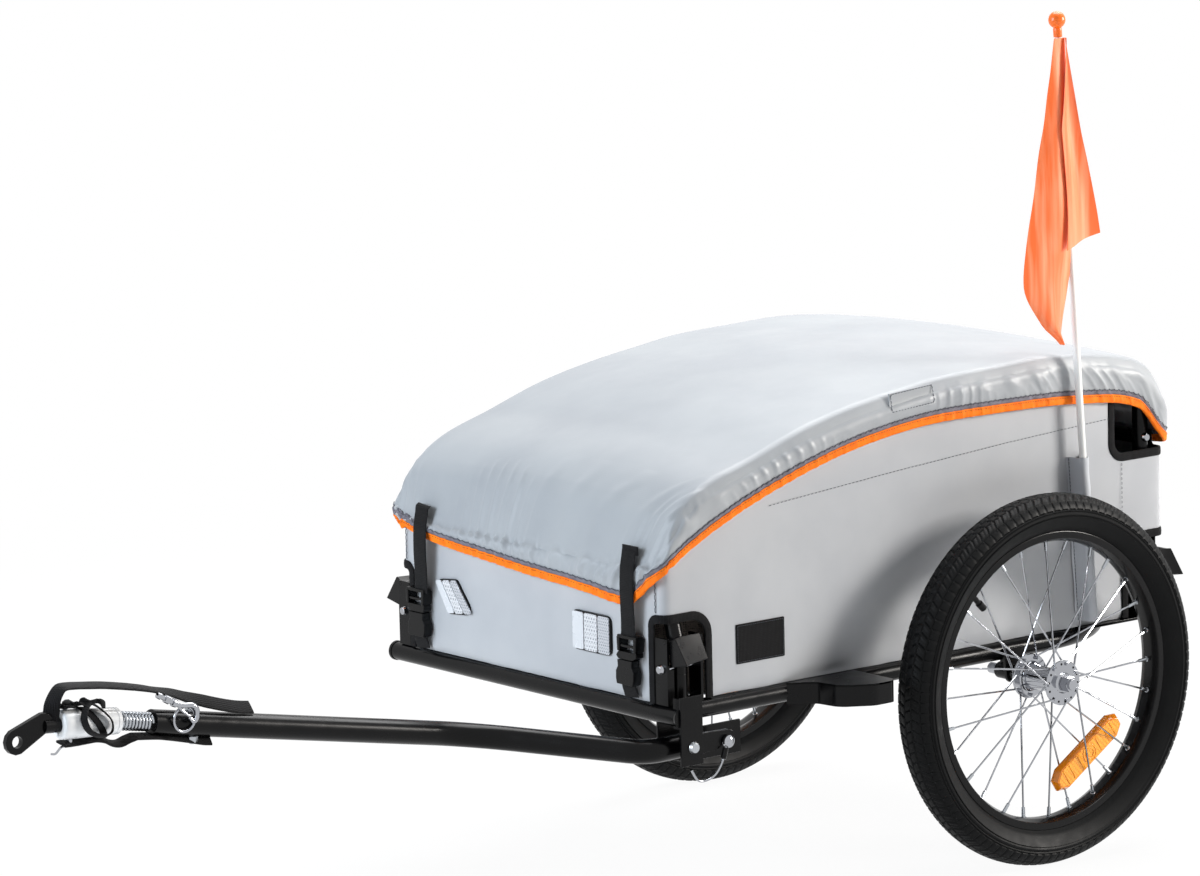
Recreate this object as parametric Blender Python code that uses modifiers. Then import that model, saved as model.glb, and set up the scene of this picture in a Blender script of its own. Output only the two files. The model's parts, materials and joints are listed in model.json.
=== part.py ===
"""Two-wheeled bicycle cargo trailer.

Metres, +Z up, hitch towards -Y, the tow arm's side at +X.
Every piece is built about the wheel axle, and the last step lifts the whole
trailer so that it stands on the ground with its length centred on the origin.
"""

import math

import bmesh
import bpy
from mathutils import Matrix, Vector

# Wheels
TYRE_RADIUS = 0.200
TYRE_WIDTH = 0.047
TYRE_WALL = 0.004
TRACK = 0.565
TYRE_HEIGHT = 0.040
RIM_RADIUS = TYRE_RADIUS - TYRE_HEIGHT
RIM_DEPTH = 0.011
RIM_WIDTH = 0.027
RIM_FLANGE = 0.0022
VALVE_LENGTH = 0.026
VALVE_RADIUS = 0.004
VALVE_ANGLE = math.radians(134.6)
WHEEL_STEPS = 34
HUB_SPAN = 0.051
HUB_FLANGE_RADIUS = 0.024
HUB_FLANGE = 0.003
HUB_BARREL_RADIUS = 0.014
SPOKES = 28
SPOKE_RADIUS = 0.001
SPOKE_CROSS = math.radians(38.0)
WHEEL_REFLECTOR = (0.008, 0.020, RIM_RADIUS * 0.7)
WHEEL_REFLECTOR_REACH = RIM_RADIUS * 0.6625
WHEEL_REFLECTOR_ANGLE = math.radians(-56.9)
AXLE_RADIUS = 0.006
AXLE_PAST_WHEEL = 0.0425
AXLE_PAST_RAIL = 0.024
AXLE_NUT_RADIUS = 0.0085
RECEIVER_RADIUS = 0.011
RECEIVER_LENGTH = 0.036

# Base frame
RAIL_RADIUS = 0.010
RAIL_TO_WHEEL = 0.0625
RAIL_X = TRACK / 2.0 - RAIL_TO_WHEEL
AXLE_OUTER = TRACK / 2.0 + AXLE_PAST_WHEEL
AXLE_INNER = RAIL_X - AXLE_PAST_RAIL
RAIL_Z = 0.0234
FRONT_RAIL_Y = -0.468
FRONT_RAIL_OVERHANG = 0.022
FRONT_RAIL_REACH = RAIL_X + FRONT_RAIL_OVERHANG
REAR_RAIL_Y = 0.215
REAR_BEND = 0.155
GUARD_HEIGHT = 0.023
GUARD_STRIP = 0.003
GUARD_TOP = 0.002
GUARD_FRONT_Y = -0.315
GUARD_REAR_Y = -0.222
GUARD_REACH = 0.0775

# Side frames of the box
POST_RADIUS = 0.0085
POST_INSET = 0.0095
POST_FOOT_INSET = 0.0005
POST_X = RAIL_X - POST_INSET
POST_FOOT_X = RAIL_X - POST_FOOT_INSET
FRONT_POST_Y = -0.4505
REAR_POST_Y = 0.2080
FRAME_SEAT = 0.0010
FRAME_REAR_BEND = 0.032
TOP_BAR_Z = 0.228
BAR_BOLT_RADIUS = 0.003

# Corner hardware
PLATE = 0.003
BRACKET_WIDTH = 0.0236
BRACKET_HEIGHT = 0.0695
BRACKET_FRONT_GAP = 0.0200
BRACKET_REAR_GAP = 0.0210
SOCKET_RADIUS = 0.0088
SOCKET_TOP = 0.0640
CORNER_BOLT_Z = 0.0710
CORNER_BOLT_RADIUS = 0.003
LATCH_PIN_OUTSET = 0.0062
LATCH_PIN_X = RAIL_X + LATCH_PIN_OUTSET
LATCH_PIN_Z = 0.1000
LATCH_PIN_RADIUS = 0.002

# Fabric box and floor
PANEL_PAST_RAIL = 0.0045
TUB_HALF_WIDTH = RAIL_X + PANEL_PAST_RAIL
TUB_FRONT_Y = -0.4735
TUB_REAR_Y = 0.2310
TUB_BOTTOM = 0.0340
TUB_CORNER = 0.012
CLOTH = 0.0018
FLOOR_PANEL = 0.004
ARCH_FRONT_Y = -0.410
ARCH_REAR_Y = 0.166
ARCH_WIDTH = 0.0245
ARCH_SIDE_X = TUB_HALF_WIDTH - ARCH_WIDTH
ARCH_TOP = 0.127
BINDING_WIDTH = 0.009
BINDING_PROUD = 0.0008
WINDOW_FRONT_Y = 0.148
WINDOW_WIDTH = 0.0285
WINDOW_SILL = 0.207
SLEEVE_WIDTH = 0.025
SLEEVE_BOTTOM = 0.042
SLEEVE_TOP = 0.222

# Cover
COVER_TOP = 0.335
COVER_CROWN = 0.008
COVER_CLOTH = 0.002
SKIRT_SLACK = 0.004
SKIRT_HALF_WIDTH = TUB_HALF_WIDTH + SKIRT_SLACK
COVER_FRONT_Y = -0.4790
COVER_REAR_Y = 0.2360
HEM_WIDTH = 0.008
HEM_PROUD = 0.0016
FOLD_DEPTH = 0.0014
SKIRT_FLARE = 0.0008
EDGE_ROLL = 0.015
COVER_CORNER = 0.016

# Fittings on the front
STRAP_INSET = 0.046
RIGHT_STRAP_INSET = 0.049
RIGHT_BUCKLE_INSET = 0.0405
LEFT_REFLECTOR = [
    (TUB_HALF_WIDTH - 0.1485, 0.073),
    (TUB_HALF_WIDTH - 0.0845, 0.073),
    (TUB_HALF_WIDTH - 0.0845, 0.115),
    (TUB_HALF_WIDTH - 0.1485, 0.115),
]
RIGHT_REFLECTOR = [
    (0.0860 - TUB_HALF_WIDTH, 0.0790),
    (0.1310 - TUB_HALF_WIDTH, 0.0830),
    (0.1010 - TUB_HALF_WIDTH, 0.1185),
    (0.0629 - TUB_HALF_WIDTH, 0.1145),
]

# Flag
POLE_RADIUS = 0.004
POLE_OUTSET = 0.0145
POLE_X = TUB_HALF_WIDTH + POLE_OUTSET
POLE_FOOT = (0.1085, 0.046)
POLE_HEAD = (0.067, 0.6868)
FLAG_BALL_RADIUS = 0.008
PENNANT_CLOTH = 0.0012

# Tow arm
ARM_RADIUS = 0.0127
ARM_OUTSET = 0.005
ARM_X = RAIL_X + ARM_OUTSET
HITCH_X = 0.075
ARM_PIVOT = (-0.4574, -0.0084)
ARM_REAR_BEND = 0.040
ARM_FRONT_BEND = 0.100
TONGUE = 0.006
LOCK_PIN = (-0.4035, -0.0113)
LOCK_PIN_RADIUS = 0.004
PIVOT_BOLT_RADIUS = 0.004
CHEEK_OUTSET = 0.023
CHEEK_X = ARM_X + CHEEK_OUTSET
LOCK_PLATE_INSET = 0.015
LOCK_PLATE_X = ARM_X - LOCK_PLATE_INSET

# Coupler
ARM_END = (-1.0046, 0.0756)
ARM_SLOPE = math.radians(10.6)
SPRING_LENGTH = 0.040
SPRING_RADIUS = 0.0098
SPRING_WIRE = 0.0015
SPRING_TURNS = 9
SLEEVE_END_RADIUS = 0.015
SLEEVE_START_RADIUS = 0.0135
SLEEVE_LENGTH = 0.068
SLEEVE_SLOPE = math.radians(5.0)
ROD_RADIUS = 0.0075
EYE = (-1.1625, 0.080)
EYE_RADIUS = 0.013
EYE_BORE = 0.006
EYE_PLATE = 0.007

GAP = 0.0003
TAIL_REACH = COVER_REAR_Y + SKIRT_FLARE + FOLD_DEPTH + HEM_PROUD

HITCH_REACH = EYE_RADIUS - EYE[0]
STAND = Vector((0.0, (HITCH_REACH - TAIL_REACH) / 2.0, TYRE_RADIUS))


# Tools
def clear_scene():
    for item in list(bpy.data.objects):
        bpy.data.objects.remove(item, do_unlink=True)


def material(name, colour, roughness, metallic=0.0):
    made = bpy.data.materials.new(name)
    made.use_nodes = True
    shader = made.node_tree.nodes["Principled BSDF"]
    shader.inputs["Base Color"].default_value = (*colour, 1.0)
    shader.inputs["Roughness"].default_value = roughness
    shader.inputs["Metallic"].default_value = metallic
    return made


def place_mesh(name, mesh):
    item = bpy.data.objects.new(name, mesh)
    parts.objects.link(item)
    return item


def from_bmesh(name, solid):
    mesh = bpy.data.meshes.new(name)
    bmesh.ops.recalc_face_normals(solid, faces=solid.faces)
    solid.to_mesh(mesh)
    solid.free()
    return place_mesh(name, mesh)


def baked(item):
    """The object with its modifiers, or its curve, turned into a plain mesh."""
    depsgraph = bpy.context.evaluated_depsgraph_get()
    mesh = bpy.data.meshes.new_from_object(item.evaluated_get(depsgraph))
    name = item.name
    matrix = item.matrix_world.copy()
    bpy.data.objects.remove(item, do_unlink=True)
    mesh.transform(matrix)
    solid = bmesh.new()
    solid.from_mesh(mesh)
    bmesh.ops.remove_doubles(solid, verts=solid.verts, dist=0.00001)
    solid.to_mesh(mesh)
    solid.free()
    return place_mesh(name, mesh)


def combined(item, tool, operation):
    modifier = item.modifiers.new(operation.lower(), "BOOLEAN")
    modifier.operation = operation
    modifier.solver = "EXACT"
    modifier.object = tool
    result = baked(item)
    bpy.data.objects.remove(tool, do_unlink=True)
    return result


def join(item, *others):
    for other in others:
        item = combined(item, other, "UNION")
    return item


def cut(item, *tools):
    for tool in tools:
        item = combined(item, tool, "DIFFERENCE")
    return item


def kept_within(item, tool):
    return combined(item, tool, "INTERSECT")


def box(name, low, high):
    solid = bmesh.new()
    bmesh.ops.create_cube(solid, size=1.0)
    low, high = Vector(low), Vector(high)
    size = high - low
    for corner in solid.verts:
        corner.co = (low + high) / 2.0 + Vector(a * b for a, b in zip(corner.co, size))
    return from_bmesh(name, solid)


def rod(name, start, end, radius, end_radius=None, sides=16):
    start, end = Vector(start), Vector(end)
    solid = bmesh.new()
    turn = (end - start).to_track_quat("Z", "X").to_matrix().to_4x4()
    bmesh.ops.create_cone(
        solid,
        cap_ends=True,
        segments=sides,
        radius1=radius,
        radius2=radius if end_radius is None else end_radius,
        depth=(end - start).length,
        matrix=Matrix.Translation((start + end) / 2.0) @ turn,
    )
    return from_bmesh(name, solid)


def ball(name, centre, radius):
    solid = bmesh.new()
    bmesh.ops.create_uvsphere(
        solid, u_segments=12, v_segments=8, radius=radius, matrix=Matrix.Translation(centre)
    )
    return from_bmesh(name, solid)


def tube(name, points, radius, detail=2, closed=False):
    curve = bpy.data.curves.new(name, "CURVE")
    curve.dimensions = "3D"
    curve.bevel_depth = radius
    curve.bevel_resolution = detail
    curve.use_fill_caps = not closed
    spline = curve.splines.new("POLY")
    spline.points.add(len(points) - 1)
    for slot, point in zip(spline.points, points):
        slot.co = (*point, 1.0)
    spline.use_cyclic_u = closed
    item = bpy.data.objects.new(name, curve)
    parts.objects.link(item)
    return baked(item)


def rounded(corners, radii, steps=6):
    """Points along a polyline whose inner corners are turned at their radii."""
    corners = [Vector(corner) for corner in corners]
    points = [corners[0]]
    for before, corner, after, radius in zip(corners, corners[1:], corners[2:], radii):
        if radius <= 0.0:
            points.append(corner)
            continue
        back = (before - corner).normalized()
        ahead = (after - corner).normalized()
        half = back.angle(ahead) / 2.0
        reach = radius / math.tan(half)
        centre = corner + (back + ahead).normalized() * (radius / math.sin(half))
        start = corner + back * reach - centre
        end = corner + ahead * reach - centre
        sweep = start.angle(end)
        for index in range(steps + 1):
            share = index / steps
            weight_start = math.sin((1.0 - share) * sweep) / math.sin(sweep)
            weight_end = math.sin(share * sweep) / math.sin(sweep)
            points.append(centre + start * weight_start + end * weight_end)
    points.append(corners[-1])
    return points


def turned(name, profile, steps, centre=(0.0, 0.0, 0.0), axis="X"):
    """A closed profile of (radius, height) pairs, turned about an axis."""
    mesh = bpy.data.meshes.new(name)
    count = len(profile)
    mesh.from_pydata(
        [(radius, 0.0, height) for radius, height in profile],
        [(index, (index + 1) % count) for index in range(count)],
        [],
    )
    item = place_mesh(name, mesh)
    screw = item.modifiers.new("turn", "SCREW")
    screw.steps = steps
    screw.render_steps = steps
    screw.use_merge_vertices = True
    screw.merge_threshold = 0.00001
    screw.use_normal_calculate = True
    turn = Matrix.Identity(4)
    if axis == "X":
        turn = Matrix.Rotation(math.radians(90.0), 4, "Y")
    if axis == "Y":
        turn = Matrix.Rotation(math.radians(-90.0), 4, "X")
    item.matrix_world = Matrix.Translation(centre) @ turn
    item = baked(item)
    facing_out(item.data)
    return item


def facing_out(mesh):
    solid = bmesh.new()
    solid.from_mesh(mesh)
    bmesh.ops.recalc_face_normals(solid, faces=solid.faces)
    solid.to_mesh(mesh)
    solid.free()


def sheet_outline(name, points, low, high, plane):
    """A flat outline with straight sides between two heights along an axis."""
    solid = bmesh.new()
    if plane == "YZ":
        place = [(low, a, b) for a, b in points]
        push = Vector((high - low, 0.0, 0.0))
    elif plane == "XZ":
        place = [(a, low, b) for a, b in points]
        push = Vector((0.0, high - low, 0.0))
    else:
        place = [(a, b, low) for a, b in points]
        push = Vector((0.0, 0.0, high - low))
    face = solid.faces.new([solid.verts.new(point) for point in place])
    walls = bmesh.ops.extrude_face_region(solid, geom=[face])
    moved = [part for part in walls["geom"] if isinstance(part, bmesh.types.BMVert)]
    bmesh.ops.translate(solid, verts=moved, vec=push)
    return from_bmesh(name, solid)


def strip_outline(path, width):
    """The outline of a strip of even width that follows a flat path."""
    left, right = [], []
    for index, point in enumerate(path):
        before = path[max(index - 1, 0)]
        after = path[min(index + 1, len(path) - 1)]
        along = (Vector(after) - Vector(before)).normalized()
        side = Vector((-along.y, along.x)) * (width / 2.0)
        left.append(tuple(Vector(point) + side))
        right.append(tuple(Vector(point) - side))
    return left + right[::-1]


def mirrored(item, name):
    """A copy on the other side of the trailer's middle plane."""
    mesh = item.data.copy()
    mesh.transform(Matrix.Scale(-1.0, 4, (1.0, 0.0, 0.0)))
    mesh.flip_normals()
    return place_mesh(name, mesh)


def softened(item, width, segments=2, angle=40.0):
    bevel = item.modifiers.new("edges", "BEVEL")
    bevel.width = width
    bevel.segments = segments
    bevel.limit_method = "ANGLE"
    bevel.angle_limit = math.radians(angle)
    return baked(item)


def dressed(item, finish, smooth=38.0):
    item.data.materials.clear()
    item.data.materials.append(finish)
    item.data.shade_smooth()
    item.data.set_sharp_from_angle(angle=math.radians(smooth))
    return item


def linked(link, points):
    """A height read along straight stretches between (place, height) pairs."""
    if link <= points[0][0]:
        return points[0][1]
    for (start, low), (end, high) in zip(points, points[1:]):
        if link <= end:
            share = (link - start) / (end - start)
            return low + (high - low) * share
    return points[-1][1]


clear_scene()
parts = bpy.data.collections.new("bike_cargo_trailer")
bpy.context.scene.collection.children.link(parts)

FRAME_PAINT = material("black_powder_coat", (0.012, 0.012, 0.013), 0.30)
PLASTIC = material("black_plastic", (0.014, 0.014, 0.015), 0.45)
ZINC = material("zinc_plated_steel", (0.62, 0.62, 0.60), 0.28, 1.0)
CHROME = material("chrome", (0.80, 0.80, 0.82), 0.12, 1.0)
SILVER_PAINT = material("silver_paint", (0.72, 0.72, 0.72), 0.35, 0.2)
RUBBER = material("tyre_rubber", (0.018, 0.018, 0.019), 0.75)
CLOTH_GREY = material("silver_coated_cloth", (0.48, 0.51, 0.54), 0.45)
CLOTH_ORANGE = material("orange_trim", (0.93, 0.26, 0.02), 0.60)
CLOTH_BLACK = material("black_binding", (0.015, 0.015, 0.016), 0.85)
BOARD = material("floor_board", (0.03, 0.03, 0.03), 0.70)
AMBER = material("amber_lens", (0.90, 0.33, 0.02), 0.15)
CLEAR = material("clear_lens", (0.80, 0.81, 0.83), 0.12)
RIM_PAINT = material("black_rim_enamel", (0.012, 0.012, 0.012), 0.28)
FLAG_SHEET = material("flag_sheet", (1.0, 0.14, 0.02), 0.45)
ORANGE_PLASTIC = material("orange_plastic", (0.92, 0.16, 0.02), 0.35)
WHITE_PLASTIC = material("white_plastic", (0.80, 0.80, 0.78), 0.40)

SIDES = (("left", 1.0), ("right", -1.0))
ENDS = (("front", -1.0), ("rear", 1.0))


# Wheels
def tyre_section():
    """Outer and inner skins of an open tyre, as (radius, height) pairs."""
    half = TYRE_WIDTH / 2.0
    middle = RIM_RADIUS + (TYRE_RADIUS - RIM_RADIUS) * 0.42
    crown = TYRE_RADIUS - middle
    bead = RIM_RADIUS - 0.0035
    bead_half = RIM_WIDTH / 2.0 - RIM_FLANGE - GAP
    outer = [(RIM_RADIUS + 0.003, -half * 0.74)]
    for angle in (-80.0, -48.0, -20.0, 20.0, 48.0, 80.0):
        turn = math.radians(angle)
        outer.append((middle + crown * math.cos(turn) ** 0.80, half * math.sin(turn)))
    outer.append((RIM_RADIUS + 0.003, half * 0.74))
    tread = TYRE_RADIUS / max(radius for radius, _ in outer)
    outer = [
        (radius * tread if radius > middle + crown / 2.0 else radius, height)
        for radius, height in outer
    ]
    inner = []
    for angle in (70.0, 25.0, -25.0, -70.0):
        turn = math.radians(angle)
        inner.append((
            middle + (crown - TYRE_WALL) * math.cos(turn) ** 0.85 - 0.001,
            (half - TYRE_WALL) * math.sin(turn),
        ))
    over = RIM_RADIUS + 0.0010
    outer = [(bead, -bead_half), (over, -bead_half), *outer, (over, bead_half), (bead, bead_half)]
    return [*outer, (bead, bead_half - 0.0035), *inner, (bead, -bead_half + 0.0035)]


def rim_section():
    half = RIM_WIDTH / 2.0
    inner = RIM_RADIUS - RIM_DEPTH
    floor = inner + 0.0035
    flange = half - RIM_FLANGE
    return [
        (RIM_RADIUS, -half),
        (RIM_RADIUS, -flange),
        (floor, -flange),
        (floor, flange),
        (RIM_RADIUS, flange),
        (RIM_RADIUS, half),
        (RIM_RADIUS - 0.0075, half),
        (inner, half * 0.45),
        (inner, -half * 0.45),
        (RIM_RADIUS - 0.0075, -half),
    ]


def hub_section():
    bore = AXLE_RADIUS + 0.0004
    end = HUB_SPAN / 2.0 + 0.0045
    outer = HUB_SPAN / 2.0 + HUB_FLANGE / 2.0
    inner = outer - HUB_FLANGE
    return [
        (bore, -end),
        (0.0105, -end),
        (0.0115, -outer),
        (HUB_FLANGE_RADIUS, -outer),
        (HUB_FLANGE_RADIUS, -inner),
        (HUB_BARREL_RADIUS, -inner + 0.002),
        (HUB_BARREL_RADIUS - 0.0015, 0.0),
        (HUB_BARREL_RADIUS, inner - 0.002),
        (HUB_FLANGE_RADIUS, inner),
        (HUB_FLANGE_RADIUS, outer),
        (0.0115, outer),
        (0.0105, end),
        (bore, end),
    ]


def spoke_ends():
    """Start on a hub flange and end under the rim, for each spoke."""
    seat = HUB_FLANGE_RADIUS - 0.0035
    reach = (RIM_RADIUS - RIM_DEPTH) * math.cos(math.pi / WHEEL_STEPS) - 2.0 * GAP
    for index in range(SPOKES):
        side = 1.0 if index % 2 else -1.0
        pull = 1.0 if (index // 2) % 2 else -1.0
        angle = 2.0 * math.pi * index / SPOKES
        root = angle + pull * SPOKE_CROSS
        yield (
            Vector(
                (side * (HUB_SPAN + pull * HUB_FLANGE) / 2.0, seat * math.cos(root), seat * math.sin(root)),
            ),
            Vector((side * 0.0015, reach * math.cos(angle), reach * math.sin(angle))),
        )


def spokes(name, radius):
    """All spokes as one mesh of crossing rods."""
    solid = bmesh.new()
    for start, end in spoke_ends():
        turn = (end - start).to_track_quat("Z", "X").to_matrix().to_4x4()
        bmesh.ops.create_cone(
            solid,
            cap_ends=True,
            segments=4,
            radius1=radius,
            radius2=radius,
            depth=(end - start).length,
            matrix=Matrix.Translation((start + end) / 2.0) @ turn,
        )
    return from_bmesh(name, solid)


def wheel_reflector(name):
    thick, width, length = WHEEL_REFLECTOR
    lens = box(name, (-thick / 2.0, -length / 2.0, -width / 2.0), (thick / 2.0, length / 2.0, width / 2.0))
    lens = softened(lens, 0.0018, segments=1)
    for place in (-0.30, 0.30):
        middle = place * length
        clip = box("clip", (-0.0085, middle - 0.006, -0.0075), (0.0085, middle + 0.006, 0.0075))
        lens = join(lens, clip)
    across = WHEEL_REFLECTOR_ANGLE
    lens.data.transform(
        Matrix.Rotation(across, 4, "X")
        @ Matrix.Translation((0.0, WHEEL_REFLECTOR_REACH, 0.0))
        @ Matrix.Rotation(math.radians(90.0), 4, "X")
    )
    return cut(lens, spokes("spoke_room", SPOKE_RADIUS + GAP))


def build_wheel(side, sign):
    tyre = turned(f"tyre_{side}", tyre_section(), WHEEL_STEPS)
    dressed(tyre, RUBBER)
    rim = turned(f"rim_{side}", rim_section(), WHEEL_STEPS)
    inner = RIM_RADIUS - RIM_DEPTH
    valve = [
        Vector((0.0, reach * math.cos(VALVE_ANGLE), reach * math.sin(VALVE_ANGLE)))
        for reach in (inner + 0.0015, inner + 0.0015 - VALVE_LENGTH)
    ]
    rim = join(rim, rod("valve", valve[0], valve[1], VALVE_RADIUS, VALVE_RADIUS * 0.8, sides=8))
    dressed(rim, RIM_PAINT)
    hub = turned(f"hub_spokes_{side}", hub_section(), 16)
    hub = join(hub, spokes("spoke_set", SPOKE_RADIUS))
    dressed(hub, CHROME)
    reflector = wheel_reflector(f"wheel_reflector_{side}")
    dressed(reflector, AMBER)
    moved = []
    for item in (tyre, rim, hub, reflector):
        item.data.transform(Matrix.Translation((sign * TRACK / 2.0, 0.0, 0.0)))
        moved.append(item)
    return moved


def build_axle(side, sign):
    axle = rod(
        f"axle_{side}",
        (sign * AXLE_INNER, 0, 0),
        (sign * (AXLE_OUTER - 0.007), 0, 0),
        AXLE_RADIUS,
        sides=14,
    )
    hub_end = TRACK / 2.0 + HUB_SPAN / 2.0 + 0.0045 + GAP
    nut = rod("nut", (sign * hub_end, 0, 0), (sign * (AXLE_OUTER - 0.002), 0, 0), AXLE_NUT_RADIUS, sides=6)
    cap = rod("cap", (sign * hub_end, 0, 0), (sign * AXLE_OUTER, 0, 0), AXLE_NUT_RADIUS * 0.7, sides=10)
    collar_end = TRACK / 2.0 - HUB_SPAN / 2.0 - 0.0045 - GAP
    collar_start = RAIL_X + RECEIVER_LENGTH / 2.0 + 0.004 + GAP
    collar = rod("collar", (sign * collar_start, 0, 0), (sign * collar_end, 0, 0), 0.0095, sides=14)
    return dressed(join(axle, nut, cap, collar), CHROME)


# Base frame
def guard(sign):
    """A wheel guard's strip and its top plate, on one side."""
    start = RAIL_X + RAIL_RADIUS * 0.9
    reach = RAIL_X + GUARD_REACH
    path = rounded(
        [
            (start, GUARD_FRONT_Y, 0.0),
            (start + 0.018, GUARD_FRONT_Y + 0.026, 0.0),
            (reach - 0.020, GUARD_FRONT_Y + 0.030, 0.0),
            (reach, GUARD_FRONT_Y + 0.062, 0.0),
            (reach, GUARD_REAR_Y, 0.0),
            (start, GUARD_REAR_Y, 0.0),
        ],
        [0.012, 0.020, 0.020, 0.010],
        steps=2,
    )
    flat = [(sign * point.x, point.y) for point in path]
    low = RAIL_Z - GUARD_HEIGHT / 2.0
    high = RAIL_Z + GUARD_HEIGHT / 2.0
    strip = sheet_outline("strip", strip_outline(flat, GUARD_STRIP), low, high, "XY")
    plate = sheet_outline("plate", flat, high - GUARD_TOP, high, "XY")
    return join(strip, plate)


def rear_gusset(sign):
    """The plate in the rear bend that carries a rear corner bracket."""
    top = RAIL_Z + RAIL_RADIUS
    outer = RAIL_X + RAIL_RADIUS - 0.0005
    rear = REAR_POST_Y + BRACKET_FRONT_GAP + PLATE
    outline = [
        (outer, REAR_POST_Y - 0.105),
        (outer, rear),
        (RAIL_X - 0.115, rear),
        (RAIL_X - 0.115, REAR_RAIL_Y - 0.002),
        (RAIL_X - 0.063, REAR_RAIL_Y - 0.021),
        (RAIL_X - 0.022, REAR_RAIL_Y - 0.061),
        (RAIL_X - 0.004, REAR_POST_Y - 0.105),
    ]
    flat = [(sign * x, y) for x, y in outline]
    return sheet_outline("gusset", flat, top - PLATE, top, "XY")


def build_base_rail():
    start = FRONT_RAIL_Y + RAIL_RADIUS + GAP
    path = rounded(
        [
            (RAIL_X, start, RAIL_Z),
            (RAIL_X, REAR_RAIL_Y, RAIL_Z),
            (-RAIL_X, REAR_RAIL_Y, RAIL_Z),
            (-RAIL_X, start, RAIL_Z),
        ],
        [REAR_BEND, REAR_BEND],
        steps=7,
    )
    rail = tube("base_rail", path, RAIL_RADIUS, detail=2)
    bore = AXLE_RADIUS + 0.0004
    for side, sign in SIDES:
        drop = box(
            "drop",
            (min(sign * (RAIL_X + 0.0035), sign * (RAIL_X + 0.0085)), -0.020, -0.014),
            (max(sign * (RAIL_X + 0.0035), sign * (RAIL_X + 0.0085)), 0.020, RAIL_Z + 0.004),
        )
        half = RECEIVER_LENGTH / 2.0
        centre = sign * (RAIL_X + 0.004)
        socket = rod("receiver", (centre - half, 0, 0), (centre + half, 0, 0), RECEIVER_RADIUS, sides=16)
        hole = rod("bore", (centre - half - 0.01, 0, 0), (centre + half + 0.01, 0, 0), bore, sides=16)
        web = box(
            "web",
            (min(sign * (RAIL_X - 0.010), sign * (RAIL_X + 0.005)), -0.002, RECEIVER_RADIUS * 0.7),
            (max(sign * (RAIL_X - 0.010), sign * (RAIL_X + 0.005)), 0.002, RAIL_Z),
        )
        rail = join(rail, drop, socket, web, guard(sign), rear_gusset(sign))
        rail = cut(rail, hole)
    return dressed(rail, FRAME_PAINT)


def build_front_rail():
    """The cross rail, its end caps and the tow arm's two welded cheeks."""
    left_end = RAIL_X + RAIL_RADIUS + 0.014
    rail = rod(
        "front_rail",
        (left_end, FRONT_RAIL_Y, RAIL_Z),
        (-FRONT_RAIL_REACH, FRONT_RAIL_Y, RAIL_Z),
        RAIL_RADIUS,
        sides=20,
    )
    rail = join(rail, rod(
        "cap",
        (-FRONT_RAIL_REACH + 0.0015, FRONT_RAIL_Y, RAIL_Z),
        (-FRONT_RAIL_REACH - 0.0025, FRONT_RAIL_Y, RAIL_Z),
        RAIL_RADIUS + 0.0006,
        sides=20,
    ))
    front = ARM_PIVOT[0] - 0.0155
    rear = ARM_PIVOT[0] + 0.0130
    top = RAIL_Z + 0.022
    bottom = ARM_PIVOT[1] - 0.0185
    cheek = box("cheek", (CHEEK_X - PLATE / 2.0, front, bottom), (CHEEK_X + PLATE / 2.0, rear, top))
    stub = rod(
        "stub",
        (left_end - 0.004, FRONT_RAIL_Y, RAIL_Z),
        (CHEEK_X, FRONT_RAIL_Y, RAIL_Z),
        RAIL_RADIUS - 0.0015,
        sides=20,
    )
    inner = sheet_outline(
        "inner",
        [
            (front, RAIL_Z),
            (front, bottom),
            (LOCK_PIN[0] - 0.010, bottom - 0.006),
            (LOCK_PIN[0] + 0.040, bottom - 0.006),
            (LOCK_PIN[0] + 0.040, LOCK_PIN[1] + 0.013),
            (rear + 0.004, LOCK_PIN[1] + 0.013),
            (rear, RAIL_Z - RAIL_RADIUS - 0.002),
            (FRONT_RAIL_Y + 0.006, RAIL_Z - RAIL_RADIUS - 0.002),
            (FRONT_RAIL_Y + 0.006, RAIL_Z),
        ],
        LOCK_PLATE_X - PLATE / 2.0,
        LOCK_PLATE_X + PLATE / 2.0,
        "YZ",
    )
    rail = join(rail, stub, cheek, inner)
    pivot = rod(
        "pivot_room",
        (LOCK_PLATE_X - 0.02, *ARM_PIVOT),
        (CHEEK_X + 0.02, *ARM_PIVOT),
        PIVOT_BOLT_RADIUS + GAP,
    )
    pin = rod(
        "pin_room",
        (LOCK_PLATE_X - 0.02, *LOCK_PIN),
        (LOCK_PLATE_X + 0.01, *LOCK_PIN),
        LOCK_PIN_RADIUS + 0.0005,
    )
    spare = rod(
        "spare_hole",
        (LOCK_PLATE_X - 0.02, LOCK_PIN[0] + 0.024, LOCK_PIN[1]),
        (LOCK_PLATE_X + 0.01, LOCK_PIN[0] + 0.024, LOCK_PIN[1]),
        0.0026,
        sides=12,
    )
    rail = cut(rail, pivot, pin, spare)
    return dressed(rail, FRAME_PAINT)


# Side frames
COVER_LINE = [
    (-0.4700, 0.2000),
    (-0.4560, 0.2260),
    (-0.4200, 0.2535),
    (-0.3500, 0.2760),
    (-0.2800, 0.2980),
    (-0.2100, 0.3130),
    (-0.1400, 0.3230),
    (-0.0900, 0.3290),
    (0.0000, 0.3320),
    (0.0500, 0.3335),
    (0.1000, 0.3310),
    (0.1650, 0.3220),
    (0.2050, 0.3080),
    (0.2250, 0.2800),
]


def cover_height(y):
    """Height of the cover's side edge over the length of the box."""
    return linked(y, COVER_LINE)


def frame_height(y):
    """Height of a side frame's top rail, laid under the cover's cloth."""
    rise = max(abs(cover_height(y + end) - cover_height(y)) / 0.01 for end in (-0.01, 0.01))
    below = (POST_RADIUS + COVER_CLOTH + FRAME_SEAT) * math.hypot(1.0, rise)
    return cover_surface(POST_X, y) - below


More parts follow.
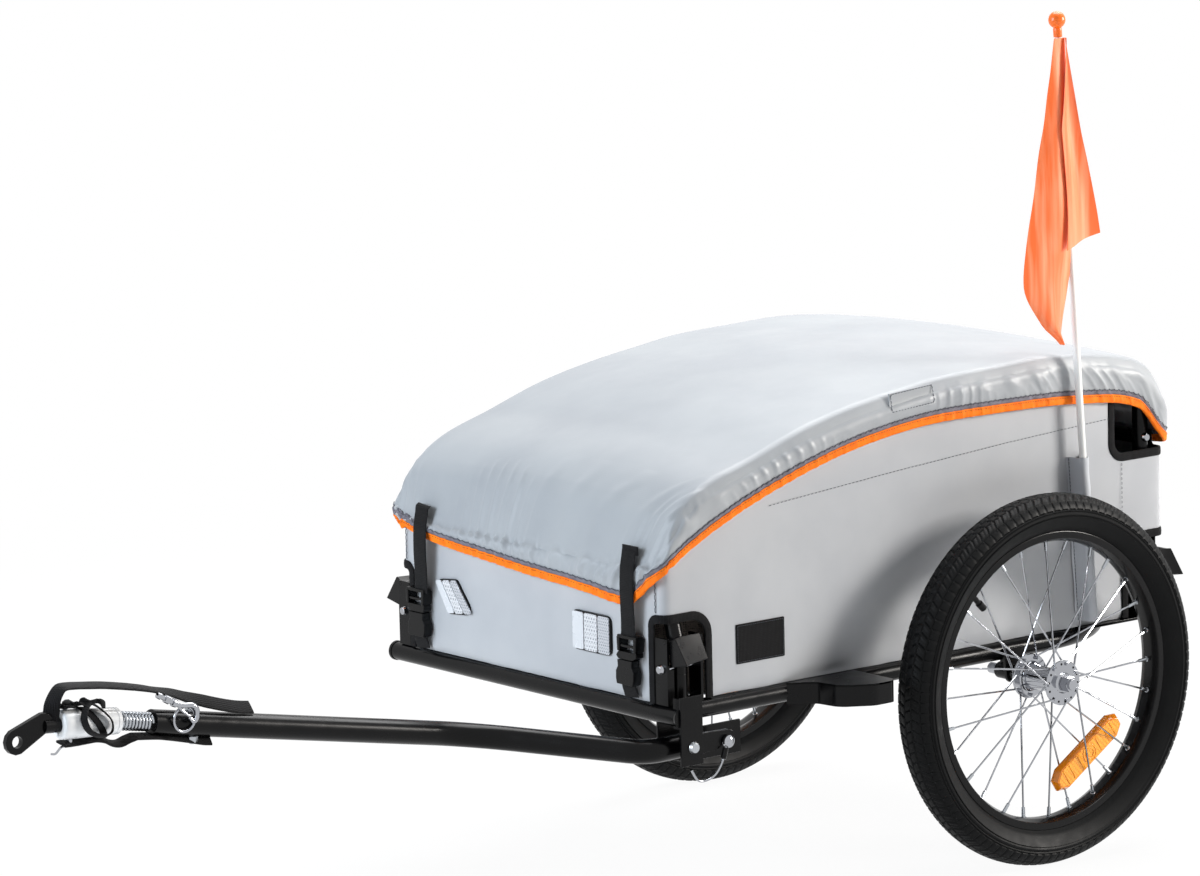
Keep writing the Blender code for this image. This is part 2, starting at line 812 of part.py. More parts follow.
def side_frame_path():
    top = [(y, frame_height(y)) for y in (-0.420, -0.350, -0.260, -0.170, -0.080, 0.020, 0.110)]
    front_top = frame_height(FRONT_POST_Y + 0.02) - 0.014
    rear_top = frame_height(REAR_POST_Y - 0.043) - 0.015
    corners = [
        (POST_FOOT_X, FRONT_POST_Y, SOCKET_TOP + 0.001),
        (POST_FOOT_X, FRONT_POST_Y, 0.085),
        (POST_X, FRONT_POST_Y, 0.115),
        (POST_X, FRONT_POST_Y, front_top),
        *[(POST_X, y, z) for y, z in top],
        (POST_X, REAR_POST_Y, rear_top),
        (POST_X, REAR_POST_Y, 0.115),
        (POST_FOOT_X, REAR_POST_Y, 0.085),
        (POST_FOOT_X, REAR_POST_Y, SOCKET_TOP + 0.001),
    ]
    radii = [0.020, 0.020, 0.030] + [0.040] + [0.0] * (len(top) - 1) + [FRAME_REAR_BEND, 0.020, 0.020]
    return rounded(corners, radii, steps=2)


def build_side_frame():
    frame = tube("side_frame_left", side_frame_path(), POST_RADIUS, detail=2)
    for end, y in (("front", FRONT_POST_Y), ("rear", REAR_POST_Y)):
        frame = cut(frame, corner_bolt_shape("bolt_room", y, CORNER_BOLT_RADIUS + GAP))
    bar_room = rod(
        "bar_room",
        (POST_X - 0.02, REAR_POST_Y, TOP_BAR_Z),
        (POST_X + 0.02, REAR_POST_Y, TOP_BAR_Z),
        BAR_BOLT_RADIUS + GAP,
    )
    frame = cut(frame, bar_room)
    return dressed(frame, FRAME_PAINT)


def corner_bolt_shape(name, post_y, radius):
    return rod(
        name,
        (POST_FOOT_X, post_y - BRACKET_FRONT_GAP - PLATE - 0.004, CORNER_BOLT_Z),
        (POST_FOOT_X, post_y + BRACKET_REAR_GAP + PLATE + 0.006, CORNER_BOLT_Z),
        radius,
        sides=8,
    )


def build_rear_top_bar():
    reach = POST_X - POST_RADIUS - GAP
    bar = rod(
        "rear_top_bar",
        (-reach, REAR_POST_Y, TOP_BAR_Z),
        (reach, REAR_POST_Y, TOP_BAR_Z),
        0.0080,
        sides=16,
    )
    for sign in (-1.0, 1.0):
        ends = sorted((sign * (reach - 0.020), sign * (reach + 0.01)))
        bar = cut(
            bar,
            rod(
                "bolt_room",
                (ends[0], REAR_POST_Y, TOP_BAR_Z),
                (ends[1], REAR_POST_Y, TOP_BAR_Z),
                BAR_BOLT_RADIUS + GAP,
                sides=12,
            ),
        )
    return dressed(bar, FRAME_PAINT)


def build_bar_bolt():
    inner = POST_X - POST_RADIUS - 0.018
    outer = POST_X + POST_RADIUS + GAP
    bolt = rod(
        "rear_bar_bolt_left",
        (inner, REAR_POST_Y, TOP_BAR_Z),
        (outer + 0.001, REAR_POST_Y, TOP_BAR_Z),
        BAR_BOLT_RADIUS,
        sides=12,
    )
    head = rod(
        "head",
        (outer, REAR_POST_Y, TOP_BAR_Z),
        (outer + 0.003, REAR_POST_Y, TOP_BAR_Z),
        0.0052,
        0.0036,
        sides=16,
    )
    return dressed(join(bolt, head), CHROME)


# Corner hardware
def build_corner_bracket(name, post_y, outward):
    """A bracket with two cheeks; outward is -1 at the front and 1 at the rear."""
    front = post_y - BRACKET_FRONT_GAP if outward < 0.0 else post_y + BRACKET_FRONT_GAP
    back = post_y + BRACKET_REAR_GAP if outward < 0.0 else post_y - BRACKET_REAR_GAP
    floor = RAIL_Z + RAIL_RADIUS + GAP
    left = POST_FOOT_X - BRACKET_WIDTH / 2.0 + 0.0026
    right = LATCH_PIN_X + 0.0035
    face = front + outward * PLATE
    rear_face = back - outward * PLATE
    top = floor + BRACKET_HEIGHT
    profile = [
        (face, floor),
        (face, top),
        (front, top),
        (front, floor + PLATE),
        (back, floor + PLATE),
        (back, top),
        (rear_face, top),
        (rear_face, floor),
    ]
    bracket = sheet_outline(name, profile, left, right, "YZ")
    socket = rod(
        "socket",
        (POST_FOOT_X, post_y, floor + PLATE / 2.0),
        (POST_FOOT_X, post_y, SOCKET_TOP),
        SOCKET_RADIUS,
        sides=14,
    )
    lip_ends = sorted((front + outward * PLATE / 2.0, front - outward * 0.006))
    flange = box(
        "flange",
        (right - PLATE, lip_ends[0], floor + PLATE / 2.0),
        (right - GAP, lip_ends[1], CORNER_BOLT_Z),
    )
    bracket = join(bracket, socket, flange)
    bracket.name = name
    rooms = [
        corner_bolt_shape("bolt_room", post_y, CORNER_BOLT_RADIUS + GAP),
        rod(
            "pin_room",
            (LATCH_PIN_X, min(face, rear_face) - 0.01, LATCH_PIN_Z),
            (LATCH_PIN_X, max(face, rear_face) + 0.01, LATCH_PIN_Z),
            LATCH_PIN_RADIUS + GAP,
            sides=8,
        ),
    ]
    return dressed(cut(bracket, *rooms), FRAME_PAINT)


def build_corner_bolt(name, post_y, outward):
    """The bolt on which a post stands between its bracket's cheeks."""
    front = post_y - BRACKET_FRONT_GAP if outward < 0.0 else post_y + BRACKET_FRONT_GAP
    back = post_y + BRACKET_REAR_GAP if outward < 0.0 else post_y - BRACKET_REAR_GAP
    face = front + outward * (PLATE + GAP)
    rear_face = back - outward * (PLATE + GAP)
    bolt = rod(
        name,
        (POST_FOOT_X, face + outward * 0.001, CORNER_BOLT_Z),
        (POST_FOOT_X, rear_face - outward * 0.005, CORNER_BOLT_Z),
        CORNER_BOLT_RADIUS,
        sides=8,
    )
    head = rod(
        "head",
        (POST_FOOT_X, face, CORNER_BOLT_Z),
        (POST_FOOT_X, face + outward * 0.0035, CORNER_BOLT_Z),
        0.0055,
        0.0040,
        sides=10,
    )
    nut = rod(
        "nut",
        (POST_FOOT_X, rear_face, CORNER_BOLT_Z),
        (POST_FOOT_X, rear_face - outward * 0.004, CORNER_BOLT_Z),
        0.0055,
        sides=6,
    )
    return dressed(join(bolt, head, nut), CHROME)


def build_latch_block(name, post_y, outward):
    """A faceted thumb lever on a cross pin between the bracket's cheeks."""
    front = post_y + outward * (BRACKET_FRONT_GAP - 0.0006)
    middle = post_y + outward * 0.0085
    back = post_y - outward * (BRACKET_REAR_GAP - 0.0006)
    sections = [
        (front, [(-0.0012, -0.0010), (0.0120, 0.0055), (0.0315, -0.0210), (0.0063, -0.0260)]),
        (middle, [(-0.0012, 0.0000), (0.0080, 0.0060), (0.0255, -0.0205), (0.0066, -0.0240)]),
        (back, [(-0.0012, 0.0010), (0.0030, 0.0050), (0.0168, -0.0200), (0.0066, -0.0235)]),
    ]
    solid = bmesh.new()
    rings = [
        [solid.verts.new((LATCH_PIN_X + x, y, LATCH_PIN_Z + z)) for x, z in corners]
        for y, corners in sections
    ]
    for ring, after in zip(rings, rings[1:]):
        for index in range(4):
            following = (index + 1) % 4
            solid.faces.new([ring[index], ring[following], after[following], after[index]])
    solid.faces.new(rings[0])
    solid.faces.new(rings[-1])
    lever = softened(from_bmesh(name, solid), 0.0008, segments=1, angle=15.0)
    outer_front = post_y + outward * (BRACKET_FRONT_GAP + PLATE)
    outer_back = post_y - outward * (BRACKET_REAR_GAP + PLATE)
    pin = rod(
        "pin",
        (LATCH_PIN_X, outer_front, LATCH_PIN_Z),
        (LATCH_PIN_X, outer_back, LATCH_PIN_Z),
        LATCH_PIN_RADIUS,
        sides=8,
    )
    return dressed(join(lever, pin), PLASTIC)


# Fabric box
def plan_outline(grow):
    """The box's plan, grown or shrunk evenly, with its rounded corners."""
    half = TUB_HALF_WIDTH + grow
    front = TUB_FRONT_Y - grow
    rear = TUB_REAR_Y + grow
    radius = TUB_CORNER + grow
    points = []
    for centre_x, centre_y, start in (
        (half - radius, rear - radius, 0.0),
        (-half + radius, rear - radius, 90.0),
        (-half + radius, front + radius, 180.0),
        (half - radius, front + radius, 270.0),
    ):
        for step in range(5):
            angle = math.radians(start + 22.5 * step)
            points.append((centre_x + radius * math.cos(angle), centre_y + radius * math.sin(angle)))
    return points


def arch_shape(name, end, inset):
    """The solid that an arched corner opening takes out of the left side."""
    top = ARCH_TOP - inset
    side_x = ARCH_SIDE_X + inset
    if end == "front":
        edge, beyond = ARCH_FRONT_Y - inset, TUB_FRONT_Y - 0.05
        side_radius = 0.026
    else:
        edge, beyond = ARCH_REAR_Y + inset, TUB_REAR_Y + 0.05
        side_radius = 0.040
    side = rounded(
        [(beyond, 0.0, 0.0), (beyond, top, 0.0), (edge, top, 0.0), (edge, 0.0, 0.0)],
        [0.0, side_radius - inset],
        steps=6,
    )
    side_solid = sheet_outline(
        name,
        [(point.x, point.y) for point in side],
        ARCH_SIDE_X - 0.02,
        TUB_HALF_WIDTH + 0.03,
        "YZ",
    )
    face = rounded(
        [
            (TUB_HALF_WIDTH + 0.02, 0.0, 0.0),
            (TUB_HALF_WIDTH + 0.02, top, 0.0),
            (side_x, top, 0.0),
            (side_x, 0.0, 0.0),
        ],
        [0.0, 0.014 - inset * 0.6],
        steps=5,
    )
    low, high = sorted((beyond, edge + (0.01 if end == "front" else -0.01)))
    face_solid = sheet_outline("face", [(point.x, point.y) for point in face], low, high, "XZ")
    return kept_within(side_solid, face_solid)


def window_shape(name, inset):
    """The solid that a rear window takes out of the left side."""
    sill = WINDOW_SILL + inset
    edge = WINDOW_FRONT_Y + inset
    outline = rounded(
        [
            (TUB_REAR_Y + 0.02, sill, 0.0),
            (edge, sill, 0.0),
            (edge, COVER_TOP, 0.0),
            (TUB_REAR_Y + 0.02, COVER_TOP, 0.0),
        ],
        [0.022 - inset, 0.0],
        steps=6,
    )
    return sheet_outline(
        name,
        [(point.x, point.y) for point in outline],
        TUB_HALF_WIDTH - WINDOW_WIDTH + inset,
        TUB_HALF_WIDTH + 0.03,
        "YZ",
    )


def both_sides(shape, name):
    return shape, mirrored(shape, name)


def pole_point(z):
    """A point on the flag pole's axis at a height."""
    share = (z - POLE_FOOT[1]) / (POLE_HEAD[1] - POLE_FOOT[1])
    return Vector((POLE_X, POLE_FOOT[0] + (POLE_HEAD[0] - POLE_FOOT[0]) * share, z))


def tub_top(y):
    return cover_height(y) - 0.030


def build_tub():
    tub = sheet_outline("fabric_tub", plan_outline(0.0), TUB_BOTTOM, COVER_TOP, "XY")
    room = sheet_outline("room", plan_outline(-CLOTH), TUB_BOTTOM + CLOTH, COVER_TOP + 0.01, "XY")
    tub = cut(tub, room)
    places = [
        -0.55,
        -0.470,
        -0.456,
        -0.420,
        -0.350,
        -0.280,
        -0.210,
        -0.140,
        -0.070,
        0.0,
        0.060,
        0.120,
        0.165,
        0.205,
        0.225,
        0.30,
    ]
    above = [(y, tub_top(y)) for y in places] + [(0.30, COVER_TOP + 0.03), (-0.55, COVER_TOP + 0.03)]
    tub = cut(tub, sheet_outline("above", above, -TUB_HALF_WIDTH - 0.02, TUB_HALF_WIDTH + 0.02, "YZ"))
    for end in ("front", "rear"):
        tub = cut(tub, *both_sides(arch_shape("arch", end, -GAP), "arch_right"))
    tub = cut(tub, *both_sides(window_shape("window", -GAP), "window_right"))
    foot, head = pole_point(SLEEVE_BOTTOM), pole_point(SLEEVE_TOP)
    outer = POLE_X + POLE_RADIUS + 0.0028
    half = SLEEVE_WIDTH / 2.0
    sleeve = sheet_outline(
        "sleeve",
        [
            (foot.y - half, foot.z),
            (foot.y + half, foot.z),
            (head.y + half, head.z),
            (head.y - half, head.z),
        ],
        TUB_HALF_WIDTH - CLOTH * 0.6,
        outer,
        "YZ",
    )
    sleeve = softened(sleeve, 0.0045, segments=2)
    room = rod(
        "pole_room",
        pole_point(POLE_FOOT[1] - 0.001),
        pole_point(SLEEVE_TOP + 0.05),
        POLE_RADIUS + 0.0008,
        sides=16,
    )
    tub = cut(join(tub, sleeve), room)
    return dressed(tub, CLOTH_GREY)


def wall_shell(name, low, high):
    outer = sheet_outline(name, plan_outline(BINDING_PROUD), low, high, "XY")
    inner = sheet_outline("inner", plan_outline(-CLOTH - BINDING_PROUD), low - 0.01, high + 0.01, "XY")
    return cut(outer, inner)


def build_corner_binding(name, end):
    """The black tape round an arched opening on the left side."""
    band = cut(arch_shape(name, end, 0.0), arch_shape("open", end, BINDING_WIDTH))
    band = kept_within(band, wall_shell("shell", TUB_BOTTOM, ARCH_TOP + 0.01))
    return dressed(band, CLOTH_BLACK)


def build_window_binding(name):
    band = cut(window_shape(name, 0.0), window_shape("open", BINDING_WIDTH))
    band = kept_within(band, wall_shell("shell", WINDOW_SILL - 0.02, COVER_TOP))
    tops = [(y, cover_height(y) - 0.026) for y in (0.100, 0.165, 0.190)]
    below = tops + [(0.210, 0.256), (0.222, 0.240), (0.300, 0.240), (0.300, 0.100), (0.100, 0.100)]
    band = kept_within(band, sheet_outline("below", below, 0.0, TUB_HALF_WIDTH + 0.02, "YZ"))
    return dressed(band, CLOTH_BLACK)


def build_floor_panel():
    low = TUB_BOTTOM + CLOTH + GAP
    half, corner = TUB_HALF_WIDTH - 0.008, ARCH_SIDE_X - 0.004
    front, rear = TUB_FRONT_Y + 0.008, TUB_REAR_Y - 0.008
    front_step, rear_step = ARCH_FRONT_Y + 0.004, ARCH_REAR_Y - 0.004
    outline = [
        (corner, front),
        (corner, front_step),
        (half, front_step),
        (half, rear_step),
        (corner, rear_step),
        (corner, rear),
    ]
    outline += [(-x, y) for x, y in reversed(outline)]
    panel = sheet_outline("floor_panel", outline, low, low + FLOOR_PANEL, "XY")
    return dressed(panel, BOARD)


# Cover
HEM_LINE = [
    (-0.4810, 0.1680),
    (-0.4280, 0.1980),
    (-0.3470, 0.2320),
    (-0.2380, 0.2640),
    (-0.1270, 0.2810),
    (-0.0140, 0.2826),
    (0.1010, 0.2785),
    (0.1890, 0.2635),
    (0.2230, 0.2275),
    (0.2400, 0.2180),
]


def cover_edge(y):
    """Height of the cover's edge line, down to where its skirt starts."""
    line = [(COVER_FRONT_Y, 0.1880)] + COVER_LINE + [(COVER_REAR_Y, 0.2500)]
    return linked(y, line)


def hem_height(x, y):
    """Height of the hem's lower edge round the cover."""
    side = linked(y, HEM_LINE)
    if y < COVER_FRONT_Y + 0.02:
        return side - 0.022 * (1.0 - (x / SKIRT_HALF_WIDTH) ** 2)
    if y > COVER_REAR_Y - 0.02:
        return side - 0.010 * (1.0 - (x / SKIRT_HALF_WIDTH) ** 2)
    return side


def cover_places():
    """Even lines across the cover, closer where its edges roll over."""
    half = SKIRT_HALF_WIDTH
    across = [0.0, 0.075, 0.150, half - EDGE_ROLL]
    across += [half - EDGE_ROLL + EDGE_ROLL * math.sin(math.radians(angle)) for angle in (50.0, 90.0)]
    across = [-x for x in across[:0:-1]] + across
    front = [COVER_FRONT_Y, -0.4700, -0.4560, -0.4380, -0.4200]
    rear = [0.1400, 0.1650, 0.1880, 0.2080, 0.2250, COVER_REAR_Y]
    middle = [front[-1] + (rear[0] - front[-1]) * step / 19.0 for step in range(1, 19)]
    return across, front + middle + rear


def into_corner(x, y):
    """Pulls a point of a square corner onto the cover's rounded one."""
    centre_x = SKIRT_HALF_WIDTH - COVER_CORNER
    low, high = COVER_FRONT_Y + COVER_CORNER, COVER_REAR_Y - COVER_CORNER
    over_x = abs(x) - centre_x
    over_y = low - y if y < low else y - high
    if over_x <= 0.0 or over_y <= 0.0:
        return x, y
    pull = max(over_x, over_y) / math.hypot(over_x, over_y)
    new_x = math.copysign(centre_x + over_x * pull, x)
    new_y = low - over_y * pull if y < low else high + over_y * pull
    return new_x, new_y


def cover_surface(x, y):
    height = cover_edge(y)
    height += COVER_CROWN * (1.0 - (x / SKIRT_HALF_WIDTH) ** 2) * min(
        1.0, (y - COVER_FRONT_Y) / 0.03, (COVER_REAR_Y - y) / 0.03,
    )
    over = max(0.0, abs(x) - (SKIRT_HALF_WIDTH - EDGE_ROLL))
    return height - (EDGE_ROLL - math.sqrt(max(0.0, EDGE_ROLL ** 2 - over ** 2)))


def cover_ring():
    """Grid addresses round the cover's edge, in order."""
    across, along = cover_places()
    last_x, last_y = len(across) - 1, len(along) - 1
    ring = [(i, 0) for i in range(last_x)]
    ring += [(last_x, j) for j in range(last_y)]
    ring += [(i, last_y) for i in range(last_x, 0, -1)]
    ring += [(0, j) for j in range(last_y, 0, -1)]
    return ring


def skirt_point(x, y, share, index, proud, rise=0.0):
    """A point on the skirt: share 0 at the top edge and 1 at the hem."""
    middle_y = (COVER_FRONT_Y + COVER_REAR_Y) / 2.0
    half_y = (COVER_REAR_Y - COVER_FRONT_Y) / 2.0
    out_x = 1.0 if abs(x) > SKIRT_HALF_WIDTH - COVER_CORNER else 0.0
    out_y = 1.0 if abs(y - middle_y) > half_y - COVER_CORNER else 0.0
    if out_x and out_y:
        out_x = (abs(x) - SKIRT_HALF_WIDTH + COVER_CORNER) / COVER_CORNER
        out_y = (abs(y - middle_y) - half_y + COVER_CORNER) / COVER_CORNER
    normal = Vector((math.copysign(out_x, x), math.copysign(out_y, y - middle_y), 0.0)).normalized()
    fold = FOLD_DEPTH if index % 2 else -FOLD_DEPTH
    top = cover_surface(x, y)
    bottom = min(hem_height(x, y) + HEM_WIDTH + rise, top - 0.004)
    point = Vector((x, y, top + (bottom - top) * share))
    return point + normal * ((SKIRT_FLARE + fold) * share + proud)


def build_cover():
    across, along = cover_places()
    solid = bmesh.new()
    grid = {}
    for i, flat_x in enumerate(across):
        for j, flat_y in enumerate(along):
            x, y = into_corner(flat_x, flat_y)
            grid[i, j] = solid.verts.new((x, y, cover_surface(x, y)))
    for i in range(len(across) - 1):
        for j in range(len(along) - 1):
            solid.faces.new([grid[i, j], grid[i + 1, j], grid[i + 1, j + 1], grid[i, j + 1]])
    ring = cover_ring()
    above = [grid[address] for address in ring]
    for share in (0.5, 1.0):
        below = []
        for index, address in enumerate(ring):
            x, y, _ = grid[address].co
            below.append(solid.verts.new(skirt_point(x, y, share, index, 0.0, 3.0 * GAP)))
        for index in range(len(ring)):
            after = (index + 1) % len(ring)
            solid.faces.new([above[index], above[after], below[after], below[index]])
        above = below
    cover = from_bmesh("cover", solid)
    thick = cover.modifiers.new("cloth", "SOLIDIFY")
    thick.thickness = COVER_CLOTH
    thick.offset = -1.0
    thick.use_even_offset = False
    cover = baked(cover)
    return dressed(cover, CLOTH_GREY, smooth=60.0)


def build_cover_binding():
    """The elastic hem, a band that follows the skirt's lower edge."""
    across, along = cover_places()
    solid = bmesh.new()
    rows = []
    for index, (i, j) in enumerate(cover_ring()):
        x, y = into_corner(across[i], along[j])
        row = []
        for proud, drop in (
            (HEM_PROUD, 0.0),
            (HEM_PROUD, HEM_WIDTH),
            (-COVER_CLOTH, HEM_WIDTH),
            (-COVER_CLOTH, 0.0),
        ):
            point = skirt_point(x, y, 1.0, index, proud)
            row.append(solid.verts.new(point - Vector((0.0, 0.0, drop))))
        rows.append(row)
    for index, row in enumerate(rows):
        after = rows[(index + 1) % len(rows)]
        for corner in range(4):
            following = (corner + 1) % 4
            solid.faces.new([row[corner], row[following], after[following], after[corner]])
    return dressed(from_bmesh("cover_binding", solid), CLOTH_ORANGE, smooth=60.0)


# Front fittings
FITTING_Y = TUB_FRONT_Y - GAP
STRAP_Y = COVER_FRONT_Y - SKIRT_FLARE - FOLD_DEPTH - HEM_PROUD - GAP


def build_cover_strap(name, centre, lean):
    strap = sheet_outline(
        name,
        [
            (centre - 0.0115, 0.1010),
            (centre + 0.0115, 0.1010),
            (centre + 0.0115 + lean, 0.1900),
            (centre - 0.0115 + lean, 0.1900),
        ],
        STRAP_Y - 0.0018,
        STRAP_Y,
        "XZ",
    )
    return dressed(strap, CLOTH_BLACK)


def build_strap_buckle(name, centre, lean):
    """A side-release buckle with the tail of its strap, on the box's front."""
    buckle = sheet_outline(
        name,
        [
            (centre - 0.0125 - lean, 0.0500),
            (centre + 0.0125 - lean, 0.0500),
            (centre + 0.0160 - lean * 0.5, 0.0620),
            (centre + 0.0145 - lean * 0.4, 0.0780),
            (centre + 0.0185, 0.0880),
            (centre + 0.0140, 0.1000),
            (centre - 0.0140, 0.1000),
            (centre - 0.0185, 0.0880),
            (centre - 0.0145 - lean * 0.4, 0.0780),
            (centre - 0.0160 - lean * 0.5, 0.0620),
        ],
        STRAP_Y - 0.0030,
        FITTING_Y - 0.0008,
        "XZ",
    )
    buckle = softened(buckle, 0.0016, segments=1)
    tail = sheet_outline(
        "tail",
        [
            (centre - 0.0115 - lean, 0.0385),
            (centre + 0.0115 - lean, 0.0385),
            (centre + 0.0115 - lean, 0.0600),
            (centre - 0.0115 - lean, 0.0600),
        ],
        FITTING_Y - 0.0024,
        FITTING_Y,
        "XZ",
    )
    return dressed(join(buckle, tail), PLASTIC)


def build_front_reflector(name, corners):
    lens = sheet_outline(name, corners, FITTING_Y - 0.0060, FITTING_Y, "XZ")
    return dressed(softened(lens, 0.0016, segments=1), CLEAR)


# Flag
def build_pole():
    foot, head = pole_point(POLE_FOOT[1]), pole_point(POLE_HEAD[1])
    return dressed(rod("flag_pole", foot, head, POLE_RADIUS, sides=14), WHITE_PLASTIC)


def build_flag_ball():
    centre = pole_point(POLE_HEAD[1] + FLAG_BALL_RADIUS)
    knob = ball("flag_ball", centre, FLAG_BALL_RADIUS)
    knob = cut(
        knob,
        rod(
            "pole_room",
            pole_point(POLE_HEAD[1] - 0.02),
            pole_point(POLE_HEAD[1] + GAP),
            POLE_RADIUS + GAP,
            sides=14,
        ),
    )
    return dressed(knob, ORANGE_PLASTIC)


def build_pennant():
    """A hanging pennant with a sleeve that grips the pole."""
    outline = [
        (0.056, 0.666),
        (0.042, 0.582),
        (0.026, 0.499),
        (0.012, 0.415),
        (0.0355, 0.372),
        (0.064, 0.348),
        (0.076, 0.405),
        (0.0855, 0.450),
        (0.119, 0.4635),
        (0.114, 0.490),
        (0.092, 0.578),
        (0.0745, 0.664),
    ]
    near = POLE_X + POLE_RADIUS
    sheet = sheet_outline("pennant", outline, near, near + PENNANT_CLOTH, "YZ")
    sleeve = rod("sleeve", pole_point(0.470), pole_point(0.660), POLE_RADIUS + PENNANT_CLOTH, sides=14)
    room = rod("pole_room", pole_point(0.30), pole_point(0.72), POLE_RADIUS + GAP, sides=14)
    return dressed(cut(join(sheet, sleeve), room), FLAG_SHEET)


# Tow arm
def arm_axis(y):
    """Height of the arm's straight front run."""
    return ARM_END[1] + (y - ARM_END[0]) * -math.tan(ARM_SLOPE)


def build_tow_arm():
    rear = ARM_PIVOT[0] + ARM_RADIUS
    path = rounded(
        [
            (ARM_X, rear, -0.0100),
            (ARM_X, -0.500, -0.0110),
            (HITCH_X, -0.612, arm_axis(-0.612)),
            (HITCH_X, *ARM_END),
        ],
        [ARM_REAR_BEND, ARM_FRONT_BEND],
        steps=6,
    )
    arm = tube("tow_arm", path, ARM_RADIUS, detail=2)
    pin_y, pin_z = LOCK_PIN
    reach = LOCK_PIN_RADIUS + 0.0013
    notch = [
        (pin_y + reach * math.cos(math.radians(angle)), pin_z + reach * math.sin(math.radians(angle)))
        for angle in range(0, 181, 30)
    ]
    outline = [
        (ARM_PIVOT[0] - 0.004, ARM_PIVOT[1] + 0.0105),
        (pin_y + 0.004, pin_z + 0.0115),
        (pin_y + 0.011, pin_z + 0.0060),
        (pin_y + 0.011, pin_z - 0.0035),
        (pin_y + reach, pin_z - 0.0035),
        *notch,
        (pin_y - reach, pin_z - 0.0035),
        (pin_y - 0.012, pin_z - 0.0075),
        (ARM_PIVOT[0] + 0.004, ARM_PIVOT[1] - 0.0125),
        (ARM_PIVOT[0] - 0.004, ARM_PIVOT[1] - 0.0125),
    ]
    tongue = sheet_outline("tongue", outline, ARM_X + 0.0062, ARM_X + 0.0062 + TONGUE, "YZ")
    bolt_y = -0.956
    bolt = rod("bolt", (HITCH_X, bolt_y, 0.0460), (HITCH_X, bolt_y, 0.0840), 0.0030, sides=12)
    head = rod("head", (HITCH_X, bolt_y, 0.0790), (HITCH_X, bolt_y, 0.0830), 0.0062, sides=6)
    nut = rod("nut", (HITCH_X, bolt_y, 0.0480), (HITCH_X, bolt_y, 0.0540), 0.0062, sides=6)
    arm = join(arm, tongue, bolt, head, nut)
    room = rod("room", (ARM_X - 0.03, *ARM_PIVOT), (ARM_X + 0.03, *ARM_PIVOT), PIVOT_BOLT_RADIUS + GAP)
    return dressed(cut(arm, room), FRAME_PAINT)


def build_pivot_bolt():
    inner = LOCK_PLATE_X - PLATE / 2.0 - GAP
    outer = CHEEK_X + PLATE / 2.0 + GAP
    bolt = rod(
        "pivot_bolt",
        (inner - 0.007, *ARM_PIVOT),
        (outer + 0.001, *ARM_PIVOT),
        PIVOT_BOLT_RADIUS,
        sides=10,
    )
    head = rod("head", (outer, *ARM_PIVOT), (outer + 0.0035, *ARM_PIVOT), 0.0065, 0.0050, sides=12)
    nut = rod("nut", (inner, *ARM_PIVOT), (inner - 0.006, *ARM_PIVOT), 0.0070, sides=6)
    return dressed(join(bolt, head, nut), ZINC)


def build_lock_pin():
    """The cross pin, its head and the wire loop that keeps it."""
    inner = LOCK_PLATE_X - PLATE / 2.0 - 0.003
    face = ARM_X + 0.0062 + TONGUE + 0.0008
    y, z = LOCK_PIN
    pin = rod("lock_pin", (inner, y, z), (face + 0.002, y, z), LOCK_PIN_RADIUS, sides=10)
    head = rod("head", (face, y, z), (face + 0.005, y, z), 0.0065, 0.0055, sides=12)
    wire_x = face + 0.0030
    wire = tube(
        "wire",
        rounded(
            [
                (wire_x, y - 0.002, z - 0.003),
                (wire_x, y - 0.010, z - 0.024),
                (wire_x, y - 0.030, z - 0.036),
                (wire_x, y - 0.047, z - 0.034),
                (wire_x, y - 0.051, z - 0.022),
            ],
            [0.018, 0.018, 0.008],
            steps=3,
        ),
        0.0011,
        detail=1,
    )
    return dressed(join(pin, head, wire), CHROME)


# Coupler
def along_coupler(distance):
    """A point on the sleeve's axis, measured forward from the spring."""
    start_y = ARM_END[0] - (SPRING_LENGTH + 0.0010) * math.cos(ARM_SLOPE)
    start_z = ARM_END[1] + (SPRING_LENGTH + 0.0010) * math.sin(ARM_SLOPE)
    return Vector((
        HITCH_X,
        start_y - distance * math.cos(SLEEVE_SLOPE),
        start_z + distance * math.sin(SLEEVE_SLOPE),
    ))


def along_spring(distance):
    return Vector((
        HITCH_X,
        ARM_END[0] - distance * math.cos(ARM_SLOPE),
        ARM_END[1] + distance * math.sin(ARM_SLOPE),
    ))


COUPLER_CENTRE = along_spring(SPRING_LENGTH / 2.0)


def spring_path():
    coil = SPRING_RADIUS - SPRING_WIRE
    start = SPRING_WIRE + GAP + 0.0004
    run = SPRING_LENGTH - 2.0 * start
    steps = SPRING_TURNS * 9
    points = []
    for index in range(steps + 1):
        angle = 2.0 * math.pi * index / 9.0
        centre = along_spring(start + run * index / steps)
        up = Vector((0.0, math.sin(ARM_SLOPE), math.cos(ARM_SLOPE)))
        points.append(
            centre + Vector((1.0, 0.0, 0.0)) * coil * math.cos(angle) + up * coil * math.sin(angle),
        )
    return points


def least_gap(points, wire, apart):
    """The least clear distance between turns, from point to point."""
    least = 1.0
    for first in range(len(points)):
        for second in range(first + apart, len(points)):
            least = min(least, (points[first] - points[second]).length - 2.0 * wire)
    return least


def build_spring():
    path = spring_path()
    print("coupler spring: least gap to itself", round(least_gap(path, SPRING_WIRE, 6) * 1000.0, 2), "mm")
    return dressed(tube("coupler_spring", path, SPRING_WIRE, detail=1), ZINC, smooth=60.0)


def build_flex_link():
    middle = SPRING_LENGTH / 2.0
    link = rod(
        "flex_link",
        along_spring(middle - 0.006),
        along_spring(middle + 0.006),
        SPRING_RADIUS - 2.0 * SPRING_WIRE - 0.0004,
        sides=20,
    )
    return dressed(link, ZINC)


def retaining_pin_y():
    return along_coupler(SLEEVE_LENGTH - 0.0125)


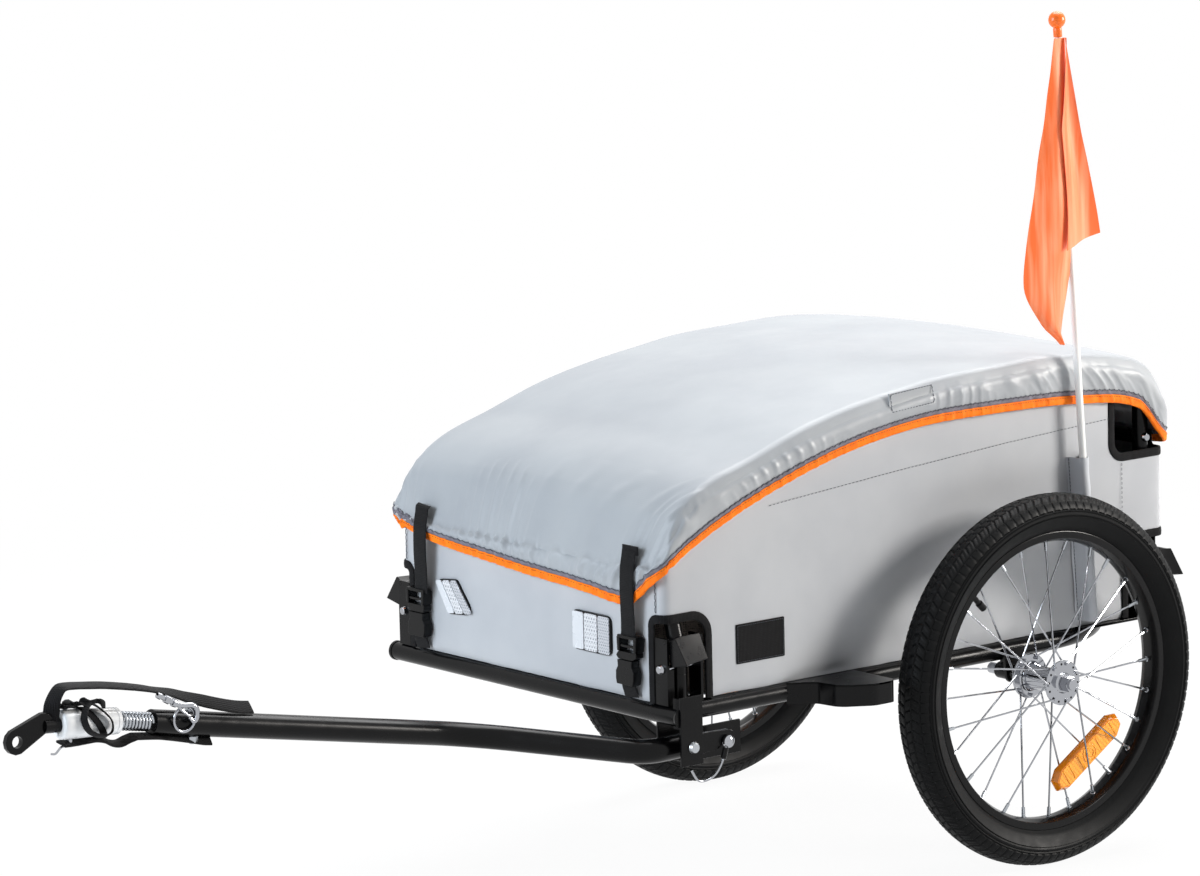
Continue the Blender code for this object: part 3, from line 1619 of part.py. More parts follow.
def build_coupler_sleeve():
    sleeve = rod(
        "coupler_sleeve",
        along_coupler(0.0),
        along_coupler(SLEEVE_LENGTH),
        SLEEVE_START_RADIUS,
        SLEEVE_END_RADIUS,
        sides=22,
    )
    sleeve = softened(sleeve, 0.0012, segments=1, angle=50.0)
    bore = rod(
        "bore",
        along_coupler(SLEEVE_LENGTH - 0.045),
        along_coupler(SLEEVE_LENGTH + 0.02),
        ROD_RADIUS + 0.0004,
        sides=20,
    )
    place = retaining_pin_y()
    room = rod("room", place - Vector((0, 0, 0.03)), place + Vector((0, 0, 0.03)), 0.0030 + GAP, sides=12)
    return dressed(cut(sleeve, bore, room), SILVER_PAINT)


def build_hitch_plate():
    """The rod in the sleeve and the plate with the eye at its end."""
    head = Vector((-1.1300, 0.0945))
    eye = Vector(EYE)
    outline = []
    run = (head - eye).normalized()
    heading = math.atan2(run.y, run.x)
    for centre, radius, start in ((eye, EYE_RADIUS, 95.0), (head, 0.0100, -85.0)):
        for step in range(7):
            angle = heading + math.radians(start + step * 170.0 / 6.0)
            outline.append((centre.x + radius * math.cos(angle), centre.y + radius * math.sin(angle)))
    plate = sheet_outline(
        "hitch_plate", outline, HITCH_X - EYE_PLATE / 2.0, HITCH_X + EYE_PLATE / 2.0, "YZ",
    )
    plate = softened(plate, 0.0008, segments=1)
    shank = rod(
        "shank",
        along_coupler(SLEEVE_LENGTH - 0.044),
        along_coupler(SLEEVE_LENGTH + 0.0180),
        ROD_RADIUS,
        sides=14,
    )
    plate = join(plate, shank)
    place = retaining_pin_y()
    room = rod("room", place - Vector((0, 0, 0.03)), place + Vector((0, 0, 0.03)), 0.0030 + GAP, sides=12)
    bore = rod("bore", (HITCH_X - 0.02, *EYE), (HITCH_X + 0.02, *EYE), EYE_BORE, sides=16)
    return dressed(cut(plate, room, bore), FRAME_PAINT)


def build_retaining_pin():
    place = retaining_pin_y()
    pin = rod(
        "retaining_pin",
        place - Vector((0, 0, 0.0225)),
        place + Vector((0, 0, 0.0140)),
        0.0030,
        sides=12,
    )
    low = place - Vector((0, 0, 0.0215))
    wire = tube(
        "wire",
        rounded(
            [
                low + Vector((0, 0.001, 0)),
                low + Vector((0, -0.010, 0.0005)),
                low + Vector((0, -0.017, -0.0060)),
                low + Vector((0, -0.022, -0.0050)),
            ],
            [0.006, 0.004],
            steps=2,
        ),
        0.0012,
        detail=1,
    )
    return dressed(join(pin, wire), CHROME)


def build_safety_strap():
    """Webbing from a collar on the sleeve, over and under the spring."""
    upper = [
        (-1.0600, 0.0994),
        (-1.0740, 0.1018),
        (-1.0880, 0.1048),
        (-1.1080, 0.1072),
        (-1.1165, 0.1120),
        (-1.1150, 0.1205),
        (-1.1036, 0.1256),
        (-1.0722, 0.1209),
        (-1.0442, 0.1172),
        (-1.0161, 0.1105),
        (-0.9926, 0.1030),
        (-0.9691, 0.0954),
        (-0.9455, 0.0837),
        (-0.9155, 0.0775),
        (-0.8880, 0.0688),
    ]
    lower = [
        (-1.0700, 0.0690),
        (-1.0560, 0.0674),
        (-1.0502, 0.0660),
        (-1.0358, 0.0640),
        (-1.0216, 0.0625),
        (-1.0038, 0.0608),
        (-0.9780, 0.0560),
        (-0.9660, 0.0455),
        (-0.9460, 0.0420),
        (-0.9325, 0.0455),
    ]
    half = 0.0075
    strap = sheet_outline(
        "safety_strap", strip_outline(upper, 0.0016), HITCH_X - half, HITCH_X + half, "YZ",
    )
    under = sheet_outline("under", strip_outline(lower, 0.0016), HITCH_X - half, HITCH_X + half, "YZ")
    collar = rod("collar", along_coupler(0.0200), along_coupler(0.0400), 0.0163, sides=24)
    room = rod("room", along_coupler(0.0100), along_coupler(0.0500), 0.0146, sides=24)
    strap = join(strap, under, cut(collar, room))
    return dressed(strap, CLOTH_BLACK)


def build_snap_hook():
    """A ring on a swivel hook, which hangs beside the arm."""
    side = HITCH_X + ARM_RADIUS + 0.0023
    centre = Vector((side, -0.9743, 0.0759))
    loop = 0.0125
    ring = tube(
        "snap_hook",
        [
            centre + Vector(
                (0.0, loop * math.cos(math.radians(angle)), loop * math.sin(math.radians(angle))),
            )
            for angle in range(0, 360, 20)
        ],
        0.0013,
        detail=1,
        closed=True,
    )
    hook = tube(
        "hook",
        [
            centre + Vector((0.0, -0.002, loop)),
            centre + Vector((-0.0005, -0.010, loop + 0.004)),
            centre + Vector((-0.0020, -0.018, loop + 0.010)),
            centre + Vector((-0.0050, -0.025, loop + 0.0145)),
        ],
        0.0026,
        detail=2,
    )
    return dressed(join(ring, hook), CHROME)


# Assembly
def axis_empty(name, place, parent=None):
    empty = bpy.data.objects.new(name, None)
    empty.empty_display_size = 0.03
    parts.objects.link(empty)
    empty.parent = parent
    parent_place = parent["place"] if parent else (0.0, 0.0, 0.0)
    empty["place"] = tuple(place)
    empty.location = Vector(place) - Vector(parent_place)
    return empty


def hang(empty, *items):
    """Moves each item's origin to the empty's axis and makes it its child."""
    place = Vector(empty["place"])
    for item in items:
        item.data.transform(Matrix.Translation(-place))
        item.parent = empty
        item.location = (0.0, 0.0, 0.0)


def build_trailer():
    chassis = axis_empty("chassis", (0.0, 0.0, 0.0))
    fixed = [build_base_rail(), build_front_rail(), build_tub(), build_floor_panel()]

    for side, sign in SIDES:
        pull = axis_empty(f"axle_axis_{side}", (sign * AXLE_INNER, 0.0, 0.0), chassis)
        spin = axis_empty(f"wheel_axis_{side}", (sign * TRACK / 2.0, 0.0, 0.0), pull)
        hang(pull, build_axle(side, sign))
        hang(spin, *build_wheel(side, sign))

    frame = build_side_frame()
    fixed += [frame, mirrored(frame, "side_frame_right"), build_rear_top_bar()]
    bolt = build_bar_bolt()
    fixed += [bolt, mirrored(bolt, "rear_bar_bolt_right")]
    binding = build_window_binding("window_binding_left")
    fixed += [binding, mirrored(binding, "window_binding_right")]

    for end, outward in ENDS:
        post_y = FRONT_POST_Y if outward < 0.0 else REAR_POST_Y
        lever_place = (LATCH_PIN_X, post_y, LATCH_PIN_Z)
        pieces = [
            build_corner_bracket(f"corner_bracket_{end}_left", post_y, outward),
            build_corner_bolt(f"corner_bolt_{end}_left", post_y, outward),
            build_corner_binding(f"corner_binding_{end}_left", end),
        ]
        fixed += pieces
        fixed += [mirrored(piece, piece.name.replace("left", "right")) for piece in pieces]
        lever = build_latch_block(f"latch_block_{end}_left", post_y, outward)
        other = mirrored(lever, f"latch_block_{end}_right")
        hang(axis_empty(f"latch_axis_{end}_left", lever_place, chassis), lever)
        lever_place = (-LATCH_PIN_X, post_y, LATCH_PIN_Z)
        hang(axis_empty(f"latch_axis_{end}_right", lever_place, chassis), other)

    fixed += [
        build_pivot_bolt(),
        build_strap_buckle("strap_buckle_left", TUB_HALF_WIDTH - STRAP_INSET, 0.004),
        build_strap_buckle("strap_buckle_right", RIGHT_BUCKLE_INSET - TUB_HALF_WIDTH, -0.001),
        build_front_reflector("front_reflector_left", LEFT_REFLECTOR),
        build_front_reflector(
            "front_reflector_right", RIGHT_REFLECTOR
        ),
    ]
    hang(chassis, *fixed)

    lift = axis_empty("cover_lift", (0.0, 0.0, COVER_TOP), chassis)
    hang(
        lift,
        build_cover(),
        build_cover_binding(),
        build_cover_strap("cover_strap_left", TUB_HALF_WIDTH - STRAP_INSET, 0.005),
        build_cover_strap("cover_strap_right", RIGHT_STRAP_INSET - TUB_HALF_WIDTH, 0.006),
    )
    flag = axis_empty("flag_axis", pole_point(POLE_FOOT[1]), chassis)
    hang(flag, build_pole(), build_pennant(), build_flag_ball())

    arm = axis_empty("arm_axis", (ARM_X, *ARM_PIVOT), chassis)
    hang(arm, build_tow_arm(), build_snap_hook())
    hang(axis_empty("lock_pin_axis", (ARM_X, *LOCK_PIN), chassis), build_lock_pin())
    yaw = axis_empty("coupler_yaw_axis", COUPLER_CENTRE, arm)
    hang(yaw, build_flex_link(), build_spring())
    pitch = axis_empty("coupler_pitch_axis", COUPLER_CENTRE, yaw)
    hang(pitch, build_coupler_sleeve(), build_hitch_plate(), build_safety_strap())
    hang(axis_empty("retaining_pin_axis", retaining_pin_y(), pitch), build_retaining_pin())
    chassis.location = STAND


build_trailer()
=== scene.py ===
"""Looks of a bicycle cargo trailer: its finishes, cloth, webbing, tyres and studio.

Metres, +Z up, hitch towards -Y. Places are written about the wheel axle and
lifted by STAND, which puts the tyres on the floor.
"""

import json
import logging
import math
from collections.abc import Iterable, Sequence
from dataclasses import dataclass
from enum import Enum

import bmesh
import bpy
from mathutils import Matrix, Vector, noise
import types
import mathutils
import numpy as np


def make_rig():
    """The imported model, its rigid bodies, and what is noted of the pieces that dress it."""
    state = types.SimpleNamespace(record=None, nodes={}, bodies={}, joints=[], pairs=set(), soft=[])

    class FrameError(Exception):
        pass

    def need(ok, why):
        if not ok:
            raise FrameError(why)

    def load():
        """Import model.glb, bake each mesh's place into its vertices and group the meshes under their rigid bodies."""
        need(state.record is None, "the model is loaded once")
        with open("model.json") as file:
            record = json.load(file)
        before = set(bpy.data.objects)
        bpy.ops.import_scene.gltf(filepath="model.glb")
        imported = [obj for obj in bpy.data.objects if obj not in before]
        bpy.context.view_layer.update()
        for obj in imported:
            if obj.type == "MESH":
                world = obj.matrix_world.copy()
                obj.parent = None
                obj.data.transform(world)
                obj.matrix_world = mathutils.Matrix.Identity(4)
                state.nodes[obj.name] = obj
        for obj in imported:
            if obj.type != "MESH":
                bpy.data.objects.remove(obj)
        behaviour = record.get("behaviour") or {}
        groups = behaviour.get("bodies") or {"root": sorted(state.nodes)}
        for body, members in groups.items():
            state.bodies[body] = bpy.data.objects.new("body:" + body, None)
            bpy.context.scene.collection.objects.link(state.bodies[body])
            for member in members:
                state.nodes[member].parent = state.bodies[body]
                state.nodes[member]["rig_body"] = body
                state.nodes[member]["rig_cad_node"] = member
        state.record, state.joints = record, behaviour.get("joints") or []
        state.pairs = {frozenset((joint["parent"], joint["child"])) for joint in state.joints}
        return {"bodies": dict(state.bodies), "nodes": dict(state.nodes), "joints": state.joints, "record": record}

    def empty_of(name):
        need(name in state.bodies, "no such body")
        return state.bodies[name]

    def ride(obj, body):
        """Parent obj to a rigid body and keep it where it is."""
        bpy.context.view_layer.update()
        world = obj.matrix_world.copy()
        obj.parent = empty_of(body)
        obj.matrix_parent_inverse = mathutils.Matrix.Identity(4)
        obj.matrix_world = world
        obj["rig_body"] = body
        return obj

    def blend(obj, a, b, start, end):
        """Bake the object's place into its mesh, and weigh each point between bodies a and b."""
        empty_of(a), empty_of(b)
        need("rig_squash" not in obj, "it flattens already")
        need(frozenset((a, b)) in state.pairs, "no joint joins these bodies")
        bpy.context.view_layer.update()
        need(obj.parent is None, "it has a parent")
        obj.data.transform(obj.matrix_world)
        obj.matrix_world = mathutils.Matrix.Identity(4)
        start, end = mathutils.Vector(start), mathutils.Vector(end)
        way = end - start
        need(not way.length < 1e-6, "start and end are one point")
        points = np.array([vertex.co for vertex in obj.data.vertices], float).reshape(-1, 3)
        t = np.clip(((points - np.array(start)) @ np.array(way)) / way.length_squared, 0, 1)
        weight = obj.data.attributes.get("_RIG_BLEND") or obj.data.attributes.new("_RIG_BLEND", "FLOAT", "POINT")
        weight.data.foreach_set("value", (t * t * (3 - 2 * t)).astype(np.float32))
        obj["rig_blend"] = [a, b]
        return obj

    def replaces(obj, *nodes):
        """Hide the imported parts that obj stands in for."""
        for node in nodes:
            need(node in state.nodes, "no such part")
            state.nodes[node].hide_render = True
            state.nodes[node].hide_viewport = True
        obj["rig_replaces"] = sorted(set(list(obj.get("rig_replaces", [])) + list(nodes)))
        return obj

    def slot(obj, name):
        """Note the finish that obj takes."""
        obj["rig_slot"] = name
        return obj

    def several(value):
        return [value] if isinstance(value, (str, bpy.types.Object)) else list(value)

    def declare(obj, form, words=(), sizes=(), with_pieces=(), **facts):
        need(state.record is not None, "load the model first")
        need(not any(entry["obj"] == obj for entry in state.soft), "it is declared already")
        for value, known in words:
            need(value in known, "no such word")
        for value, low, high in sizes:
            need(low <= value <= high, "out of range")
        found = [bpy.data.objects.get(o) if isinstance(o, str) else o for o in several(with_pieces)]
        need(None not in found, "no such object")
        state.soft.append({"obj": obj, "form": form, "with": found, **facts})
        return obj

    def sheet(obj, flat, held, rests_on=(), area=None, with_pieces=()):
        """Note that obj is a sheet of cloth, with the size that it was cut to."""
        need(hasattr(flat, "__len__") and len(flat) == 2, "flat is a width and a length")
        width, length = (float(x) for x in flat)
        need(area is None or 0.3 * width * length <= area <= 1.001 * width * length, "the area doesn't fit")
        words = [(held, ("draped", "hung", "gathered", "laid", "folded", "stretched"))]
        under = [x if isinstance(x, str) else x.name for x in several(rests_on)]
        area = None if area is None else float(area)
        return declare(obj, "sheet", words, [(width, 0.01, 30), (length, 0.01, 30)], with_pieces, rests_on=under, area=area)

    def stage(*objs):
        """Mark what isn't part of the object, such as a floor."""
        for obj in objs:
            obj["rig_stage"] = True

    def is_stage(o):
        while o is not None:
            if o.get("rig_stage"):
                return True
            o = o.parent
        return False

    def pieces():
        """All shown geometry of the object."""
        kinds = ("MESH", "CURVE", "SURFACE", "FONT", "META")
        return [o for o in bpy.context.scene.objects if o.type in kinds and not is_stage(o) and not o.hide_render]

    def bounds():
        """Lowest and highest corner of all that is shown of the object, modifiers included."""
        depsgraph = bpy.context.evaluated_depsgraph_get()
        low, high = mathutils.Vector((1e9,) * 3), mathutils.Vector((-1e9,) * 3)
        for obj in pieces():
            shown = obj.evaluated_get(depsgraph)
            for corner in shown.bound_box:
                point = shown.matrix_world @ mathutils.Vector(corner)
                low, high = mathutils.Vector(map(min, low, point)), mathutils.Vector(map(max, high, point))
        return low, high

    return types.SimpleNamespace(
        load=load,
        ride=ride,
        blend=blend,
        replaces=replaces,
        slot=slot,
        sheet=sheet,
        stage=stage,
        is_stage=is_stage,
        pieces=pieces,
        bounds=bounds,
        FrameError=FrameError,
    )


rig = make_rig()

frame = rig.load()
CAD_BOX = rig.bounds()

logging.basicConfig(level=logging.INFO, format="%(message)s")
log = logging.getLogger("trailer")

STAND = Vector((0.0, 0.46785, 0.2))
SIZE_FILE = "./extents.json"
MILLIMETRE = 0.001
# Faces beyond which a mesh is fine enough to shade well as it is.
FINE_MESH = 12000
# Edges sharper than this many degrees stay sharp: on hard pieces, on cords and webbing, on loose cloth.
HARD_EDGE = 40.0
WEBBING_EDGE = 60.0
CLOTH_EDGE = 75.0

Line = Sequence[tuple[float, float]]
Point = Sequence[float]
Item = bpy.types.Object
Mesh = bpy.types.Mesh
Tree = bpy.types.NodeTree
Node = bpy.types.Node
Socket = bpy.types.NodeSocket

OUT_LEFT = Vector((1.0, 0.0, 0.0))


class Side(Enum):
    """A side of the trailer, with the sign of its X."""

    LEFT = 1.0
    RIGHT = -1.0

    @property
    def word(self) -> str:
        """The side's name as the nodes spell it."""
        return self.name.lower()


class End(Enum):
    """An end of the box, with the sign of its Y."""

    FRONT = -1.0
    REAR = 1.0

    @property
    def word(self) -> str:
        """The end's name as the nodes spell it."""
        return self.name.lower()


class Axis(Enum):
    """The axis that a flat outline is pushed along."""

    X = 0
    Y = 1
    Z = 2


# Lines and paths
def smooth_line(place: float, points: Line) -> float:
    """Reads a smooth line through (place, height) pairs.

    Args:
        place: Where to read it.
        points: Pairs in rising order of place.

    Returns:
        The height there, held level beyond both ends.
    """
    if place <= points[0][0]:
        return points[0][1]
    if place >= points[-1][0]:
        return points[-1][1]
    index = next(i for i in range(len(points) - 1) if place <= points[i + 1][0])
    (x0, y0), (x1, y1) = points[index], points[index + 1]
    before = points[max(index - 1, 0)]
    after = points[min(index + 2, len(points) - 1)]
    slope_start = (y1 - before[1]) / (x1 - before[0])
    slope_end = (after[1] - y0) / (after[0] - x0)
    run = x1 - x0
    t = (place - x0) / run
    rise = 3.0 * t**2 - 2.0 * t**3
    start = t - 2.0 * t**2 + t**3
    end = t**3 - t**2
    return y0 + (y1 - y0) * rise + run * (slope_start * start + slope_end * end)


def rounded(corners: Iterable[Point], radii: Sequence[float], steps: int = 8) -> list[Vector]:
    """Turns the inner corners of a polyline at their radii.

    Args:
        corners: The polyline's points.
        radii: One radius for each inner corner.
        steps: Stretches in each turn.

    Returns:
        The points of the rounded line.
    """
    corners = [Vector(corner) for corner in corners]
    points = [corners[0]]
    for before, corner, after, radius in zip(corners, corners[1:], corners[2:], radii):
        if radius <= 0.0:
            points.append(corner)
            continue
        back = (before - corner).normalized()
        ahead = (after - corner).normalized()
        half = back.angle(ahead) / 2.0
        reach = radius / math.tan(half)
        centre = corner + (back + ahead).normalized() * (radius / math.sin(half))
        start = corner + back * reach - centre
        end = corner + ahead * reach - centre
        sweep = start.angle(end)
        for index in range(steps + 1):
            share = index / steps
            first = math.sin((1.0 - share) * sweep) / math.sin(sweep)
            second = math.sin(share * sweep) / math.sin(sweep)
            points.append(centre + start * first + end * second)
    points.append(corners[-1])
    return points


def rounded_outline(corners: Line, radius: float, steps: int) -> list[Vector]:
    """A closed flat outline with all its corners turned at one radius."""
    return rounded([*corners, *corners[:2]], [radius] * len(corners), steps)[1:-1]


def evenly(points: Sequence[Vector], spacing: float) -> list[Vector]:
    """Points at an even spacing along a polyline, its ends kept."""
    lengths = [0.0]
    for first, second in zip(points, points[1:]):
        lengths.append(lengths[-1] + (second - first).length)
    count = max(2, round(lengths[-1] / spacing))
    result = []
    piece = 0
    for index in range(count + 1):
        goal = lengths[-1] * index / count
        while piece < len(lengths) - 2 and lengths[piece + 1] < goal:
            piece += 1
        span = lengths[piece + 1] - lengths[piece]
        share = 0.0 if span == 0.0 else (goal - lengths[piece]) / span
        result.append(points[piece].lerp(points[piece + 1], share))
    return result


def flowing(points: Sequence[Point], spacing: float) -> list[Vector]:
    """A smooth curve through the points, sampled at an even spacing."""
    points = [Vector(point) for point in points]
    fine = []
    for index in range(len(points) - 1):
        p0 = points[max(index - 1, 0)]
        p1, p2 = points[index], points[index + 1]
        p3 = points[min(index + 2, len(points) - 1)]
        for step in range(12):
            t = step / 12.0
            fine.append(0.5 * (2.0 * p1 + (p2 - p0) * t + (2.0 * p0 - 5.0 * p1 + 4.0 * p2 - p3) * t**2
                               + (3.0 * p1 - p0 - 3.0 * p2 + p3) * t**3))
    fine.append(points[-1])
    return evenly(fine, spacing)


def unit(value: float) -> float:
    """Keeps a value between 0 and 1."""
    return min(1.0, max(0.0, value))


def around(angle: float, radius: float = 1.0, x: float = 0.0) -> Vector:
    """A point round the X axis."""
    return Vector((x, radius * math.cos(angle), radius * math.sin(angle)))


def directions(path: Sequence[Vector]) -> list[Vector]:
    """A path's direction at each of its points."""
    return [(after - before).normalized() for before, after in zip([path[0], *path], [*path[1:], path[-1]])]


def mirrored(half: Line) -> list[tuple[float, float]]:
    """A (radius, height) line followed by its mirror image, back to front."""
    return [*half, *[(radius, -height) for radius, height in reversed(half)]]


def wave(place: float, seed: float) -> float:
    """Smooth noise from -1 to 1 along one line."""
    return noise.noise(Vector((place, seed, 0.37 * seed)))


# Meshes
class Draft:
    """Points and faces gathered before they become one mesh."""

    def __init__(self) -> None:
        """Starts an empty draft."""
        self.points: list[Vector] = []
        self.faces: list[list[int]] = []

    def row(self, points: Iterable[Point]) -> list[int]:
        """Adds points and returns their numbers."""
        start = len(self.points)
        self.points += [Vector(point) for point in points]
        return list(range(start, len(self.points)))

    def skin(self, rows: Sequence[Sequence[Point]], closed: bool = False, looped: bool = False,
             capped: bool = False) -> list[list[int]]:
        """Adds a sheet of quads through rows of points.

        Args:
            rows: Rows of one length.
            closed: Whether each row closes on itself.
            looped: Whether the last row meets the first.
            capped: Whether the first and last rows become faces.

        Returns:
            The numbers of the points, row by row.
        """
        numbers = [self.row(row) for row in rows]
        pairs = list(zip(numbers, numbers[1:]))
        if looped:
            pairs.append((numbers[-1], numbers[0]))
        for low, high in pairs:
            last = len(low) if closed else len(low) - 1
            for index in range(last):
                after = (index + 1) % len(low)
                self.faces.append([low[index], low[after], high[after], high[index]])
        if capped:
            self.faces += [numbers[0][::-1], numbers[-1]]
        return numbers

    def tube(self, path: Sequence[Point], radius: float | Sequence[float], sides: int = 20,
             looped: bool = False) -> "Draft":
        """Adds a round tube along a path, with flat ends unless it is looped."""
        path = [Vector(point) for point in path]
        radii = [radius] * len(path) if isinstance(radius, (int, float)) else radius
        rings = []
        side = Vector((0.0, 0.0, 1.0))
        for index, (centre, size) in enumerate(zip(path, radii)):
            before = path[index - 1] if index or looped else path[0]
            after = path[(index + 1) % len(path)] if index + 1 < len(path) or looped else path[-1]
            along = (after - before).normalized()
            if index == 0 and abs(along.z) > 0.9:
                side = Vector((1.0, 0.0, 0.0))
            side = (side - along * side.dot(along)).normalized()
            other = along.cross(side)
            rings.append([
                centre + (side * math.cos(angle) + other * math.sin(angle)) * size
                for angle in (math.tau * step / sides for step in range(sides))
            ])
        self.skin(rings, closed=True, looped=looped, capped=not looped)
        return self

    def strip(self, path: Sequence[Point], normals: Sequence[Vector], width: float,
              thick: float) -> "Draft":
        """Adds a flat strap along a path, its outer face along the normals."""
        path = [Vector(point) for point in path]
        edge = 0.88
        rings = []
        for centre, normal, along in zip(path, normals, directions(path)):
            across = along.cross(normal).normalized() * (width / 2.0)
            out = normal.normalized() * (thick / 2.0)
            rings.append([centre - across, centre - across * edge + out, centre + out * 1.15,
                          centre + across * edge + out, centre + across, centre + across * edge - out,
                          centre - out * 0.9, centre - across * edge - out])
        self.skin(rings, closed=True, capped=True)
        return self

    def turn(self, profile: Line, centre: Point, axis: Axis, steps: int) -> "Draft":
        """Adds a (radius, height) profile turned about an axis."""
        rings = []
        for step in range(steps):
            angle = math.tau * step / steps
            ring = []
            for radius, height in profile:
                flat = [radius * math.cos(angle), radius * math.sin(angle)]
                flat.insert(axis.value, height)
                ring.append(Vector(centre) + Vector(flat))
            rings.append(ring)
        self.skin(rings, closed=True, looped=True)
        return self

    def plate(self, outline: Line, low: float, high: float, axis: Axis) -> "Draft":
        """Adds a flat outline pushed between two places along an axis."""
        rows = []
        for level in (low, high):
            row = []
            for a, b, *_ in outline:
                flat = [a, b]
                flat.insert(axis.value, level)
                row.append(Vector(flat))
            rows.append(row)
        self.skin(rows, closed=True, capped=True)
        return self

    def block(self, low: Point, high: Point) -> "Draft":
        """Adds a box between two corners."""
        return self.plate([(low[0], low[1]), (high[0], low[1]), (high[0], high[1]), (low[0], high[1])],
                          low[2], high[2], Axis.Z)

    def dressed(self, name: str, finish: "Finish", body: str, replaced: Sequence[str] = (),
                angle: float = HARD_EDGE, ease: float = 0.0) -> Item:
        """Makes the draft a dressed piece of the scene, its edges eased if asked."""
        item = self.object(name)
        return dress(eased(item, ease) if ease else item, finish, body, replaced, angle)

    def object(self, name: str, lifted: bool = True) -> Item:
        """Makes the draft an object of the scene, with its faces turned out."""
        mesh = bpy.data.meshes.new(name)
        shift = STAND if lifted else Vector()
        mesh.from_pydata([point + shift for point in self.points], [], self.faces)
        return placed(name, faced(mesh))


def faced(mesh: Mesh, weld: float = 0.0) -> Mesh:
    """Turns a mesh's faces out, after welding it if asked."""
    solid = bmesh.new()
    solid.from_mesh(mesh)
    if weld:
        bmesh.ops.remove_doubles(solid, verts=solid.verts, dist=weld)
        bmesh.ops.dissolve_limit(solid, angle_limit=math.radians(0.5), verts=solid.verts, edges=solid.edges)
    bmesh.ops.recalc_face_normals(solid, faces=solid.faces)
    result = bpy.data.meshes.new(mesh.name) if weld else mesh
    solid.to_mesh(result)
    solid.free()
    return result


def placed(name: str, mesh: Mesh) -> Item:
    """An object of the scene around a mesh."""
    item = bpy.data.objects.new(name, mesh)
    bpy.context.scene.collection.objects.link(item)
    return item


def baked(item: Item) -> Item:
    """Applies an object's modifiers to its mesh."""
    depsgraph = bpy.context.evaluated_depsgraph_get()
    mesh = bpy.data.meshes.new_from_object(item.evaluated_get(depsgraph), preserve_all_data_layers=True,
                                           depsgraph=depsgraph)
    item.modifiers.clear()
    item.data = mesh
    return item


def eased(item: Item, width: float, segments: int = 2, angle: float = 32.0) -> Item:
    """Rounds an object's sharp edges."""
    bevel = item.modifiers.new("edges", "BEVEL")
    bevel.width = width
    bevel.segments = segments
    bevel.limit_method = "ANGLE"
    bevel.angle_limit = math.radians(angle)
    return baked(item)


def thickened(item: Item, thick: float, offset: float = -1.0) -> Item:
    """Gives a sheet its thickness, inwards unless told."""
    shell = item.modifiers.new("thickness", "SOLIDIFY")
    shell.thickness = thick
    shell.offset = offset
    return baked(item)


def carved(item: Item, tool: Item, operation: str = "DIFFERENCE") -> Item:
    """Cuts a tool's solid out of an object, or keeps what they share, and drops the tool."""
    difference = item.modifiers.new("cut", "BOOLEAN")
    difference.operation = operation
    difference.solver = "EXACT"
    difference.object = tool
    result = baked(item)
    bpy.data.objects.remove(tool, do_unlink=True)
    return result


def shaded(item: Item, angle: float) -> Item:
    """Shades an object smooth, with sharp edges kept and the small pieces' flat faces flat."""
    item.data.shade_smooth()
    item.data.set_sharp_from_angle(angle=math.radians(angle))
    if len(item.data.polygons) > FINE_MESH:
        return item
    flat = item.modifiers.new("flat_faces", "WEIGHTED_NORMAL")
    flat.keep_sharp = True
    return baked(item)


# Finishes
def linear(colour: str) -> tuple[float, float, float, float]:
    """Turns an sRGB hex colour to linear values."""
    values = [int(colour[index:index + 2], 16) / 255.0 for index in (1, 3, 5)]
    turned = [value / 12.92 if value <= 0.04045 else ((value + 0.055) / 1.055) ** 2.4 for value in values]
    return (*turned, 1.0)


def add_node(tree: Tree, kind: str, inputs: dict | None = None, **settings: object) -> Node:
    """Adds a node with its settings, and fills its sockets by value or by link.

    Args:
        tree: The material's tree.
        kind: The node's Blender type.
        inputs: Socket name or number, to a value or another node's socket.
        settings: The node's own properties.

    Returns:
        The node.
    """
    node = tree.nodes.new(kind)
    for name, value in settings.items():
        setattr(node, name, value)
    for name, value in (inputs or {}).items():
        if isinstance(value, Socket):
            tree.links.new(value, node.inputs[name])
        else:
            node.inputs[name].default_value = value
    return node


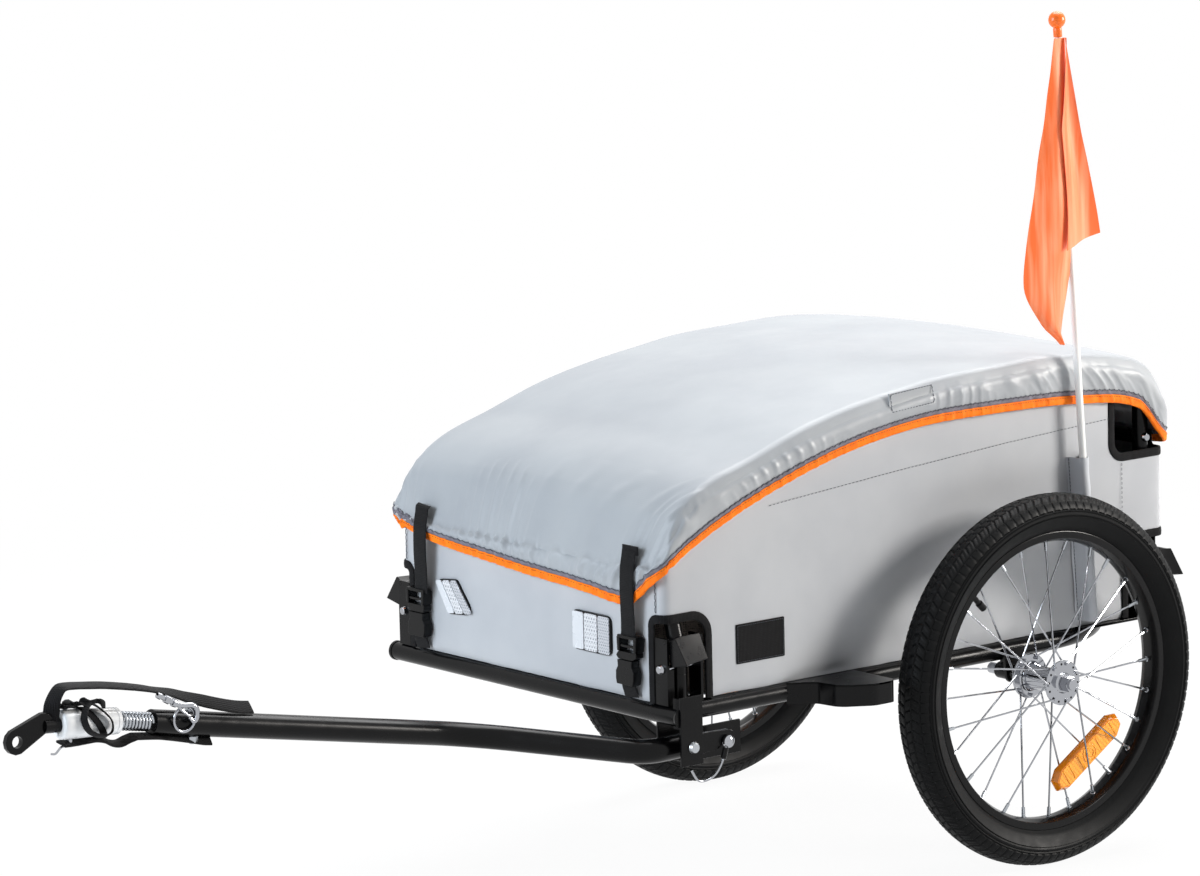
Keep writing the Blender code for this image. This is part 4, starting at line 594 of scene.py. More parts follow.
@dataclass
class Surface:
    """A material's tree while its detail is added."""

    tree: Tree
    shader: Node
    place: Socket
    colour: str
    roughness: float

    def add(self, kind: str, inputs: dict | None = None, **settings: object) -> Node:
        """Adds a node to the tree."""
        return add_node(self.tree, kind, inputs, **settings)

    def spread(self, value: Socket, *limits: float) -> Socket:
        """Maps a value from its two limits to 0 and 1, or to two more limits."""
        names = ("From Min", "From Max", "To Min", "To Max")
        return self.add("ShaderNodeMapRange",
                        {"Value": value, **dict(zip(names, limits))}).outputs["Result"]

    def grain(self, size_mm: float, detail: float) -> Socket:
        """Noise whose grains have a size."""
        inputs = {"Vector": self.place, "Scale": 1.0 / (size_mm * MILLIMETRE), "Detail": detail}
        return self.add("ShaderNodeTexNoise", inputs).outputs["Fac"]

    def tint(self, share: Socket, low: str, high: str) -> None:
        """Colours the surface between two colours by a share."""
        mix = self.add("ShaderNodeMix", {"Factor": share, 6: linear(low), 7: linear(high)},
                       data_type="RGBA")
        self.tree.links.new(mix.outputs[2], self.shader.inputs["Base Color"])

    def vary(self, other: str, size_mm: float, low: float = 0.35, high: float = 0.65) -> None:
        """Lets the colour drift to another one in soft patches."""
        self.tint(self.spread(self.grain(size_mm, 3.0), low, high), self.colour, other)

    def rough(self, size_mm: float, spread: float) -> None:
        """Lets the roughness drift round its own value."""
        drift = self.spread(self.grain(size_mm, 4.0), 0.3, 0.7, self.roughness - spread,
                            self.roughness + spread)
        self.tree.links.new(drift, self.shader.inputs["Roughness"])

    def relief(self, height: Socket, depth_mm: float, strength: float) -> None:
        """Adds relief of a depth on top of what the shader's normal has."""
        inputs = {"Height": height, "Strength": strength, "Distance": depth_mm * MILLIMETRE}
        normal = self.shader.inputs["Normal"]
        if normal.is_linked:
            inputs["Normal"] = normal.links[0].from_socket
        self.tree.links.new(self.add("ShaderNodeBump", inputs).outputs["Normal"], normal)

    def threads(self, spacing_mm: float) -> Socket:
        """Height of a plain weave, whichever way the cloth faces."""
        inputs = {"Vector": self.place, "Scale": math.tau / (20.0 * spacing_mm * MILLIMETRE)}
        bands = [self.add("ShaderNodeTexWave", inputs, bands_direction=name).outputs["Fac"]
                 for name in "XYZ"]
        both = self.add("ShaderNodeMath", {0: bands[0], 1: bands[1]}).outputs[0]
        return self.add("ShaderNodeMath", {0: both, 1: bands[2]}).outputs[0]

    def cells(self, size_mm: float, randomness: float, **settings: object) -> Socket:
        """Distance from the middles of cells of a size."""
        inputs = {"Vector": self.place, "Scale": 1.0 / (size_mm * MILLIMETRE), "Randomness": randomness}
        return self.add("ShaderNodeTexVoronoi", inputs, **settings).outputs["Distance"]


@dataclass(frozen=True)
class Finish:
    """A plain finish; the ones below add what their real material shows."""

    name: str
    colour: str
    roughness: float
    metallic: float = 0.0
    specular: float = 0.5
    coat: float = 0.0
    sheen: float = 0.0
    slot: str = ""

    def material(self) -> bpy.types.Material:
        """The finish's material, made once."""
        made = bpy.data.materials.get(self.name)
        if made:
            return made
        made = bpy.data.materials.new(self.name)
        made.use_nodes = True
        tree = made.node_tree
        shader = tree.nodes["Principled BSDF"]
        values = {"Base Color": linear(self.colour), "Roughness": self.roughness, "Metallic": self.metallic,
                  "Specular IOR Level": self.specular, "Coat Weight": self.coat, "Sheen Weight": self.sheen,
                  "Sheen Roughness": 0.5}
        for name, value in values.items():
            shader.inputs[name].default_value = value
        place = add_node(tree, "ShaderNodeTexCoord").outputs["Object"]
        self.detail(Surface(tree, shader, place, self.colour, self.roughness))
        return made

    def detail(self, surface: Surface) -> None:
        """Adds the surface's own detail; a plain finish has none."""


@dataclass(frozen=True)
class CoatedCloth(Finish):
    """Woven polyester with a silver coating: satin, with soft creases."""

    weave_mm: float = 1.6
    crease_mm: float = 46.0
    other: str = "#A9B1B9"

    def detail(self, surface: Surface) -> None:
        """Adds the weave, drawn coarser than its 0.3 mm so that it shows, and creases."""
        surface.vary(self.other, 90.0)
        surface.rough(25.0, 0.05)
        surface.relief(surface.grain(self.crease_mm, 1.0), 2.0, 0.25)
        surface.relief(surface.threads(self.weave_mm), 0.05, 0.25)


@dataclass(frozen=True)
class RibbedTape(Finish):
    """Woven tape or webbing: matt, with close ribs."""

    rib_mm: float = 1.8
    depth_mm: float = 0.3
    other: str = "#151517"

    def detail(self, surface: Surface) -> None:
        """Adds ribs, drawn coarser than their 0.8 mm so that they show."""
        surface.vary(self.other, 9.0)
        surface.relief(surface.threads(self.rib_mm), self.depth_mm, 0.6)


@dataclass(frozen=True)
class KnitLining(Finish):
    """Spacer knit: dark, open and matt, with small holes in rows whose near black is painted shade."""

    hole_mm: float = 2.4
    # Painted shade inside the holes.
    hole: str = "#060607"

    def detail(self, surface: Surface) -> None:
        """Adds the rows of holes, coloured near black as painted shade inside them."""
        cells = surface.cells(self.hole_mm, 0.25)
        surface.tint(surface.spread(cells, 0.1, 0.5), self.hole, self.colour)
        surface.relief(cells, 0.5, 0.8)


@dataclass(frozen=True)
class PowderCoat(Finish):
    """Baked powder on steel: deep black, satin, with a fine orange peel."""

    peel_mm: float = 1.4

    def detail(self, surface: Surface) -> None:
        """Adds the orange peel and slight handling marks."""
        surface.rough(18.0, 0.05)
        surface.relief(surface.grain(self.peel_mm, 2.0), 0.05, 0.3)


@dataclass(frozen=True)
class Plated(Finish):
    """Chromium or zinc on steel: bright, with faint polishing lines."""

    line_mm: float = 1.2

    def detail(self, surface: Surface) -> None:
        """Adds the polishing lines."""
        surface.rough(6.0, 0.04)
        surface.relief(surface.grain(self.line_mm, 2.0), 0.02, 0.2)


@dataclass(frozen=True)
class Moulded(Finish):
    """Moulded nylon or rubber: even, with a fine grain from its mould."""

    grain_mm: float = 0.9
    depth_mm: float = 0.06
    other: str = ""

    def detail(self, surface: Surface) -> None:
        """Adds the mould's grain."""
        if self.other:
            surface.vary(self.other, 30.0)
        surface.rough(12.0, 0.05)
        surface.relief(surface.grain(self.grain_mm, 3.0), self.depth_mm, 0.5)


@dataclass(frozen=True)
class PrismLens(Finish):
    """Moulded reflector: little prisms in a grid, each cell paler towards its rim as a painted glint."""

    prism_mm: float = 2.2
    # Colour at the cells' rims: a painted glint.
    other: str = "#FFFFFF"

    def detail(self, surface: Surface) -> None:
        """Adds the prisms as small cells, turned an eighth of a circle, their rims painted paler as glints."""
        turned = {"Vector": surface.place, "Rotation": (0.785, 0.785, 0.0)}
        surface.place = surface.add("ShaderNodeMapping", turned).outputs[0]
        cells = surface.cells(self.prism_mm, 0.0, distance="CHEBYCHEV")
        surface.tint(surface.spread(cells, 0.15, 0.5), self.colour, self.other)
        surface.relief(cells, 0.5, 0.8)


@dataclass(frozen=True)
class FlagSheet(Finish):
    """Thin coated sheet: it glows, and paler streaks of painted light run down its folds."""

    streak_mm: float = 10.0
    stretch: float = 24.0
    other: str = "#FF9E70"

    def detail(self, surface: Surface) -> None:
        """Adds the streaks of painted light, many times as long as they are wide."""
        threads = surface.threads(1.2)
        drawn = {"Vector": surface.place, "Scale": (1.0, 1.0, 1.0 / self.stretch)}
        surface.place = surface.add("ShaderNodeMapping", drawn).outputs[0]
        surface.vary(self.other, self.streak_mm, 0.4, 0.66)
        surface.relief(threads, 0.04, 0.3)


# Polyurethane-coated polyester: the coating gives the broad satin light on the cover.
SILVER_CLOTH = CoatedCloth("coated_polyester_silver", "#A4A8AC", 0.42, specular=0.38, slot="silver_cloth",
                           crease_mm=90.0, other="#9CA0A5")
# The box's heavier canvas has less coating, so it is a little darker and duller.
GREY_CANVAS = CoatedCloth("coated_canvas_grey", "#B2B5B9", 0.5, sheen=0.1, slot="silver_cloth",
                          crease_mm=70.0, other="#AAADB2")
# The flag sleeve's cloth: the same grey, thinner and dull; its colour is lighter as painted light, since the sleeve
# faces away from the key lamp.
SLEEVE_CLOTH_PAINTED_LIGHT = CoatedCloth("coated_canvas_sleeve", "#BEC2C8", 0.6, sheen=0.1, slot="silver_cloth",
                           other="#B4B8BF")
# Elastic binding tape: dyed bright and ribbed, so it stays matt.
ORANGE_ELASTIC = RibbedTape("elastic_binding_orange", "#FA7200", 0.65, specular=0.25, slot="orange_trim",
                            rib_mm=1.6, depth_mm=0.25, other="#FF8206")
# Polypropylene webbing: black, ribbed, a little sheen on the ribs.
BLACK_WEBBING = RibbedTape("woven_webbing_black", "#08080A", 0.8, specular=0.14, sheen=0.06,
                           slot="black_webbing", other="#0E0E10")
# Spacer knit behind the corner openings: dark and open.
DARK_KNIT = KnitLining("spacer_knit_dark", "#766D66", 0.9, slot="black_webbing")
# Knitted elastic casing above the binding: a dull dark grey, darkened as painted shade of the gathers over the tape.
CASING_AND_SHADE = RibbedTape("elastic_casing_grey", "#7B7882", 0.8, slot="black_webbing", rib_mm=1.8, depth_mm=0.3,
                    other="#66636D")
# Orange bonded thread: a shade darker than the tape that it holds.
ORANGE_THREAD = Moulded("bonded_thread_orange", "#A8500C", 0.6, slot="orange_trim")
# Bonded sewing thread: dark grey, slightly shiny.
THREAD = Moulded("bonded_thread_grey", "#4A4F57", 0.6, slot="black_webbing")
# Black powder coat: satin, so round tubes carry one soft line of light.
POWDER_COAT = PowderCoat("powder_coat_black", "#060607", 0.24, specular=0.17, slot="frame_black")
# Stove enamel on the rims: a little glossier than the frame.
RIM_ENAMEL = PowderCoat("stove_enamel_black", "#060607", 0.22, specular=0.2, slot="rim_black")
# Silver enamel on the coupler's casting: pale, semi-gloss.
SILVER_ENAMEL = Moulded("enamel_silver_white", "#E4E6E8", 0.3, coat=0.3, slot="silver_paint", depth_mm=0.03)
# Chromium plate: mirror bright.
CHROME = Plated("chromium_plate", "#A8AAAF", 0.09, metallic=1.0, slot="chrome")
# Bright zinc plate: softer than chrome, slightly blue.
ZINC = Plated("bright_zinc_plate", "#B0B4B9", 0.26, metallic=1.0, slot="zinc")
# Tyre rubber: deep grey-black, matt with a soft shine on the sidewall.
TYRE_RUBBER = Moulded("vulcanised_rubber", "#08090A", 0.48, specular=0.11, slot="tyre_rubber",
                      other="#0B0C0D")
# Glass-filled nylon: black, faintly grained.
BLACK_NYLON = Moulded("moulded_nylon_black", "#070708", 0.3, specular=0.18, slot="black_plastic")
# Amber acrylic: clear orange over prisms, whose paler rims are painted glints.
AMBER_ACRYLIC = PrismLens("moulded_acrylic_amber", "#E47C06", 0.22, coat=0.4, slot="amber_lens",
                          other="#FFAE28", prism_mm=3.0)
# The same acrylic without prisms on the lens's flanks: a deeper orange, as painted shade on the flanks.
AMBER_FLANK_SHADED = Moulded("moulded_acrylic_amber_plain", "#EC860C", 0.2, coat=0.4, slot="amber_lens",
                      depth_mm=0.02)
# Clear prismatic sheet with a metal back: silver white, its prisms' pale rims painted glints.
CLEAR_PRISM = PrismLens("prismatic_sheet_clear", "#8A8E95", 0.24, metallic=0.2, coat=0.3, slot="clear_lens",
                        prism_mm=3.0, other="#E2E4E8")
# The same sheet's smooth bar: a soft silver glow.
CLEAR_PLAIN = Moulded("prismatic_sheet_smooth", "#D2D5DA", 0.28, metallic=0.1, coat=0.3, slot="clear_lens",
                      depth_mm=0.03)
# The same sheet's coarse bar, whose prisms show grey between their tips; their pale rims are painted glints.
CLEAR_DIAMOND = PrismLens("prismatic_sheet_coarse", "#70747C", 0.24, metallic=0.3, coat=0.3,
                          slot="clear_lens", prism_mm=2.2, other="#CDD0D6")
# Glass fibre rod: white and smooth.
WHITE_ROD = Moulded("glass_fibre_white", "#ECEDEC", 0.35, slot="white_plastic", depth_mm=0.02)
# Moulded ABS: bright orange, glossy.
ORANGE_ABS = Moulded("moulded_abs_orange", "#FA6E14", 0.28, slot="orange_plastic", depth_mm=0.02)
# Thin PVC-coated flag sheet: glowing orange, with paler streaks of painted light.
FLAG_SHEET = FlagSheet("flag_sheet_orange", "#FA6C24", 0.42, sheen=0.2, slot="flag_cloth")
# Polypropylene board: black and dull.
FLOOR_BOARD = Moulded("extruded_board_black", "#1B1B1C", 0.7, slot="floor_board")


def dress(item: Item, finish: Finish, body: str, replaced: Sequence[str] = (),
          angle: float = HARD_EDGE) -> Item:
    """Gives a piece its finish, its body and the nodes that it stands for.

    Args:
        item: The piece.
        finish: Its finish, which also names the record's slot.
        body: The CAD body that carries it, or nothing for a piece that bends between two.
        replaced: CAD nodes that it stands for.
        angle: Edges sharper than this stay sharp.

    Returns:
        The piece.
    """
    item.data.materials.clear()
    item.data.materials.append(finish.material())
    shaded(item, angle)
    if body:
        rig.ride(item, body)
    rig.slot(item, finish.slot)
    if replaced:
        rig.replaces(item, *replaced)
    log.info("%s on %s, %d faces", item.name, body, len(item.data.polygons))
    return item


def refined(node: str, finish: Finish, body: str, edge: float = 0.0, angle: float = 38.0) -> Item:
    """A smooth piece on a node's own form, with its sharp edges eased."""
    mesh = faced(frame["nodes"][node].data, weld=0.00002)
    item = placed(f"{node}_fine", mesh)
    if edge:
        item = eased(item, edge)
    return dress(item, finish, body, [node], angle)


# Wheels
REFLECTOR_OUTLINE: Line = (
    (-0.055, -0.007), (-0.044, -0.014), (0.044, -0.014), (0.055, -0.007),
    (0.055, 0.007), (0.044, 0.014), (-0.044, 0.014), (-0.055, 0.007),
)


@dataclass
class Wheel:
    """One 16 inch wheel: tyre with its tread, rim, spokes, hub and reflector."""

    side: Side
    track: float = 0.565
    radius: float = 0.2
    width: float = 0.047
    rim_radius: float = 0.16
    rim_depth: float = 0.011
    rim_width: float = 0.027
    hub_span: float = 0.051
    flange_radius: float = 0.024
    flange: float = 0.003
    spokes: int = 28
    spoke_radius: float = 0.001
    cross: float = math.radians(38.0)
    reflector_turn: float = math.radians(-56.9)
    tread_edge: float = 0.97
    sidewall_grooves: tuple[float, ...] = (0.995, 1.075, 1.19)
    blocks: int = 108
    steps_per_block: int = 8
    inner_row: float = 0.28
    outer_row: float = 0.6
    rib_groove: float = 0.0013
    block_groove: float = 0.0016
    sipe_depth: float = 0.0007
    tread_angle: float = 76.0
    valve_turn: float = math.radians(134.6)

    @property
    def centre(self) -> Vector:
        """The wheel's middle, on the axle."""
        return Vector((self.side.value * self.track / 2.0, 0.0, 0.0))

    @property
    def body(self) -> str:
        """The CAD body that turns."""
        return f"wheel_{self.side.word}"

    def build(self) -> None:
        """Builds and dresses the whole wheel."""
        self.tyre()
        self.rim()
        self.hub_and_spokes()
        self.nipples()
        self.reflector()
        self.axle()

    def tread_depth(self, turn: float, across: float) -> float:
        """Depth of the tread's grooves.

        Args:
            turn: Angle round the wheel.
            across: 0 in the middle of the tread and 1 or -1 at its edges.

        Returns:
            The depth there.
        """
        spot = abs(across)
        place = turn * self.blocks / math.tau + (0.5 if across > 0.0 else 0.0)
        inner, outer = spot - self.inner_row, spot - self.outer_row
        if min(spot, abs(inner), abs(outer)) < 0.022:
            return self.rib_groove
        if inner < 0.0:
            groove, sipe = place + 1.5 * spot, 0.0
        elif outer < 0.0:
            groove, sipe = place + 0.42 - 1.7 * inner, place + 0.92 - 1.7 * inner
        else:
            groove, sipe = place - 0.6 * outer ** 2, place + 0.5 + 2.2 * outer
        deep = max(0.0, 1.0 - (abs(groove - round(groove)) / 0.12) ** 2)
        fine = max(0.0, 1.0 - (abs(sipe - round(sipe)) / 0.09) ** 2) if inner > 0.0 and spot < 0.86 else 0.0
        return max(self.block_groove * deep, self.sipe_depth * fine)

    def tyre(self) -> None:
        """The tyre: a fine skin whose blocks and sidewall rings are real relief."""
        half = self.width / 2.0
        middle = self.rim_radius + (self.radius - self.rim_radius) * 0.42
        crown = self.radius - middle
        columns = []
        for index in range(65):
            angle = math.radians(-92.0 + 184.0 * index / 64.0)
            across = math.degrees(angle) / self.tread_angle
            reach = crown * max(0.0, math.cos(angle)) ** 0.8
            columns.append((across, middle + reach, half * math.sin(angle)))
        steps = self.blocks * self.steps_per_block
        rings = []
        for step in range(steps):
            turn = math.tau * step / steps
            ring = []
            for across, radius, height in columns:
                if abs(across) < self.tread_edge:
                    radius -= self.tread_depth(turn, across)
                elif any(abs(abs(across) - place) < 0.018 for place in self.sidewall_grooves):
                    height -= math.copysign(0.0011, height)
                ring.append((radius, height))
            low = [(self.rim_radius - 0.003, -half * 0.44), (self.rim_radius + 0.0012, -half * 0.55),
                   (self.rim_radius + 0.0035, -half * 0.7), (self.rim_radius + 0.0048, -half * 0.74),
                   (self.rim_radius + 0.0062, -half * 0.8)]
            high = [(radius, -height) for radius, height in reversed(low)]
            profile = low + ring + high
            rings.append([
                self.centre + around(turn, radius, height) for radius, height in profile
            ])
        draft = Draft()
        draft.skin(rings, closed=True, looped=True)
        draft.dressed(f"tyre_{self.side.word}_tread", TYRE_RUBBER, self.body, [f"tyre_{self.side.word}"],
                      28.0)

    def rim(self) -> None:
        """The rim with its braking face and rolled edges, and the valve."""
        half = self.rim_width / 2.0
        inner = self.rim_radius - self.rim_depth
        profile = mirrored([
            (inner + 0.004, half - 0.0026), (self.rim_radius + 0.0004, half - 0.0018),
            (self.rim_radius + 0.0004, half - 0.0004), (self.rim_radius - 0.0006, half),
            (self.rim_radius - 0.007, half), (self.rim_radius - 0.0078, half - 0.001),
            (inner + 0.0008, half * 0.5), (inner, half * 0.32),
        ])
        draft = Draft().turn(profile, self.centre, Axis.X, 128)
        draft.dressed(f"rim_{self.side.word}_rolled", RIM_ENAMEL, self.body, [f"rim_{self.side.word}"],
                      45.0)
        out = around(self.valve_turn)
        stem, top = inner + 0.001, inner - 0.025
        path = [self.centre + out * reach for reach in (stem, stem - 0.002, top + 0.0105, top + 0.01,
                                                        top + 0.0005, top)]
        draft = Draft().tube(path, [0.0042, 0.0032, 0.003, 0.0041, 0.0039, 0.003], sides=18)
        draft.dressed(f"valve_{self.side.word}", BLACK_NYLON, self.body, angle=45.0)

    def spoke_ends(self) -> Iterable[tuple[Vector, Vector]]:
        """Start on a hub flange and end at the rim, for each spoke."""
        seat = self.flange_radius - 0.0035
        reach = self.rim_radius - self.rim_depth + 0.001
        for index in range(self.spokes):
            side = 1.0 if index % 2 else -1.0
            pull = 1.0 if (index // 2) % 2 else -1.0
            angle = math.tau * index / self.spokes
            root = angle + pull * self.cross
            across = side * (self.hub_span + pull * (self.flange + 0.002)) / 2.0
            yield self.centre + around(root, seat, across), self.centre + around(angle, reach,
                                                                                 side * 0.0015)

    def hub_and_spokes(self) -> None:
        """The hub's shell with its two drilled flanges, black discs of painted shade in their holes, and the spokes.
        """
        end = self.hub_span / 2.0 + 0.0045
        outer = self.hub_span / 2.0 + self.flange / 2.0
        inner = outer - self.flange
        half = [(0.0068, end), (0.0098, end), (0.0106, end - 0.001), (0.0114, outer + 0.0008),
                (0.015, outer + 0.0004), (self.flange_radius - 0.0006, outer),
                (self.flange_radius, outer - 0.0006), (self.flange_radius, inner + 0.0006),
                (self.flange_radius - 0.0006, inner), (0.0165, inner - 0.0003), (0.0146, inner - 0.0022),
                (0.0136, inner - 0.006), (0.0128, 0.004)]
        profile = mirrored(half)
        draft = Draft().turn(profile, self.centre, Axis.X, 64)
        for start, tip in self.spoke_ends():
            draft.tube([start, tip], self.spoke_radius, sides=8)
            across = OUT_LEFT * math.copysign(1.0, start.x - self.centre.x)
            draft.tube([start - across * 0.003, start + across * 0.0012], 0.0018, sides=10)
        draft.dressed(f"hub_{self.side.word}_laced", CHROME, self.body, [f"hub_spokes_{self.side.word}"])
        # Black discs on the flanges are painted shade where their holes are.
        draft = Draft()
        for side in (-1.0, 1.0):
            for index in range(self.spokes):
                turn = math.tau * (index + 0.5) / self.spokes
                spot = self.centre + around(turn, 0.0205, side * (outer + 0.0001))
                if index % 2:
                    draft.tube([spot, spot + OUT_LEFT * side * 0.0002], 0.0013, sides=10)
        draft.dressed(f"hub_{self.side.word}_holes", BLACK_NYLON, self.body)

    def nipples(self) -> None:
        """The brass nipples, plated, that tighten the spokes at the rim."""
        draft = Draft()
        for start, tip in self.spoke_ends():
            along = (tip - start).normalized()
            path = [tip - along * reach for reach in (0.0, 0.0015, 0.0018, 0.0115, 0.012)]
            draft.tube(path, [0.003, 0.003, 0.0021, 0.0019, 0.0012], sides=8)
        draft.dressed(f"nipples_{self.side.word}", ZINC, self.body)

    def reflector(self) -> None:
        """The spoke reflector: a long lens with cut ends, sloped flanks and a round eye."""
        reach, turn = self.rim_radius * 0.6625, self.reflector_turn
        out = around(turn)
        along = Vector((0.0, -out.z, out.y))
        middle = self.centre + out * reach

        def ring(height: float, inset: float) -> list[Vector]:
            """The outline at a height, drawn in by an inset."""
            return [middle + along * (u - math.copysign(inset, u)) + out * (v - math.copysign(inset, v))
                    + OUT_LEFT * height for u, v in REFLECTOR_OUTLINE]

        name = f"wheel_reflector_{self.side.word}"
        draft = Draft()
        draft.skin([ring(-0.004, 0.001), ring(-0.0034, 0.0), ring(-0.0008, 0.0), ring(0.004, 0.0028)],
                   closed=True, capped=True)
        # The body, with the lens's flanks, is painted a deeper orange as painted shade.
        draft.dressed(f"{name}_body", AMBER_FLANK_SHADED, self.body, [name], 30.0, ease=0.0004)
        draft = Draft()
        draft.skin([ring(0.0036, 0.0034), ring(0.0046, 0.0038)], closed=True, capped=True)
        for size in (0.0092, 0.0056):
            profile = [(size - 0.001, 0.0042), (size - 0.0005, 0.0054), (size + 0.0005, 0.0054),
                       (size + 0.001, 0.0042)]
            draft.turn(profile, middle, Axis.X, 36)
        for bar in (-0.04, -0.03, -0.0155, 0.0155, 0.03, 0.04):
            low = [middle + along * (bar + du) + out * dv + OUT_LEFT * 0.0042 for du, dv in (
                (-0.0006, -0.009), (0.0006, -0.009), (0.0006, 0.009), (-0.0006, 0.009))]
            draft.skin([low, [point + OUT_LEFT * 0.0012 for point in low]], closed=True, capped=True)
        draft.dressed(f"{name}_lens", AMBER_ACRYLIC, self.body, angle=30.0, ease=0.0003)

    def axle(self) -> None:
        """The pull-out axle with its collar and nut."""
        refined(f"axle_{self.side.word}", CHROME, f"axle_{self.side.word}", 0.0004)


# Base frame
@dataclass
class BaseFrame:
    """The bent rail, the front rail and what is welded to them."""

    rail_radius: float = 0.01
    rail_x: float = 0.22
    rail_z: float = 0.0234
    front_y: float = -0.468
    rear_y: float = 0.215
    rear_bend: float = 0.155
    front_reach: float = 0.242
    guard_height: float = 0.023
    guard_front: float = -0.315
    guard_rear: float = -0.222
    guard_reach: float = 0.0775
    plate: float = 0.003

    def build(self) -> None:
        """Builds and dresses the frame's pieces."""
        self.side_rail()
        self.front_rail()
        refined("pivot_bolt", ZINC, "chassis", 0.0004)
        refined("floor_panel", FLOOR_BOARD, "chassis", 0.0006)

    def side_rail(self) -> None:
        """The U-shaped rail with its guards, axle sockets and rear gussets."""
        start = self.front_y + self.rail_radius + 0.0003
        path = rounded(
            [(self.rail_x, start, self.rail_z), (self.rail_x, self.rear_y, self.rail_z),
             (-self.rail_x, self.rear_y, self.rail_z), (-self.rail_x, start, self.rail_z)],
            [self.rear_bend, self.rear_bend], steps=24,
        )
        draft = Draft().tube(path, self.rail_radius, sides=28)
        draft.dressed("base_rail_tube", POWDER_COAT, "chassis", ["base_rail"])
        draft = Draft()
        for side in Side:
            self.add_socket(draft, side.value)
            self.add_gusset(draft, side.value)
        draft.dressed("base_rail_fittings", POWDER_COAT, "chassis", angle=35.0, ease=0.0006)
        draft = Draft()
        for side in Side:
            self.add_guard(draft, side.value)
        draft.dressed("wheel_guards", POWDER_COAT, "chassis", angle=35.0, ease=0.001)

    def add_socket(self, draft: Draft, sign: float) -> None:
        """The tapered plate and the tube that hold an axle under the rail."""
        low, high = sorted((sign * (self.rail_x + 0.0093), sign * (self.rail_x + 0.0133)))
        foot = rounded([(0.0, -0.0105), (0.01, -0.0105), (0.015, self.rail_z + 0.004),
                        (-0.015, self.rail_z + 0.004), (-0.01, -0.0105), (0.0, -0.0105)],
                       [0.008, 0.0, 0.0, 0.008])[:-1]
        draft.plate(foot, low, high, Axis.X)
        centre = sign * (self.rail_x + 0.01)
        profile = [(0.0064, -0.02), (0.009, -0.02), (0.009, 0.02), (0.0064, 0.02)]
        draft.turn(profile, (centre, 0.0, 0.0), Axis.X, 40)
        low, high = sorted((sign * (self.rail_x - 0.008), sign * (self.rail_x + 0.01)))
        draft.block((low, -0.002, 0.007), (high, 0.002, self.rail_z))

    def add_gusset(self, draft: Draft, sign: float) -> None:
        """The plate in the rear bend that carries a rear bracket."""
        top = self.rail_z + self.rail_radius
        outer = self.rail_x + self.rail_radius - 0.0005
        outline = [(outer, 0.103), (outer, 0.231), (0.105, 0.231), (0.105, 0.213), (0.157, 0.194),
                   (0.198, 0.154), (0.216, 0.103)]
        draft.plate([(sign * x, y) for x, y in outline], top - self.plate, top, Axis.Z)

    def add_guard(self, draft: Draft, sign: float) -> None:
        """A wheel guard: its bent strip and the lipped plate on top."""
        start = self.rail_x + self.rail_radius * 0.9
        reach = self.rail_x + self.guard_reach
        path = rounded(
            [(start, self.guard_front), (start + 0.018, self.guard_front + 0.026),
             (reach - 0.02, self.guard_front + 0.03), (reach, self.guard_front + 0.062),
             (reach, self.guard_rear), (start, self.guard_rear)],
            [0.012, 0.02, 0.02, 0.01], steps=6,
        )
        flat = [(sign * x, y) for x, y in path]
        low = self.rail_z - self.guard_height / 2.0
        high = self.rail_z + self.guard_height / 2.0
        inner = [(x - sign * 0.003 * (1.0 if abs(x) > start + 0.01 else 0.0), y) for x, y in flat]
        draft.plate(flat, high - 0.002, high, Axis.Z)
        edges = ((flat, low), (flat, high), (inner, high - 0.001), (inner, low))
        draft.skin([[(x, y, z) for x, y in line] for line, z in edges], looped=True)

    def front_rail(self) -> None:
        """The cross rail with its end cap, and the tow arm's two cheeks."""
        left = self.rail_x + self.rail_radius + 0.014
        place = (self.front_y, self.rail_z)
        draft = Draft()
        ends = [(left, *place), (-self.front_reach + 0.001, *place)]
        draft.tube([Vector(end) for end in ends], self.rail_radius, sides=32)
        draft.dressed("front_rail_tube", POWDER_COAT, "chassis", ["front_rail"])
        draft = Draft()
        cap = [(-self.front_reach + 0.0015), (-self.front_reach - 0.002), (-self.front_reach - 0.0026)]
        draft.tube([(x, *place) for x in cap], [0.0107, 0.0107, 0.0095], sides=32)
        draft.tube([(x, *place) for x in (left - 0.001, left + 0.002, left + 0.0028)],
                   [0.01, 0.0107, 0.0092], sides=32)
        draft.dressed("front_rail_caps", BLACK_NYLON, "chassis")


